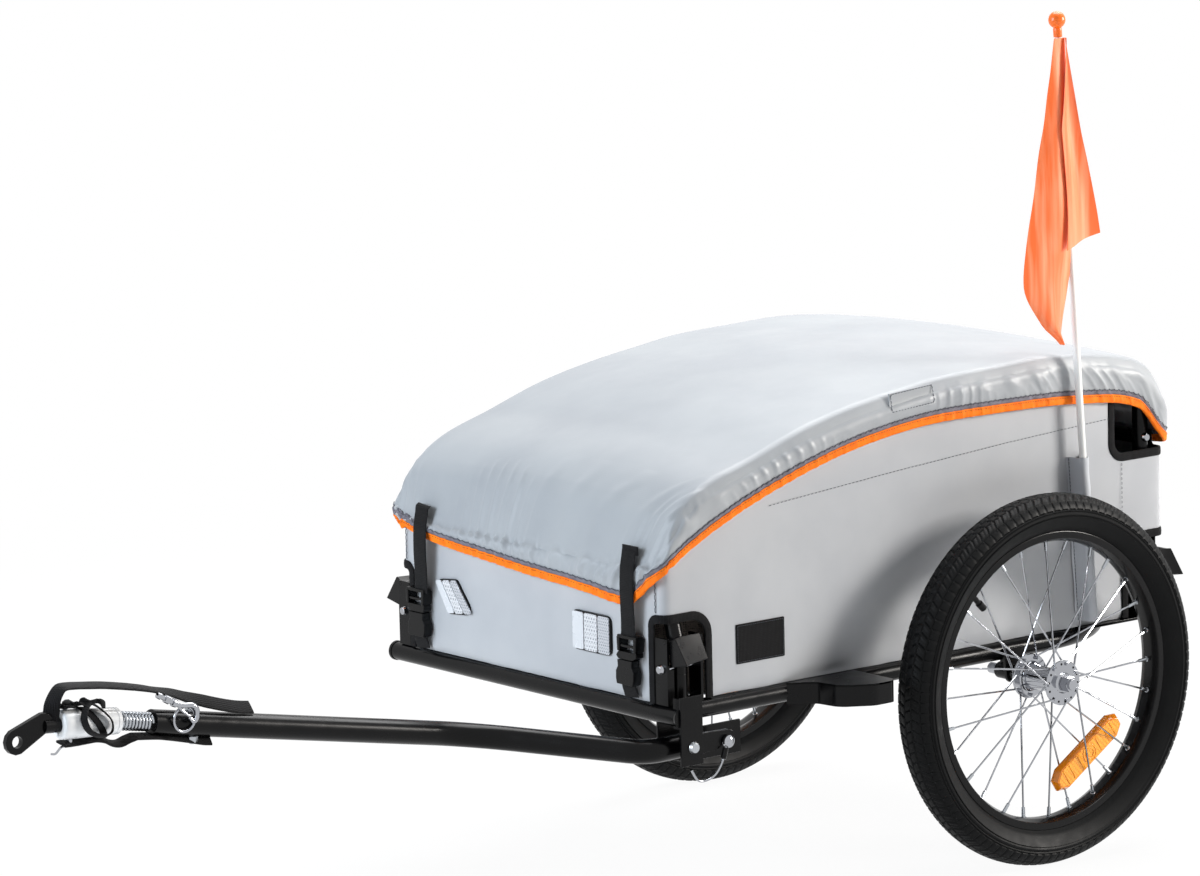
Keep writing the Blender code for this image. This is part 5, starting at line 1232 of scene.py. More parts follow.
@dataclass
class ArmMount:
    """The two cheeks that hold the tow arm under the front rail."""

    pivot: tuple[float, float] = (-0.4574, -0.0084)
    lock: tuple[float, float] = (-0.4035, -0.0113)
    rail_y: float = -0.468
    rail_z: float = 0.0234
    cheek_x: float = 0.248
    lock_x: float = 0.21
    plate: float = 0.003

    def build(self) -> None:
        """Builds both cheeks, the stub and a dark disc of painted shade in a spare hole."""
        front, rear = self.pivot[0] - 0.0155, self.pivot[0] + 0.013
        top, bottom = self.rail_z + 0.022, self.pivot[1] - 0.0185
        draft = Draft()
        half = self.plate / 2.0
        draft.block((self.cheek_x - half, front, bottom), (self.cheek_x + half, rear, top))
        draft.block((0.236, front + 0.0005, self.rail_z - 0.012),
                    (self.cheek_x - half + 0.0005, front + 0.0035, top - 0.002))
        inner = [(front, self.rail_z), (front, bottom), (self.lock[0] - 0.01, bottom - 0.006),
                 (self.lock[0] + 0.04, bottom - 0.006), (self.lock[0] + 0.04, self.lock[1] + 0.013),
                 (rear + 0.004, self.lock[1] + 0.013), (rear, self.rail_z - 0.012),
                 (self.rail_y + 0.006, self.rail_z - 0.012), (self.rail_y + 0.006, self.rail_z)]
        draft.plate(inner, self.lock_x - half, self.lock_x + half, Axis.X)
        draft.dressed("arm_mount_cheeks", POWDER_COAT, "chassis", angle=35.0, ease=0.0006)
        draft = Draft()
        spot = Vector((self.lock_x + half, self.lock[0] + 0.024, self.lock[1]))
        draft.tube([spot - OUT_LEFT * 0.0002, spot + OUT_LEFT * 0.0003], 0.0026, sides=20)
        draft.dressed("spare_hole_shade", DARK_KNIT, "chassis")


# Box frame and corner hardware
@dataclass
class SideFrames:
    """The bent tubes that hold up the box, and the rear bar between them."""

    radius: float = 0.0085
    x: float = 0.2105
    foot_x: float = 0.2195
    front_y: float = -0.4505
    rear_y: float = 0.208
    seat: float = 0.001
    cloth: float = 0.002
    crown: float = 0.0012

    def height(self, y: float) -> float:
        """Height of the top rail under the cover's cloth."""
        rise = max(abs(smooth_line(y + step, COVER_LINE) - smooth_line(y, COVER_LINE)) / 0.01
                   for step in (-0.01, 0.01))
        return smooth_line(y,
                           COVER_LINE) + self.crown - (self.radius + self.cloth
                                                       + self.seat) * math.hypot(1.0, rise)

    def build(self) -> None:
        """Builds both tubes, the rear bar and its bolts."""
        tops = (-0.42, -0.35, -0.26, -0.17, -0.08, 0.02, 0.11)
        corners = [(self.foot_x, self.front_y, 0.06), (self.foot_x, self.front_y, 0.085),
                   (self.x, self.front_y, 0.115),
                   (self.x, self.front_y, self.height(self.front_y + 0.02) - 0.014),
                   *[(self.x, y, self.height(y)) for y in tops],
                   (self.x, self.rear_y, self.height(self.rear_y - 0.043) - 0.015),
                   (self.x, self.rear_y, 0.115), (self.foot_x, self.rear_y, 0.085),
                   (self.foot_x, self.rear_y, 0.06)]
        radii = [0.02, 0.02, 0.03] + [0.04] + [0.1] * (len(tops) - 1) + [0.032, 0.02, 0.02]
        path = rounded(corners, radii, steps=6)
        for side in Side:
            draft = Draft().tube([(side.value * x, y, z) for x, y, z in path], self.radius, sides=24)
            name = f"side_frame_{side.word}"
            draft.dressed(f"{name}_tube", POWDER_COAT, "chassis", [name])
            refined(f"rear_bar_bolt_{side.word}", CHROME, "chassis", 0.0004)
        refined("rear_top_bar", POWDER_COAT, "chassis")


@dataclass
class CornerHardware:
    """The bracket, bolt and lever at each corner."""

    def build(self) -> None:
        """Dresses every corner's pieces."""
        for end in End:
            for side in Side:
                corner = f"{end.word}_{side.word}"
                refined(f"corner_bracket_{corner}", POWDER_COAT, "chassis", 0.0006)
                refined(f"corner_bolt_{corner}", CHROME, "chassis", 0.0005)
                refined(f"latch_block_{corner}", BLACK_NYLON, f"latch_{corner}", 0.0007)


# Cloth box
COVER_LINE: Line = (
    (-0.479, 0.188), (-0.47, 0.2), (-0.456, 0.226), (-0.42, 0.2535), (-0.35, 0.276), (-0.28, 0.298),
    (-0.21, 0.313), (-0.14, 0.323), (-0.09, 0.329), (0.0, 0.332), (0.05, 0.3335), (0.1, 0.331),
    (0.165, 0.322), (0.205, 0.308), (0.225, 0.28), (0.236, 0.25),
)
HEM_LINE: Line = (
    (-0.481, 0.168), (-0.428, 0.198), (-0.347, 0.232), (-0.238, 0.264), (-0.127, 0.281), (-0.014, 0.2826),
    (0.101, 0.2785), (0.189, 0.2635), (0.223, 0.2275), (0.24, 0.218),
)
FRONT_HEM_LINE: Line = ((-0.2285, 0.172), (-0.2087, 0.1698), (-0.1903, 0.164), (-0.1545, 0.1579),
                        (-0.0784, 0.1517), (0.021, 0.1446), (0.0989, 0.1405), (0.1563, 0.1356),
                        (0.1754, 0.1359), (0.1898, 0.1421), (0.2092, 0.1574), (0.2285, 0.17),)


@dataclass
class BoxPlan:
    """The box's plan: where its cloth runs at each length round a corner."""

    half_width: float = 0.2245
    front: float = -0.4735
    rear: float = 0.231
    corner: float = 0.012

    def edge(self, end: End) -> float:
        """Place of an end panel."""
        return self.front if end is End.FRONT else self.rear

    def loop(self, spacing: float) -> list[tuple[Vector, Vector]]:
        """Places round the plan with their outward directions."""
        result = []
        half, radius = self.half_width, self.corner
        corners = [
            (half - radius, self.rear - radius, 0.0), (-half + radius, self.rear - radius, 90.0),
            (-half + radius, self.front + radius, 180.0), (half - radius, self.front + radius, 270.0),
        ]
        for index, (x, y, start) in enumerate(corners):
            arc = []
            for step in range(7):
                angle = math.radians(start + 15.0 * step)
                out = Vector((math.cos(angle), math.sin(angle), 0.0))
                arc.append((Vector((x, y, 0.0)) + out * radius, out))
            result += arc
            after = corners[(index + 1) % 4]
            angle = math.radians(after[2])
            out = Vector((math.cos(angle), math.sin(angle), 0.0))
            goal = Vector((after[0], after[1], 0.0)) + out * radius
            begin = arc[-1][0]
            count = round((goal - begin).length / spacing)
            result += [(begin.lerp(goal, step / count), out) for step in range(1, count)]
        return result

    def round_corner(self, along: float, side: Side, end: End) -> tuple[Vector, Vector]:
        """A place and its outward direction, by length from a corner's middle.

        Args:
            along: Positive on the side panel, negative on the end panel.
            side: Left or right.
            end: Front or rear.

        Returns:
            The place at ground height and the outward direction.
        """
        half_arc = self.corner * math.pi / 4.0
        y_edge = self.edge(end)
        centre = Vector((self.half_width - self.corner, y_edge - end.value * self.corner, 0.0))
        if along > half_arc:
            place = Vector((self.half_width, centre.y - end.value * (along - half_arc), 0.0))
            out = Vector((1.0, 0.0, 0.0))
        elif along < -half_arc:
            place = Vector((centre.x + (along + half_arc), y_edge, 0.0))
            out = Vector((0.0, end.value, 0.0))
        else:
            angle = math.pi / 4.0 * (1.0 - along / half_arc)
            out = Vector((math.cos(angle), end.value * math.sin(angle), 0.0))
            place = centre + out * self.corner
        if side is Side.RIGHT:
            place.x, out.x = -place.x, -out.x
        return place, out


@dataclass
class ClothBox:
    """The sewn box: panels, seams, corner openings, windows, label and sleeve."""

    plan: BoxPlan
    bottom: float = 0.034
    cloth: float = 0.0012
    arch_top: float = 0.127
    arch_side_x: float = 0.2
    arch_front: float = -0.41
    arch_rear: float = 0.166
    window_edge: float = 0.148
    window_sill: float = 0.207
    window_x: float = 0.196
    tape: float = 0.009
    front_turn: float = 0.026
    rear_turn: float = 0.04
    inner_turn: float = 0.0135
    label_low: tuple[float, float] = (-0.378, 0.063)
    label_high: tuple[float, float] = (-0.313, 0.1045)

    def build(self) -> None:
        """Builds and dresses the box's pieces."""
        self.shell()
        self.floor_cloth()
        for side in Side:
            for end in End:
                self.arch_tape(side, end)
                self.liner(side, end)
            self.window_tape(side)
        self.seams()
        self.label()
        self.sleeve()

    def top(self, y: float) -> float:
        """Height of the panels' top edge, out of sight under the cover."""
        return smooth_line(y, COVER_LINE) - 0.03

    def outward(self, place: Vector, z: float) -> float:
        """How far a panel stands out or sinks in, from its pull and creases."""
        level = (z - self.bottom) / 0.2
        edge = min(1.0, level * 6.0) * min(1.0, max(0.0, 1.0 - level) * 4.0 + 0.3)
        spot = Vector((place.x * 5.0, place.y * 5.0, z * 7.0))
        calm = 0.0016 * noise.noise(spot) * edge
        pucker = 0.0008 * math.exp(-(z - self.bottom) / 0.018) * wave((place.x + place.y) * 60.0, 7.0)
        return calm + pucker - 0.001 * edge

    def shell(self) -> None:
        """The four panels in one skin, opened at the corners and windows."""
        rows = 34
        places = self.plan.loop(0.0065)
        rings = []
        for row in range(rows + 1):
            ring = []
            for place, out in places:
                wavy = 0.0012 * wave((place.x - place.y) * 22.0, 2.0)
                low = self.bottom + wavy * (1.0 - row / rows)
                z = low + (self.top(place.y) - low) * row / rows
                tuck = 0.003 * max(0.0, 1.0 - row / 1.5) ** 2
                ring.append(place + out * (self.outward(place, z) - tuck) + Vector((0.0, 0.0, z)))
            rings.append(ring)
        draft = Draft()
        draft.skin(rings, closed=True)
        item = thickened(draft.object("box_panels"), self.cloth)
        for tool in self.openings():
            item = carved(item, tool)
        dress(item, GREY_CANVAS, "chassis", ["fabric_tub"], 55.0)

    def opening(self, side: Side, end: End, edge: float, step: float, low: float, high: float,
                radii: Sequence[float]) -> Item:
        """A solid that opens the cloth round a corner.

        Args:
            side: Left or right.
            end: Front or rear.
            edge: Its edge on the side panel.
            step: Its edge on the end panel.
            low: Height of its lower edge.
            high: Height of its upper edge.
            radii: Of its two rounded corners, on the side and on the end panel.

        Returns:
            The solid, as what a cut along the cart and one across it share.
        """
        far_y = self.plan.edge(end) + end.value * 0.03
        far_x = self.plan.half_width + 0.03
        level = (high, low) if low < self.bottom else (low, high)
        shapes = []
        for far, near, radius in ((far_y, edge, radii[0]), (far_x, step, radii[1])):
            corners = [(far, level[1]), (far, level[0]), (near, level[0]), (near, level[1])]
            shapes.append(rounded(corners, [0.0, radius]))
        solids = []
        for name, shape, axis, span in (("along", shapes[0], Axis.X, (step - 0.01, far_x + 0.01)),
                                        ("across", shapes[1], Axis.Y,
                                         (far_y + end.value * 0.01, edge - end.value * 0.01))):
            draft = Draft()
            flat = shape if axis is Axis.X else [(side.value * x, z) for x, z in shape]
            ends = sorted(side.value * x for x in span) if axis is Axis.X else sorted(span)
            draft.plate(flat, *ends, axis)
            solids.append(draft.object(f"opening_{name}"))
        return carved(solids[0], solids[1], "INTERSECT")

    def openings(self) -> Iterable[Item]:
        """A solid for every opening that is cut from the panels."""
        for side in Side:
            yield self.opening(side, End.FRONT, self.arch_front, self.arch_side_x, 0.0, self.arch_top,
                               (self.front_turn, self.inner_turn))
            yield self.opening(side, End.REAR, self.arch_rear, self.arch_side_x, 0.0, self.arch_top,
                               (self.rear_turn, self.inner_turn))
            yield self.opening(side, End.REAR, self.window_edge, self.window_x, self.window_sill, 0.36,
                               (0.022, 0.008))

    def floor_cloth(self) -> None:
        """The cloth under the floor board."""
        half, step = self.plan.half_width - 0.004, self.arch_side_x - 0.001
        front, rear = self.plan.front + 0.003, self.plan.rear - 0.003
        outline = [(step, front), (step, self.arch_front), (half, self.arch_front), (half, self.arch_rear),
                   (step, self.arch_rear), (step, rear)]
        outline += [(-x, y) for x, y in reversed(outline)]
        draft = Draft().plate(outline, self.bottom, self.bottom + 0.0012, Axis.Z)
        draft.dressed("box_floor_cloth", GREY_CANVAS, "chassis")

    def tape_on(self, name: str, path: Sequence[Vector], side: Side, end: End, node: str) -> None:
        """Lays a folded tape along an edge.

        Args:
            name: The piece's name.
            path: Points (length round the corner, height).
            side: Left or right.
            end: Front or rear.
            node: The CAD node that it stands for.
        """
        path = evenly(path, 0.0022)
        rings = []
        for index, (spot, along) in enumerate(zip(path, directions(path))):
            across = Vector((-along.y, along.x))
            ring = []
            shape = [(-0.5, -0.0014), (-0.5, 0.0004), (-0.4, 0.001), (0.0, 0.0013), (0.4, 0.001),
                     (0.5, 0.0004), (0.5, -0.0014), (0.0, -0.002)]
            for share, rise in shape:
                flat = spot + across * (share * self.tape)
                place, out = self.plan.round_corner(flat.x, side, end)
                lump = 0.0002 * wave(index * 0.35, share * 9.0)
                ring.append(place + out * (rise + lump) + Vector((0.0, 0.0, flat.y)))
            rings.append(ring)
        draft = Draft()
        draft.skin(rings, closed=True, capped=True)
        draft.dressed(name, BLACK_WEBBING, "chassis", [node], WEBBING_EDGE)

    def round_length(self, place: float, end: End) -> float:
        """Length from a corner's middle to a place on the side panel."""
        start = self.plan.edge(end) - end.value * self.plan.corner
        return self.plan.corner * math.pi / 4.0 + abs(place - start)

    def front_length(self, x: float) -> float:
        """Length from a corner's middle to a place on the end panel."""
        return -(self.plan.corner * math.pi / 4.0 + self.plan.half_width - self.plan.corner - x)

    def arch_tape(self, side: Side, end: End) -> None:
        """The black tape round an arched corner opening."""
        inset = self.tape / 2.0
        edge = self.arch_front if end is End.FRONT else self.arch_rear
        near = self.round_length(edge, end) - inset
        far = self.front_length(self.arch_side_x) + inset
        top = self.arch_top - inset
        radius = (self.front_turn if end is End.FRONT else self.rear_turn) - inset
        path = rounded([(near, self.bottom), (near, top), (far, top), (far, self.bottom)],
                       [radius, self.inner_turn - inset])
        self.tape_on(f"arch_tape_{end.word}_{side.word}", path, side, end,
                     f"corner_binding_{end.word}_{side.word}")

    def window_tape(self, side: Side) -> None:
        """The black tape along a rear window's front edge and sill."""
        inset = self.tape / 2.0
        near = self.round_length(self.window_edge, End.REAR) - inset
        far = self.front_length(self.window_x) + inset
        sill = self.window_sill + inset
        path = rounded([(near, 0.288), (near, sill), (far, sill), (far, 0.232)],
                       [0.022 - inset, 0.008])
        self.tape_on(f"window_tape_{side.word}", path, side, End.REAR, f"window_binding_{side.word}")

    def liner(self, side: Side, end: End) -> None:
        """The dark knit that closes the box behind a corner post."""
        edge = self.arch_front if end is End.FRONT else self.arch_rear
        y_wall = self.plan.edge(end) - end.value * 0.0016
        turn = -end.value
        plan = flowing([(0.2225, edge + turn * 0.004, 0.0), (0.212, edge + turn * 0.001, 0.0),
                        (0.199, edge - turn * 0.009, 0.0), (0.1945, edge - turn * 0.026, 0.0),
                        (0.1945, edge - turn * 0.045, 0.0), (0.197, y_wall, 0.0)], 0.003)
        rows = []
        for step in range(9):
            z = self.bottom + 0.003 + (self.arch_top + 0.004 - self.bottom) * step / 8.0
            rows.append([(side.value * (x - 0.0012 * math.sin(index * 0.9 + step * 0.4) ** 2), y, z)
                         for index, (x, y, _) in enumerate(plan)])
        draft = Draft()
        draft.skin(rows)
        item = thickened(draft.object(f"corner_liner_{end.word}_{side.word}"), 0.0008, 0.0)
        dress(item, DARK_KNIT, "chassis", angle=WEBBING_EDGE)

    def seams(self) -> None:
        """Rows of stitches: the long seam, the corner seams and the rear one."""
        draft = Draft()
        for side in Side:
            out = Vector((side.value, 0.0, 0.0))
            x = side.value * (self.plan.half_width + 0.0003)
            lines = [
                [(-0.33, 0.223), (-0.314, 0.2246), (-0.16, 0.237), (0.000, 0.248), (0.1524, 0.2561)],
                [(0.1675, 0.21), (0.1668, 0.04)],
            ]
            for line in lines:
                path = [Vector((x, y, z)) for y, z in line]
                add_stitches(draft, path, [out] * len(path), 0.0026, 0.0026, 0.00034)
            for end in End:
                place, across = self.plan.round_corner(-0.0095, side, end)
                high = 0.175 if end is End.FRONT else 0.205
                path = [place + across * 0.0003 + Vector((0.0, 0.0, z))
                        for z in (self.arch_top + 0.002, high)]
                add_stitches(draft, path, [across] * 2, 0.006, 0.0006, 0.00055)
        draft.dressed("box_stitches", THREAD, "chassis", angle=WEBBING_EDGE)

    def label(self) -> None:
        """A bare woven label sewn to the left panel."""
        draft = Draft()
        low, high = self.label_low, self.label_high
        start = (low[0] + 0.02, low[1])
        outline = rounded([start, (high[0], low[1]), high, (low[0], high[1]), low, start], [0.0012] * 4,
                          steps=3)[:-1]
        x = self.plan.half_width
        draft.plate(outline, x - 0.0022, x + 0.0008, Axis.X)
        draft.dressed("side_label", BLACK_WEBBING, "chassis", angle=30.0, ease=0.0003)
        draft = Draft()
        inset = 0.0018
        path = [Vector((x + 0.001, y, z)) for y,
                z in ((low[0] + inset, low[1] + inset), (high[0] - inset, low[1] + inset),
                      (high[0] - inset, high[1] - inset), (low[0] + inset, high[1] - inset),
                      (low[0] + inset, low[1] + inset))]
        add_stitches(draft, path, [OUT_LEFT] * len(path), 0.0018, 0.001, 0.00022)
        draft.dressed("side_label_stitches", THREAD, "chassis", angle=WEBBING_EDGE)

    def sleeve(self) -> None:
        """The cloth sleeve on the left panel that holds the flag's pole."""
        foot, head = FlagPole().at(0.042), FlagPole().at(0.222)
        wall = self.plan.half_width - 0.0004
        rows = []
        for step in range(25):
            share = step / 24.0
            centre = foot.lerp(head, share)
            half = 0.0105 + 0.0005 * math.sin(share * 21.0)
            radius = 0.005 + 0.0003 * math.sin(share * 33.0)
            flange = [(wall, half), (wall + 0.0012, half - 0.0008), (wall + 0.0014, 0.0085)]
            row = [(x, centre.y - reach, centre.z) for x, reach in flange]
            for turn in range(9):
                angle = math.radians(198.0 - 216.0 * turn / 8.0)
                row.append((centre.x + radius * math.sin(angle), centre.y + 1.15 * radius * math.cos(angle),
                            centre.z))
            row += [(x, centre.y + reach, centre.z) for x, reach in reversed(flange)]
            rows.append(row)
        draft = Draft()
        draft.skin(rows)
        item = thickened(draft.object("pole_sleeve"), 0.0006, 1.0)
        # The sleeve's cloth is painted lighter: painted light on a sleeve that faces away from the key lamp.
        dress(item, SLEEVE_CLOTH_PAINTED_LIGHT, "chassis", angle=WEBBING_EDGE)
        draft = Draft()
        for offset in (-0.0092, 0.0092):
            path = [Vector((wall + 0.0022, foot.y + offset, foot.z)),
                    Vector((wall + 0.0022, head.y + offset, head.z))]
            add_stitches(draft, path, [OUT_LEFT] * 2, 0.0028, 0.0014, 0.00035)
        draft.dressed("pole_sleeve_stitches", THREAD, "chassis", angle=WEBBING_EDGE)


def add_stitches(draft: Draft, path: Sequence[Vector], normals: Sequence[Vector], length: float, gap: float,
                 radius: float) -> None:
    """Adds a row of stitches, each a short thread that dips at its ends.

    Args:
        draft: The draft that takes them.
        path: The seam's points.
        normals: The cloth's outward direction at each point.
        length: Length of a stitch.
        gap: Cloth between two stitches.
        radius: The thread's radius.
    """
    for index, (start, end) in enumerate(zip(path, path[1:])):
        run = (end - start).length
        count = max(1, round(run / (length + gap)))
        out = normals[index]
        for stitch in range(count):
            first = start.lerp(end, stitch / count)
            along = (end - start).normalized() * min(length, run)
            points = [first - out * radius, first + along * 0.2 + out * radius * 0.6,
                      first + along * 0.8 + out * radius * 0.6, first + along - out * radius]
            draft.tube(points, radius, sides=5)


# Cover
@dataclass
class CoverCloth:
    """The fitted cover: one domed sheet, gathered into an elastic hem."""

    half_width: float = 0.2285
    front: float = -0.479
    rear: float = 0.236
    crown: float = 0.008
    roll: float = 0.011
    corner: float = 0.016
    hem_width: float = 0.0092
    fold_depth: float = 0.0056
    belly: float = 0.0052
    pole_y: float = 0.092
    front_roll: float = 0.015
    front_pull: float = 0.055
    across: int = 196
    along: int = 400
    skirt_rows: int = 24

    def __post_init__(self) -> None:
        """Lays out the places round the edge, and the length round it at each."""
        xs, ys = self.columns(), self.lines()
        loop = [(x, ys[0]) for x in xs[:-1]] + [(xs[-1], y) for y in ys[:-1]]
        loop += [(x, ys[-1]) for x in xs[:0:-1]] + [(xs[0], y) for y in ys[:0:-1]]
        self.loop = [self.into_corner(x, y) for x, y in loop]
        self.lengths = [0.0]
        for before, after in zip(self.loop, self.loop[1:]):
            self.lengths.append(self.lengths[-1] + math.dist(before, after))

    def into_corner(self, x: float, y: float) -> tuple[float, float]:
        """Pulls a point of a square corner onto the rounded one."""
        centre_x = self.half_width - self.corner
        low, high = self.front + self.corner, self.rear - self.corner
        over_x = abs(x) - centre_x
        over_y = low - y if y < low else y - high
        if over_x <= 0.0 or over_y <= 0.0:
            return x, y
        pull = max(over_x, over_y) / math.hypot(over_x, over_y)
        new_x = math.copysign(centre_x + over_x * pull, x)
        return new_x, (low - over_y * pull if y < low else high + over_y * pull)

    def surface(self, x: float, y: float) -> float:
        """Height of the cover's top, with its slack and the folds at its front."""
        return self.level(x, y) + self.front_folds(x, y)

    def level(self, x: float, y: float) -> float:
        """Height of the cover's top without folds."""
        fade = min(1.0, (y - self.front) / 0.03, (self.rear - y) / 0.03)
        height = smooth_line(y, COVER_LINE) + self.crown * (1.0 - (x / self.half_width) ** 2) * fade
        over = max(0.0, abs(x) - (self.half_width - self.roll))
        height -= self.roll - math.sqrt(max(0.0, self.roll**2 - over**2))
        height -= self.front_roll * max(0.0, 1.0 - (y - self.front) / self.front_roll) ** 2.2
        slack = 0.0016 * noise.noise(Vector((x * 5.0, y * 5.0, 1.7))) * fade
        return height + slack

    def front_folds(self, x: float, y: float) -> float:
        """Height of the folds that run from the front hem onto the slope."""
        if y > self.front + 2.0 * self.front_pull:
            return 0.0
        distance = self.level(x, self.front) - self.hem_height(x, self.front) + y - self.front
        return 1.7 * self.fold_depth * (self.front_gather(x, distance) + 0.35)

    def front_gather(self, x: float, distance: float) -> float:
        """The gathers on the front, by their distance from the hem; they lean outwards."""
        place = x + self.half_width + self.front_lean(x) * distance / 0.03
        return self.gather(place, 1.0 - distance / self.front_pull)

    def hem_height(self, x: float, y: float) -> float:
        """Height of the hem's lower edge."""
        side = smooth_line(y, HEM_LINE)
        if y < self.front + self.corner * 0.6:
            return side + smooth_line(x, FRONT_HEM_LINE) - FRONT_HEM_LINE[0][1]
        if y > self.rear - 0.02:
            return side - 0.01 * (1.0 - (x / self.half_width) ** 2)
        return side

    def columns(self) -> list[float]:
        """Places across the cover."""
        return [self.half_width * (2.0 * i / self.across - 1.0) for i in range(self.across + 1)]

    def lines(self) -> list[float]:
        """Places along the cover."""
        return [self.front + (self.rear - self.front) * j / self.along for j in range(self.along + 1)]

    def outward(self, x: float, y: float) -> Vector:
        """The horizontal direction that the skirt faces."""
        middle = (self.front + self.rear) / 2.0
        half = (self.rear - self.front) / 2.0
        out_x = max(0.0, abs(x) - self.half_width + self.corner) / self.corner
        out_y = max(0.0, abs(y - middle) - half + self.corner) / self.corner
        return Vector((math.copysign(out_x, x), math.copysign(out_y, y - middle), 0.0)).normalized()

    def folds(self, place: float, share: float, spacing: float, reaches: tuple[float, float],
              seed: float) -> float:
        """One family of soft folds that rise from the hem, each to its own height.

        Args:
            place: Length round the hem.
            share: 1 at the hem, 0 at the skirt's top edge and below 0 on the cover's top.
            spacing: Distance between two folds.
            reaches: The least and the greatest share of the skirt that a fold covers.
            seed: Sets which folds are long.

        Returns:
            The fold's height there, from 0 to 1.
        """
        at = place / spacing + 0.55 * wave(place * 0.21 / spacing, seed) + 0.1 * wave(share * 3.0,
                                                                                      place / spacing)
        number = round(at)
        own = 0.5 + 0.5 * math.sin(number * 12.9898 + seed * 7.1)
        reach = reaches[0] + (reaches[1] - reaches[0]) * own
        rise = unit((share - 1.0 + reach) / reach)
        narrow = 2.0 + 7.0 * (1.0 - rise)
        return (0.45 + 0.55 * own) * abs(math.cos(math.pi * (at - number))) ** narrow * rise**0.8

    def gather(self, place: float, share: float) -> float:
        """How far the gathered cloth stands out: short, long and broad folds together."""
        close = self.folds(place, share, 0.0072, (0.2, 0.55), 1.0)
        long = self.folds(place, share, 0.0145, (0.5, 1.25), 3.0)
        broad = self.folds(place, share, 0.041, (0.9, 1.9), 5.0)
        return 0.3 * close + 0.62 * long + 0.45 * broad - 0.35

    def front_lean(self, x: float) -> float:
        """How far a fold on the front leans outwards at the skirt's top edge."""
        return -0.024 * x / self.half_width

    def lean(self, x: float, y: float) -> float:
        """How far a fold's top end lies from its foot, along the hem.

        On the sides a fold stands square to the hem, and the rear ones lean back.
        """
        if abs(x) < self.half_width - self.corner:
            return self.front_lean(x) if y < 0.0 else 0.0
        slope = (smooth_line(y + 0.01, HEM_LINE) - smooth_line(y - 0.01, HEM_LINE)) / 0.02
        back = 0.8 * unit((y + 0.06) / 0.12)
        height = self.surface(x, y) - self.hem_height(x, y)
        return math.copysign(min(0.03, max(-0.03, (slope - back) * height)), x)

    def fold_share(self, x: float, y: float, height: float) -> float:
        """How much of the folds' depth is left: less near the hem, and least under the patch."""
        level = unit((height - self.hem_width) / 0.014)
        front = unit(1.0 - (y - self.front) / 0.03)
        at_hem = 0.35 + 0.65 * level + front * (0.1 + 0.9 * level)
        if x < 0.0:
            return at_hem
        return at_hem * (1.0 - 0.85 * unit(1.8 - abs(y + 0.138) / 0.025))

    def pole_relief(self, x: float, y: float) -> float:
        """How much of the slack is left where the flag's pole lies against the skirt."""
        near = 0.0 if x < 0.0 else unit(2.0 - abs(y - self.pole_y) / 0.02)
        return 1.0 - 0.7 * near

    def skirt_place(self, x: float, y: float, share: float, length: float) -> Vector:
        """A point on the skirt: share 0 at its top edge and 1 at the hem."""
        top = self.surface(x, y)
        bottom = min(self.hem_height(x, y) + self.hem_width * 0.6, top - 0.004)
        relief = self.pole_relief(x, y)
        belly = relief * self.belly * math.sin(math.pi * share**0.55)
        depth = relief * self.fold_depth * self.fold_share(x, y, (top - bottom) * (1.0 - share))
        outward = self.outward(x, y)
        folds = self.gather(length + self.lean(x, y) * (1.0 - share), share)
        if outward.y < 0.0:
            front = self.front_gather(x, (top - bottom) * (1.0 - share))
            folds += (front - folds) * outward.y**2
        return Vector((x, y, top + (bottom - top) * share)) + outward * (0.0006 * share + belly + depth
                                                                         * folds)

    def on_skirt(self, x: float, y: float, length: float, rise: float, proud: float) -> Vector:
        """A point that lies proud of the skirt, by its height over the hem in hem widths."""
        top = self.surface(x, y)
        foot = min(self.hem_height(x, y), top - 0.01)
        bottom = min(foot + self.hem_width * 0.6, top - 0.004)
        z = foot + self.hem_width * rise
        place = self.skirt_place(x, y, unit((top - z) / (top - bottom)), length)
        return Vector((place.x, place.y, z)) + self.outward(x, y) * proud

    def build(self) -> None:
        """Builds and dresses the cover's pieces."""
        cloth, pieces = self.cloth(), [self.hem(), self.casing(), self.stitches(), self.patch()]
        area = sum(face.area for face in cloth.data.polygons)
        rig.sheet(cloth, flat=(0.6, 0.86), held="stretched",
                 rests_on=["side_frame_left", "side_frame_right"], area=min(0.51, round(area, 3)),
                 with_pieces=pieces)

    def cloth(self) -> Item:
        """The sheet itself: its domed top and its gathered skirt."""
        xs, ys = self.columns(), self.lines()
        draft = Draft()
        grid = []
        for x in xs:
            places = [self.into_corner(x, y) for y in ys]
            grid.append([(px, py, self.surface(px, py)) for px, py in places])
        numbers = draft.skin(grid)
        last_i, last_j = len(xs) - 1, len(ys) - 1
        ring = [numbers[i][0] for i in range(last_i)] + [numbers[last_i][j] for j in range(last_j)]
        ring += [numbers[i][last_j] for i in range(last_i, 0, -1)] + [numbers[0][j] for j in range(last_j,
                                                                                                   0, -1)]
        above = ring
        for row in range(1, self.skirt_rows + 1):
            share = row / self.skirt_rows
            below = draft.row([self.skirt_place(x, y, share, length) for (x, y),
                               length in zip(self.loop, self.lengths)])
            for index in range(len(ring)):
                after = (index + 1) % len(ring)
                draft.faces.append([above[index], above[after], below[after], below[index]])
            above = below
        item = draft.object("cover_sheet")
        return dress(item, SILVER_CLOTH, "cover", ["cover"], CLOTH_EDGE)

    def band(self, name: str, shape: Line) -> Item:
        """A band round the hem.

        Args:
            name: The piece's name.
            shape: Its section, as (out from the cloth, share of the hem's width up).

        Returns:
            The band.
        """
        rings = [
            [self.on_skirt(x, y, length, rise, proud) for proud, rise in shape]
            for (x, y), length in zip(self.loop, self.lengths)
        ]
        draft = Draft()
        draft.skin(rings, closed=True, looped=True)
        return draft.object(name)

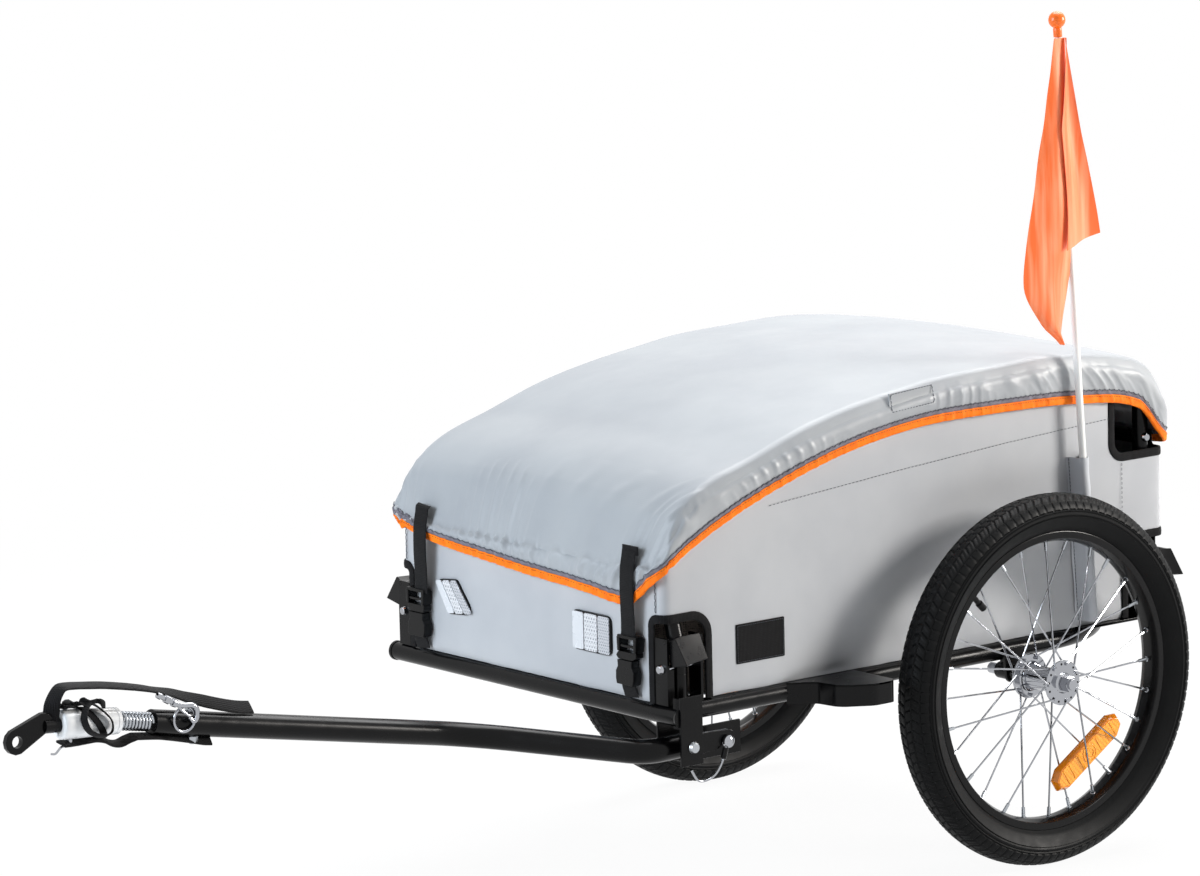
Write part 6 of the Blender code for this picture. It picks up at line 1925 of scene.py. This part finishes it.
    def hem(self) -> Item:
        """The orange elastic tape folded round the skirt's lower edge."""
        shape = [(-0.001, 0.98), (0.0014, 1.02), (0.0021, 0.92), (0.0024, 0.6), (0.0023, 0.35),
                 (0.0018, 0.08), (0.0006, 0.0), (-0.0014, 0.02)]
        return dress(self.band("cover_hem", shape), ORANGE_ELASTIC, "cover", ["cover_binding"],
                     WEBBING_EDGE)

    def casing(self) -> Item:
        """The casing that shows as a narrow strip above the tape, its dark grey partly painted shade of the gathers.
        """
        shape = [(-0.0008, 1.6), (0.0005, 1.56), (0.001, 1.4), (0.0009, 1.1), (0.0004, 0.9), (-0.0014, 0.9)]
        return dress(self.band("cover_hem_casing", shape), CASING_AND_SHADE, "cover", angle=WEBBING_EDGE)

    def stitches(self) -> Item:
        """The zigzag thread along the casing, and the row along the tape."""
        rows = []
        for low, high, proud, size in ((1.42, 1.64, 0.0011, 0.00042), (0.8, 0.8, 0.0023, 0.0003)):
            path, normals = [], []
            for index in range(0, len(self.loop), 2):
                x, y = self.loop[index]
                path.append(self.on_skirt(x, y, self.lengths[index], low if (index // 2) % 2 else high,
                                          proud))
                normals.append(self.outward(x, y))
            draft = Draft()
            add_stitches(draft, path, normals, 0.0024, 0.0008, size)
            rows.append(draft)
        dress(rows[1].object("cover_tape_stitches"), ORANGE_THREAD, "cover", angle=WEBBING_EDGE)
        return dress(rows[0].object("cover_hem_stitches"), THREAD, "cover", angle=WEBBING_EDGE)

    def left_place(self, y: float, z: float, proud: float) -> Vector:
        """A point on the left skirt by its place and height."""
        top, bottom = self.surface(self.half_width, y), self.hem_height(self.half_width, y)
        share = (top - z) / (top - bottom)
        belly = self.belly * math.sin(math.pi * unit(share))
        return Vector((self.half_width + belly + proud, y, z))

    def patch(self) -> Item:
        """The sewn patch of the same cloth on the left skirt."""
        low, high = (-0.168, 0.301), (-0.108, 0.321)
        rows = []
        for step in range(13):
            y = low[0] + (high[0] - low[0]) * step / 12.0
            lift = 0.004 * step / 12.0
            rows.append([self.left_place(y, low[1] + lift + (high[1] - low[1]) * row / 6.0, 0.0011)
                         for row in range(7)])
        draft = Draft()
        draft.skin(rows)
        item = thickened(draft.object("cover_patch"), 0.0016, -1.0)
        dress(item, SILVER_CLOTH, "cover", angle=WEBBING_EDGE)
        draft = Draft()
        corners = [(low[0] + 0.001, low[1] + 0.001), (high[0] - 0.001, low[1] + 0.005),
                   (high[0] - 0.001, high[1] + 0.003), (low[0] + 0.001, high[1] - 0.001),
                   (low[0] + 0.001, low[1] + 0.001)]
        path = evenly([self.left_place(y, z, 0.0013) for y, z in corners], 0.004)
        add_stitches(draft, path, [OUT_LEFT] * len(path), 0.003, 0.0009, 0.00042)
        draft.dressed("cover_patch_stitches", THREAD, "cover", angle=WEBBING_EDGE)
        return item


@dataclass
class FrontFittings:
    """Straps, buckles and reflectors on the front of the box."""

    wall: float = -0.4738
    width: float = 0.023
    thick: float = 0.0016

    def build(self) -> None:
        """Builds and dresses the pieces on the front."""
        for side, centre, lean in ((Side.LEFT, 0.1785, 0.005), (Side.RIGHT, -0.1755, 0.006)):
            self.strap(side, centre, lean)
        for side, centre, lean in ((Side.LEFT, 0.1785, 0.004), (Side.RIGHT, -0.184, -0.001)):
            self.buckle(side, centre, lean)
        self.reflector(Side.LEFT, [(0.076, 0.073), (0.14, 0.073), (0.14, 0.115), (0.076, 0.115)])
        self.reflector(Side.RIGHT, [(-0.1385, 0.079), (-0.0935, 0.083), (-0.1235, 0.1185),
                                    (-0.1616, 0.1145)])

    def strap(self, side: Side, centre: float, lean: float) -> None:
        """The webbing from the cover down to its buckle."""
        path = flowing([(centre + lean * 1.15, -0.4805, 0.1945), (centre + lean * 1.1, -0.4838, 0.1915),
                        (centre + lean, -0.4842, 0.185), (centre + lean * 0.8, -0.4862, 0.17),
                        (centre + lean * 0.5, -0.4858, 0.145), (centre + lean * 0.2, -0.4838, 0.12),
                        (centre, -0.4832, 0.099)], 0.004)
        normals = [Vector((0.0, -1.0, 0.08)) for _ in path]
        draft = Draft().strip(path, normals, self.width, self.thick)
        if side is Side.LEFT:
            turned = [path[0] + Vector((0.0, -0.0016, rise)) for rise in (0.002, -0.001, -0.004, -0.007)]
            draft.strip(turned, normals[:4], self.width + 0.003, self.thick * 1.8)
        name = f"cover_strap_{side.word}"
        draft.dressed(f"{name}_web", BLACK_WEBBING, "cover", [name], 50.0)

    def buckle(self, side: Side, centre: float, lean: float) -> None:
        """A side-release buckle: its two halves, their side arms and the tail."""
        draft = Draft()
        y0, y1 = -0.4862, -0.475
        low = centre - lean
        draft.plate([(low - 0.013, 0.05), (low + 0.013, 0.05), (low + 0.0148, 0.056), (low + 0.015, 0.064),
                     (low + 0.0118, 0.069), (low + 0.0125, 0.076), (low - 0.0115, 0.076),
                     (low - 0.0108, 0.069), (low - 0.014, 0.064), (low - 0.0142, 0.056)], y0, y1, Axis.Y)
        draft.plate([(low - 0.0112, 0.0765), (low + 0.0122, 0.0765), (centre + 0.0152, 0.08),
                     (centre + 0.0148, 0.085), (centre - 0.0142, 0.085), (low - 0.0142, 0.08)], y0 + 0.0008,
                     y1, Axis.Y)
        draft.plate([(centre - 0.015, 0.085), (centre - 0.011, 0.085), (centre - 0.011, 0.1),
                     (centre - 0.016, 0.1)], y0, y1 + 0.001, Axis.Y)
        draft.plate([(centre + 0.011, 0.085), (centre + 0.015, 0.085), (centre + 0.016, 0.1),
                     (centre + 0.011, 0.1)], y0, y1 + 0.001, Axis.Y)
        draft.plate([(centre - 0.0155, 0.0985), (centre + 0.0155, 0.0985), (centre + 0.0155, 0.102),
                     (centre - 0.0155, 0.102)], y0 + 0.0005, y1, Axis.Y)
        draft.plate([(centre - 0.011, 0.0895), (centre + 0.011, 0.0895), (centre + 0.011, 0.0922),
                     (centre - 0.011, 0.0922)], y0 + 0.001, y0 + 0.005, Axis.Y)
        draft.dressed(f"buckle_{side.word}", BLACK_NYLON, "chassis", [f"strap_buckle_{side.word}"], 35.0,
                      ease=0.0009)
        draft = Draft()
        path = flowing([(low, -0.4805, 0.056), (low, -0.48, 0.048), (low + 0.001, -0.4768, 0.036)], 0.003)
        draft.strip(path, [Vector((0.0, -1.0, 0.1))] * len(path), self.width, self.thick)
        draft.dressed(f"buckle_tail_{side.word}", BLACK_WEBBING, "chassis", angle=50.0)

    def reflector(self, side: Side, corners: Line) -> None:
        """A sewn reflector: a dark bed with three bars of moulded prisms.

        Args:
            side: Left or right.
            corners: Its corners (x, z), from the lower left one round.
        """
        draft = Draft().plate(rounded_outline(corners, 0.0075, 5), self.wall - 0.0018, self.wall + 0.0012,
                              Axis.Y)
        draft.dressed(f"front_reflector_{side.word}_bed", BLACK_NYLON, "chassis",
                      [f"front_reflector_{side.word}"], 30.0, ease=0.0007)
        low_left, low_right, high_right, high_left = (Vector(corner) for corner in corners)
        bars = ((0.025, 0.31, CLEAR_PLAIN), (0.33, 0.665, CLEAR_PRISM), (0.685, 0.975, CLEAR_DIAMOND))
        for index, (start, end, finish) in enumerate(bars):
            bar = []
            for across, up in ((start, 0.03), (end, 0.03), (end, 0.97), (start, 0.97)):
                low, high = low_left.lerp(low_right, across), high_left.lerp(high_right, across)
                bar.append(low.lerp(high, up))
            draft = Draft().plate(rounded_outline(bar, 0.0025, 3), self.wall - 0.003, self.wall - 0.0012,
                                  Axis.Y)
            draft.dressed(f"front_reflector_{side.word}_bar_{index + 1}", finish, "chassis", angle=30.0,
                          ease=0.0005)


# Flag
@dataclass
class FlagPole:
    """The leaning glass fibre pole, its ball and its pennant."""

    radius: float = 0.004
    x: float = 0.239
    foot: tuple[float, float] = (0.1085, 0.046)
    head: tuple[float, float] = (0.067, 0.6868)
    ball: float = 0.0092
    ball_rise: float = 0.008

    def at(self, z: float) -> Vector:
        """A point on the pole's axis at a height."""
        share = (z - self.foot[1]) / (self.head[1] - self.foot[1])
        return Vector((self.x, self.foot[0] + (self.head[0] - self.foot[0]) * share, z))

    def build(self) -> None:
        """Builds and dresses the flag's pieces."""
        draft = Draft().tube([self.at(self.foot[1]), self.at(0.35), self.at(self.head[1])], self.radius,
                             sides=20)
        draft.dressed("flag_rod", WHITE_ROD, "flag", ["flag_pole"])
        self.knob()
        self.pennant()

    def knob(self) -> None:
        """The round orange knob with its short neck."""
        centre = self.at(self.head[1] + self.ball_rise)
        axis = (self.at(self.head[1]) - self.at(self.foot[1])).normalized()
        path, radii = [], []
        for step in range(4):
            path.append(centre - axis * (self.ball + 0.009 - 0.003 * step))
            radii.append(0.0047)
        for step in range(13):
            angle = math.radians(-64.0 + 154.0 * step / 12.0)
            path.append(centre + axis * (self.ball * math.sin(angle)))
            radii.append(max(0.0002, self.ball * math.cos(angle)))
        Draft().tube(path, radii, sides=28).dressed("flag_knob", ORANGE_ABS, "flag", ["flag_ball"],
                                                    WEBBING_EDGE)

    def pennant(self) -> None:
        """The pennant, hanging in two long folds from its sleeve."""
        left = ((0.348, 0.062), (0.356, 0.054), (0.372, 0.0355), (0.415, 0.012), (0.499, 0.026),
                (0.582, 0.042), (0.666, 0.056), (0.676, 0.0575))
        right = ((0.348, 0.065), (0.372, 0.069), (0.405, 0.076), (0.445, 0.085), (0.499, 0.087),
                 (0.582, 0.08), (0.666, 0.0735), (0.676, 0.072))
        wing = ((0.4635, 0.119), (0.49, 0.114), (0.54, 0.102), (0.578, 0.092), (0.664, 0.0745),
                (0.676, 0.072))
        draft = Draft()
        rows = []
        for step in range(56):
            z = 0.349 + (0.676 - 0.349) * step / 55.0
            start, end = smooth_line(z, left), smooth_line(z, right)
            row = []
            for column in range(15):
                share = column / 14.0
                y = start + (end - start) * share
                fold = 0.0055 * math.sin(share * 4.4 + 0.6 * math.sin(z * 9.0)) * min(1.0,
                                                                                      (0.68 - z) / 0.12)
                row.append((self.x + 0.0052 + fold + 0.001 * wave(z * 30.0, 2.0 + share), y, z))
            rows.append(row)
        draft.skin(rows)
        rows = []
        for step in range(36):
            share_down = step / 35.0
            row = []
            for column in range(10):
                share = column / 9.0
                z = 0.676 - share_down * (0.676 - 0.45 - 0.0135 * share)
                start = smooth_line(z, right) - 0.02 * min(1.0, (0.68 - z) / 0.1)
                end = smooth_line(max(z, 0.4636), wing)
                y = start + (end - start) * share
                fold = 0.0038 * math.sin(share * 5.2 + 1.4) * min(1.0, share_down / 0.3)
                row.append((self.x + 0.0092 - 0.003 * share + fold, y, z))
            rows.append(row)
        draft.skin(rows)
        item = draft.object("flag_pennant")
        item = thickened(item, 0.0005, 0.0)
        area = sum(face.area for face in item.data.polygons) / 2.0
        dress(item, FLAG_SHEET, "flag", ["pennant"], CLOTH_EDGE)
        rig.sheet(item, flat=(0.34, 0.15), held="hung", rests_on=["flag_pole"], area=round(area, 4))
        draft = Draft().tube([self.at(0.47), self.at(0.56), self.at(0.672)], 0.005, sides=20)
        draft.dressed("flag_sleeve", FLAG_SHEET, "flag", angle=50.0)


# Tow arm and coupler
@dataclass
class TowArm:
    """The bent arm with its tongue, its bolt, the lock pin and the snap hook."""

    radius: float = 0.0127
    x: float = 0.225
    hitch_x: float = 0.075
    pivot: tuple[float, float] = (-0.4574, -0.0084)
    end: tuple[float, float] = (-1.0046, 0.0756)
    slope: float = math.radians(10.6)
    lock: tuple[float, float] = (-0.4035, -0.0113)

    def build(self) -> None:
        """Builds and dresses the arm's pieces."""
        start = self.end[1] + (-0.612 - self.end[0]) * -math.tan(self.slope)
        path = rounded([(self.x, self.pivot[0] + self.radius, -0.01), (self.x, -0.5, -0.011),
                        (self.hitch_x, -0.612, start), (self.hitch_x, *self.end)], [0.04, 0.1], steps=20,)
        draft = Draft().tube(path, self.radius, sides=36)
        draft.dressed("tow_arm_tube", POWDER_COAT, "tow_arm", ["tow_arm"])
        self.tongue()
        self.strap_bolt()
        self.lock_pin()
        self.snap_hook()

    def tongue(self) -> None:
        """The plate at the arm's rear that hooks over the lock pin."""
        pin_y, pin_z = self.lock
        reach = 0.0053
        notch = [(pin_y + reach * math.cos(math.radians(angle)),
                  pin_z + reach * math.sin(math.radians(angle))) for angle in range(0, 181, 15)]
        outline = [(self.pivot[0] - 0.004, self.pivot[1] + 0.0105), (pin_y + 0.004, pin_z + 0.0115),
                   (pin_y + 0.009, pin_z + 0.0095), (pin_y + 0.011, pin_z + 0.006),
                   (pin_y + 0.011, pin_z - 0.0035), (pin_y + reach, pin_z - 0.0035), *notch,
                   (pin_y - reach, pin_z - 0.0035), (pin_y - 0.012, pin_z - 0.0075),
                   (self.pivot[0] + 0.004, self.pivot[1] - 0.0125),
                   (self.pivot[0] - 0.004, self.pivot[1] - 0.0125)]
        draft = Draft().plate(outline, self.x + 0.0062, self.x + 0.0122, Axis.X)
        draft.dressed("tow_arm_tongue", POWDER_COAT, "tow_arm", angle=35.0, ease=0.0006)

    def strap_bolt(self) -> None:
        """The bolt that holds the strap to the arm."""
        draft = Draft()
        y = -0.956
        draft.tube([(self.hitch_x, y, z) for z in (0.046, 0.084)], 0.003, sides=16)
        for low, high in ((0.079, 0.0835), (0.048, 0.054)):
            draft.tube([(self.hitch_x, y, low), (self.hitch_x, y, high)], 0.0062, sides=6)
        draft.dressed("strap_bolt", ZINC, "tow_arm", angle=35.0, ease=0.0005)

    def lock_pin(self) -> None:
        """The chromed lock pin, its domed head, wire loop and rubber sleeve."""
        y, z = self.lock
        face = self.x + 0.0062 + 0.006 + 0.0008
        draft = Draft()
        xs = (0.2055, 0.2062, face + 0.0005, face + 0.0008, face + 0.004, face + 0.0058, face + 0.0064)
        draft.tube([(x, y, z) for x in xs], [0.003, 0.004, 0.004, 0.0066, 0.0066, 0.0046, 0.001], sides=28)
        wire_x = face + 0.003
        path = flowing([(wire_x, y - 0.004, z - 0.004), (wire_x, y - 0.0085, z - 0.018),
                        (wire_x, y - 0.018, z - 0.031), (wire_x, y - 0.03, z - 0.0362),
                        (wire_x, y - 0.042, z - 0.0345), (wire_x, y - 0.0505, z - 0.0225)], 0.002)
        draft.tube(path, 0.0012, sides=12)
        draft.dressed("lock_pin_chromed", CHROME, "lock_pin", ["lock_pin"], 45.0)
        draft = Draft().tube(path[1:8], 0.003, sides=14)
        draft.dressed("lock_pin_sleeve", BLACK_NYLON, "lock_pin", angle=45.0)

    def snap_hook(self) -> None:
        """The split ring and the swivel hook that close the safety strap."""
        side = self.hitch_x + self.radius + 0.0023
        centre = Vector((side, -0.9743, 0.0759))
        draft = Draft()
        ring = [centre + around(math.tau * step / 40, 0.0125) for step in range(40)]
        draft.tube(ring, 0.0014, sides=12, looped=True)
        hook = flowing([(side + out, y, z) for out, y,
                        z in ((0.0036, -0.97, 0.0775), (0.004, -0.966, 0.073), (0.004, -0.9625, 0.0765),
                              (0.0036, -0.962, 0.085), (0.0034, -0.967, 0.0895), (0.003, -0.976, 0.0905),
                              (0.0026, -0.986, 0.0935))], 0.0012)
        radii = [0.0016 + 0.0012 * min(1.0, index / 10.0) for index in range(len(hook))]
        draft.tube(hook, radii, sides=14)
        gate = flowing([(side + out, y, z) for out, y,
                        z in ((0.0036, -0.9705, 0.079), (0.0034, -0.9755, 0.083), (0.003, -0.98, 0.087),
                              (0.0026, -0.9835, 0.0925))], 0.0015)
        draft.tube(gate, 0.0015, sides=12)
        axis = [(side + 0.0024 - 0.003 * t, -0.985 - 0.0205 * t, 0.0935 + 0.0115 * t) for t in
                (0.0, 0.2, 0.22, 0.36, 0.38, 0.6, 0.62, 0.8, 0.82, 1.0)]
        draft.tube(axis, [0.004, 0.0044, 0.0028, 0.0028, 0.0042, 0.004, 0.0024, 0.0024, 0.0034, 0.003],
                   sides=16)
        draft.dressed("snap_hook_plated", CHROME, "tow_arm", ["snap_hook"], 50.0)


@dataclass
class Coupler:
    """The spring coupler: coil, sleeve, hitch plate, pin and safety strap."""

    arm: TowArm
    spring_length: float = 0.04
    spring_radius: float = 0.0098
    wire: float = 0.0015
    turns: int = 9
    sleeve_length: float = 0.068
    sleeve_slope: float = math.radians(5.0)

    def along_spring(self, distance: float) -> Vector:
        """A point on the spring's axis, measured forward from the arm."""
        y, z = self.arm.end
        return Vector((self.arm.hitch_x, y - distance * math.cos(self.arm.slope),
                       z + distance * math.sin(self.arm.slope)))

    def along_sleeve(self, distance: float) -> Vector:
        """A point on the sleeve's axis, measured forward from the spring."""
        start = self.along_spring(self.spring_length + 0.001)
        return start + Vector((0.0, -distance * math.cos(self.sleeve_slope),
                               distance * math.sin(self.sleeve_slope)))

    def build(self) -> None:
        """Builds and dresses the coupler's pieces."""
        self.spring()
        self.sleeve()
        refined("flex_link", ZINC, "coupler_link", 0.0004)
        refined("hitch_plate", POWDER_COAT, "coupler", 0.0008)
        refined("retaining_pin", CHROME, "retaining_pin")
        self.strap()
        self.collar()

    def spring(self) -> None:
        """The coil in two halves, each bending over one of the coupler's joints."""
        coil = self.spring_radius - self.wire
        start = self.wire + 0.0007
        run = self.spring_length - 2.0 * start
        steps = self.turns * 24
        up = Vector((0.0, math.sin(self.arm.slope), math.cos(self.arm.slope)))
        points = []
        for index in range(steps + 1):
            angle = math.tau * index / 24.0
            centre = self.along_spring(start + run * index / steps)
            points.append(centre + OUT_LEFT * coil * math.cos(angle) + up * coil * math.sin(angle))
        middle = self.along_spring(self.spring_length / 2.0) + STAND
        half = steps // 2
        rear = Draft()
        rear.tube(points[:half + 1], self.wire, sides=12)
        item = dress(rear.object("spring_rear_coil"), ZINC, "", ["coupler_spring"], WEBBING_EDGE)
        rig.blend(item, "tow_arm", "coupler_link", start=self.along_spring(0.0) + STAND, end=middle)
        front = Draft()
        front.tube(points[half:], self.wire, sides=12)
        item = dress(front.object("spring_front_coil"), ZINC, "", angle=WEBBING_EDGE)
        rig.blend(item, "coupler_link", "coupler", start=middle,
                 end=self.along_spring(self.spring_length) + STAND)

    def sleeve(self) -> None:
        """The pale enamelled casting, its ends eased and a step at its mouth."""
        end = self.sleeve_length
        spots = [(0.0, 0.0122), (0.0008, 0.0134), (0.0045, 0.0136), (0.0048, 0.0131), (0.006, 0.0131),
                 (0.0063, 0.0137), (end * 0.5, 0.0143), (end - 0.006, 0.015), (end - 0.0024, 0.0147),
                 (end - 0.0006, 0.0136), (end, 0.012), (end, 0.008), (end - 0.01, 0.0079)]
        draft = Draft().tube([self.along_sleeve(distance) for distance, _ in spots],
                             [radius for _, radius in spots], sides=40)
        draft.dressed("coupler_casting", SILVER_ENAMEL, "coupler", ["coupler_sleeve"])

    def collar(self) -> None:
        """The black loop of webbing round the sleeve, with its crossing."""
        rings = []
        for step in range(36):
            angle = math.tau * step / 36
            out = Vector((math.cos(angle), 0.0, math.sin(angle)))
            lean = 0.0105 * math.sin(angle)
            ring = []
            for share, rise in ((-0.5, 0.0), (-0.5, 0.0012), (0.0, 0.0016), (0.5, 0.0012), (0.5, 0.0)):
                spot = self.along_sleeve(0.03 + lean + share * 0.0085)
                ring.append(spot + out * (0.0149 + rise))
            rings.append(ring)
        draft = Draft()
        draft.skin(rings, closed=True, looped=True)
        draft.dressed("strap_collar", BLACK_WEBBING, "coupler", angle=WEBBING_EDGE)
        x = self.arm.hitch_x
        loop = flowing([(x + 0.006, -1.079, 0.1075), (x + 0.013, -1.0715, 0.101),
                        (x + 0.0185, -1.0625, 0.089), (x + 0.019, -1.063, 0.0775),
                        (x + 0.0175, -1.074, 0.0745), (x + 0.018, -1.088, 0.0815),
                        (x + 0.0175, -1.0935, 0.093), (x + 0.013, -1.089, 0.102),
                        (x + 0.006, -1.08, 0.107)], 0.002)
        centre = Vector((x + 0.016, -1.0775, 0.09))
        normals = [(point - centre).normalized() + Vector((0.35, 0.0, 0.0)) for point in loop]
        draft = Draft().strip(loop, normals, 0.008, 0.0018)
        knot = flowing([(x + 0.003, -1.115, 0.1075), (x - 0.002, -1.109, 0.1088),
                        (x + 0.003, -1.103, 0.1052), (x - 0.002, -1.096, 0.1082),
                        (x + 0.002, -1.088, 0.1058), (x + 0.003, -1.078, 0.1078),
                        (x + 0.004, -1.066, 0.1045), (x + 0.006, -1.061, 0.102)], 0.0015)
        lean = [Vector((0.55 * math.sin(index * 0.5), 0.2 * math.cos(index * 0.9), 1.0))
                for index in range(len(knot))]
        draft.strip(knot, lean, 0.015, 0.0022)
        draft.dressed("strap_knot", BLACK_WEBBING, "coupler", angle=WEBBING_EDGE)

    def strap(self) -> None:
        """The safety strap, over and under the spring, in lengths that can bend."""
        x = self.arm.hitch_x
        over = [(-1.1225, 0.0935), (-1.1213, 0.1015), (-1.1191, 0.1123), (-1.1143, 0.1208),
                (-1.108, 0.1258), (-1.0964, 0.1255), (-1.0792, 0.1232), (-1.0618, 0.1209),
                (-1.0445, 0.1179), (-1.0271, 0.1144), (-1.0097, 0.1101), (-0.9922, 0.1047),
                (-0.9769, 0.1001), (-0.9616, 0.0941), (-0.9462, 0.0889), (-0.9307, 0.0837),
                (-0.9152, 0.0789), (-0.8996, 0.0748), (-0.8838, 0.0719)]
        under = [(-1.111, 0.07), (-1.0976, 0.0692), (-1.0845, 0.069), (-1.0715, 0.0688), (-1.0607, 0.0662),
                 (-1.0522, 0.0615), (-1.0435, 0.06), (-1.0346, 0.0627), (-1.0257, 0.0645),
                 (-1.0103, 0.0624), (-0.9927, 0.0594), (-0.9751, 0.056), (-0.9574, 0.0523),
                 (-0.9441, 0.0492), (-0.9352, 0.048)]
        front, rear = self.along_spring(self.spring_length) + STAND, self.along_spring(0.0) + STAND
        for name, points, meet, nodes in (
            ("safety_strap", over, 9, ["safety_strap"]), ("safety_strap_under", under, 8, []),
        ):
            middle = Vector((x, *points[meet])) + STAND
            self.web(f"{name}_front", points[:meet + 1], x, nodes, ("coupler_link", "coupler"),
                     (middle, front))
            self.web(f"{name}_rear", points[meet:], x, [], ("tow_arm", "coupler_link"), (rear, middle))

    def web(self, name: str, points: Line, x: float, nodes: Sequence[str], bodies: tuple[str, str],
            ends: tuple[Vector, Vector]) -> None:
        """One length of the strap, which bends between two bodies."""
        path = flowing([(x + 0.0016 * math.sin(y * 60.0), y, z) for y, z in points], 0.003)
        normals = []
        for point, along in zip(path, directions(path)):
            twist = 0.22 + 0.55 * unit((point.y + 1.0) / 0.06)
            flat = Vector((math.sin(twist), 0.0, math.cos(twist)))
            normals.append((flat - along * flat.dot(along)).normalized())
        draft = Draft().strip(path, normals, 0.0165, 0.0026)
        item = draft.dressed(name, BLACK_WEBBING, "", nodes, WEBBING_EDGE)
        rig.blend(item, *bodies, start=ends[0], end=ends[1])


# Studio
@dataclass
class Studio:
    """The floor, the lights, the surroundings and the camera."""

    place: tuple[float, float, float] = (4.941, -3.796, 1.531)
    azimuth: float = math.radians(51.78)
    elevation: float = math.radians(9.55)
    roll: float = math.radians(-1.38)
    lens: float = 181.5

    def build(self) -> None:
        """Sets up the whole studio."""
        self.floor()
        self.surroundings()
        self.lamp("overhead", (-0.5, 1.3, 2.9), (0.0, 0.1, 0.3), 2.4, 128.0, "#FFFFFF")
        self.lamp("side_key", (2.4, 3.2, 1.5), (0.1, 0.2, 0.3), 1.0, 152.0, "#FFFAF4")
        self.lamp("front_fill", (-0.6, -3.4, 1.5), (0.0, -0.2, 0.2), 2.0, 126.0, "#EAF5FF")
        self.camera()
        bpy.context.scene.view_settings.view_transform = "Standard"

    def camera(self) -> None:
        """A long lens that looks a little down on the left front corner."""
        data = bpy.data.cameras.new("camera")
        data.lens = self.lens
        data.sensor_width = 36.0
        data.sensor_fit = "HORIZONTAL"
        item = bpy.data.objects.new("camera", data)
        bpy.context.scene.collection.objects.link(item)
        level = math.cos(self.elevation)
        back = Vector((math.sin(self.azimuth) * level, -math.cos(self.azimuth) * level,
                       math.sin(self.elevation)))
        right = Vector((math.cos(self.azimuth), math.sin(self.azimuth), 0.0))
        up = back.cross(right)
        turned_right = right * math.cos(self.roll) + up * math.sin(self.roll)
        turned_up = up * math.cos(self.roll) - right * math.sin(self.roll)
        turn = Matrix((turned_right, turned_up, back)).transposed().to_4x4()
        item.matrix_world = Matrix.Translation(self.place) @ turn
        bpy.context.scene.camera = item

    def lamp(self, name: str, place: Point, aim: Point, size: float, power: float, colour: str) -> None:
        """A soft square lamp."""
        data = bpy.data.lights.new(name, "AREA")
        data.size = size
        data.energy = power
        data.color = linear(colour)[:3]
        item = bpy.data.objects.new(name, data)
        item.location = place
        item.rotation_euler = (Vector(aim) - Vector(place)).to_track_quat("-Z", "Y").to_euler()
        item.visible_camera = False
        bpy.context.scene.collection.objects.link(item)

    def seen(self, tree: Tree) -> Socket:
        """One for rays from the camera, in gloss and through clear pieces."""
        path = add_node(tree, "ShaderNodeLightPath")
        first = add_node(tree, "ShaderNodeMath",
                         {0: path.outputs["Is Camera Ray"], 1: path.outputs["Is Glossy Ray"]},
                         operation="MAXIMUM")
        return add_node(tree, "ShaderNodeMath",
                        {0: first.outputs[0], 1: path.outputs["Is Transmission Ray"]},
                        operation="MAXIMUM").outputs[0]

    def surroundings(self) -> None:
        """A white room that lights the object softly."""
        world = bpy.data.worlds.new("white_room")
        world.use_nodes = True
        tree = world.node_tree
        strength = add_node(tree, "ShaderNodeMapRange",
                            {"Value": self.seen(tree), "To Min": 0.1, "To Max": 1.0})
        background = tree.nodes["Background"]
        background.inputs["Color"].default_value = linear("#FFFFFF")
        tree.links.new(strength.outputs["Result"], background.inputs["Strength"])
        bpy.context.scene.world = world

    def floor(self) -> None:
        """A wide white floor that keeps the trailer's shadow."""
        draft = Draft()
        draft.skin([[(x, y, 0.0) for x in (-14.0, 14.0)] for y in (-14.0, 14.0)])
        item = draft.object("studio_floor", lifted=False)
        material = bpy.data.materials.new("studio_floor_white")
        material.use_nodes = True
        tree = material.node_tree
        tree.nodes.clear()
        matt = add_node(tree, "ShaderNodeBsdfDiffuse", {"Color": linear("#F4F4F4")})
        glow = add_node(tree, "ShaderNodeEmission", {"Color": linear("#FFFFFF"), "Strength": 1.0})
        place = add_node(tree, "ShaderNodeNewGeometry").outputs["Position"]
        distance = add_node(tree, "ShaderNodeVectorMath", {0: place}, operation="LENGTH").outputs["Value"]
        white = add_node(tree, "ShaderNodeMapRange", {
            "Value": distance, "From Min": 0.9, "From Max": 2.4, "To Min": 0.94, "To Max": 1.0})
        share = add_node(tree, "ShaderNodeMath", {0: self.seen(tree), 1: white.outputs["Result"]},
                         operation="MULTIPLY")
        mix = add_node(tree, "ShaderNodeMixShader",
                       {"Fac": share.outputs[0], 1: matt.outputs[0], 2: glow.outputs[0]})
        add_node(tree, "ShaderNodeOutputMaterial", {"Surface": mix.outputs[0]})
        item.data.materials.append(material)
        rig.stage(item)


def write_sizes() -> None:
    """Writes the CAD box and the dressed model's box."""
    boxes = {"cad": [list(corner) for corner in CAD_BOX],
             "visual": [list(corner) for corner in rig.bounds()]}
    with open(SIZE_FILE, "w", encoding="utf-8") as file:
        json.dump(boxes, file)


def main() -> None:
    """Builds the trailer's looks, sub-assembly by sub-assembly."""
    Studio().build()
    BaseFrame().build()
    ArmMount().build()
    SideFrames().build()
    CornerHardware().build()
    ClothBox(BoxPlan()).build()
    CoverCloth().build()
    FrontFittings().build()
    FlagPole().build()
    for side in Side:
        Wheel(side).build()
    arm = TowArm()
    arm.build()
    Coupler(arm).build()
    write_sizes()


if __name__ == "__main__":
    main()
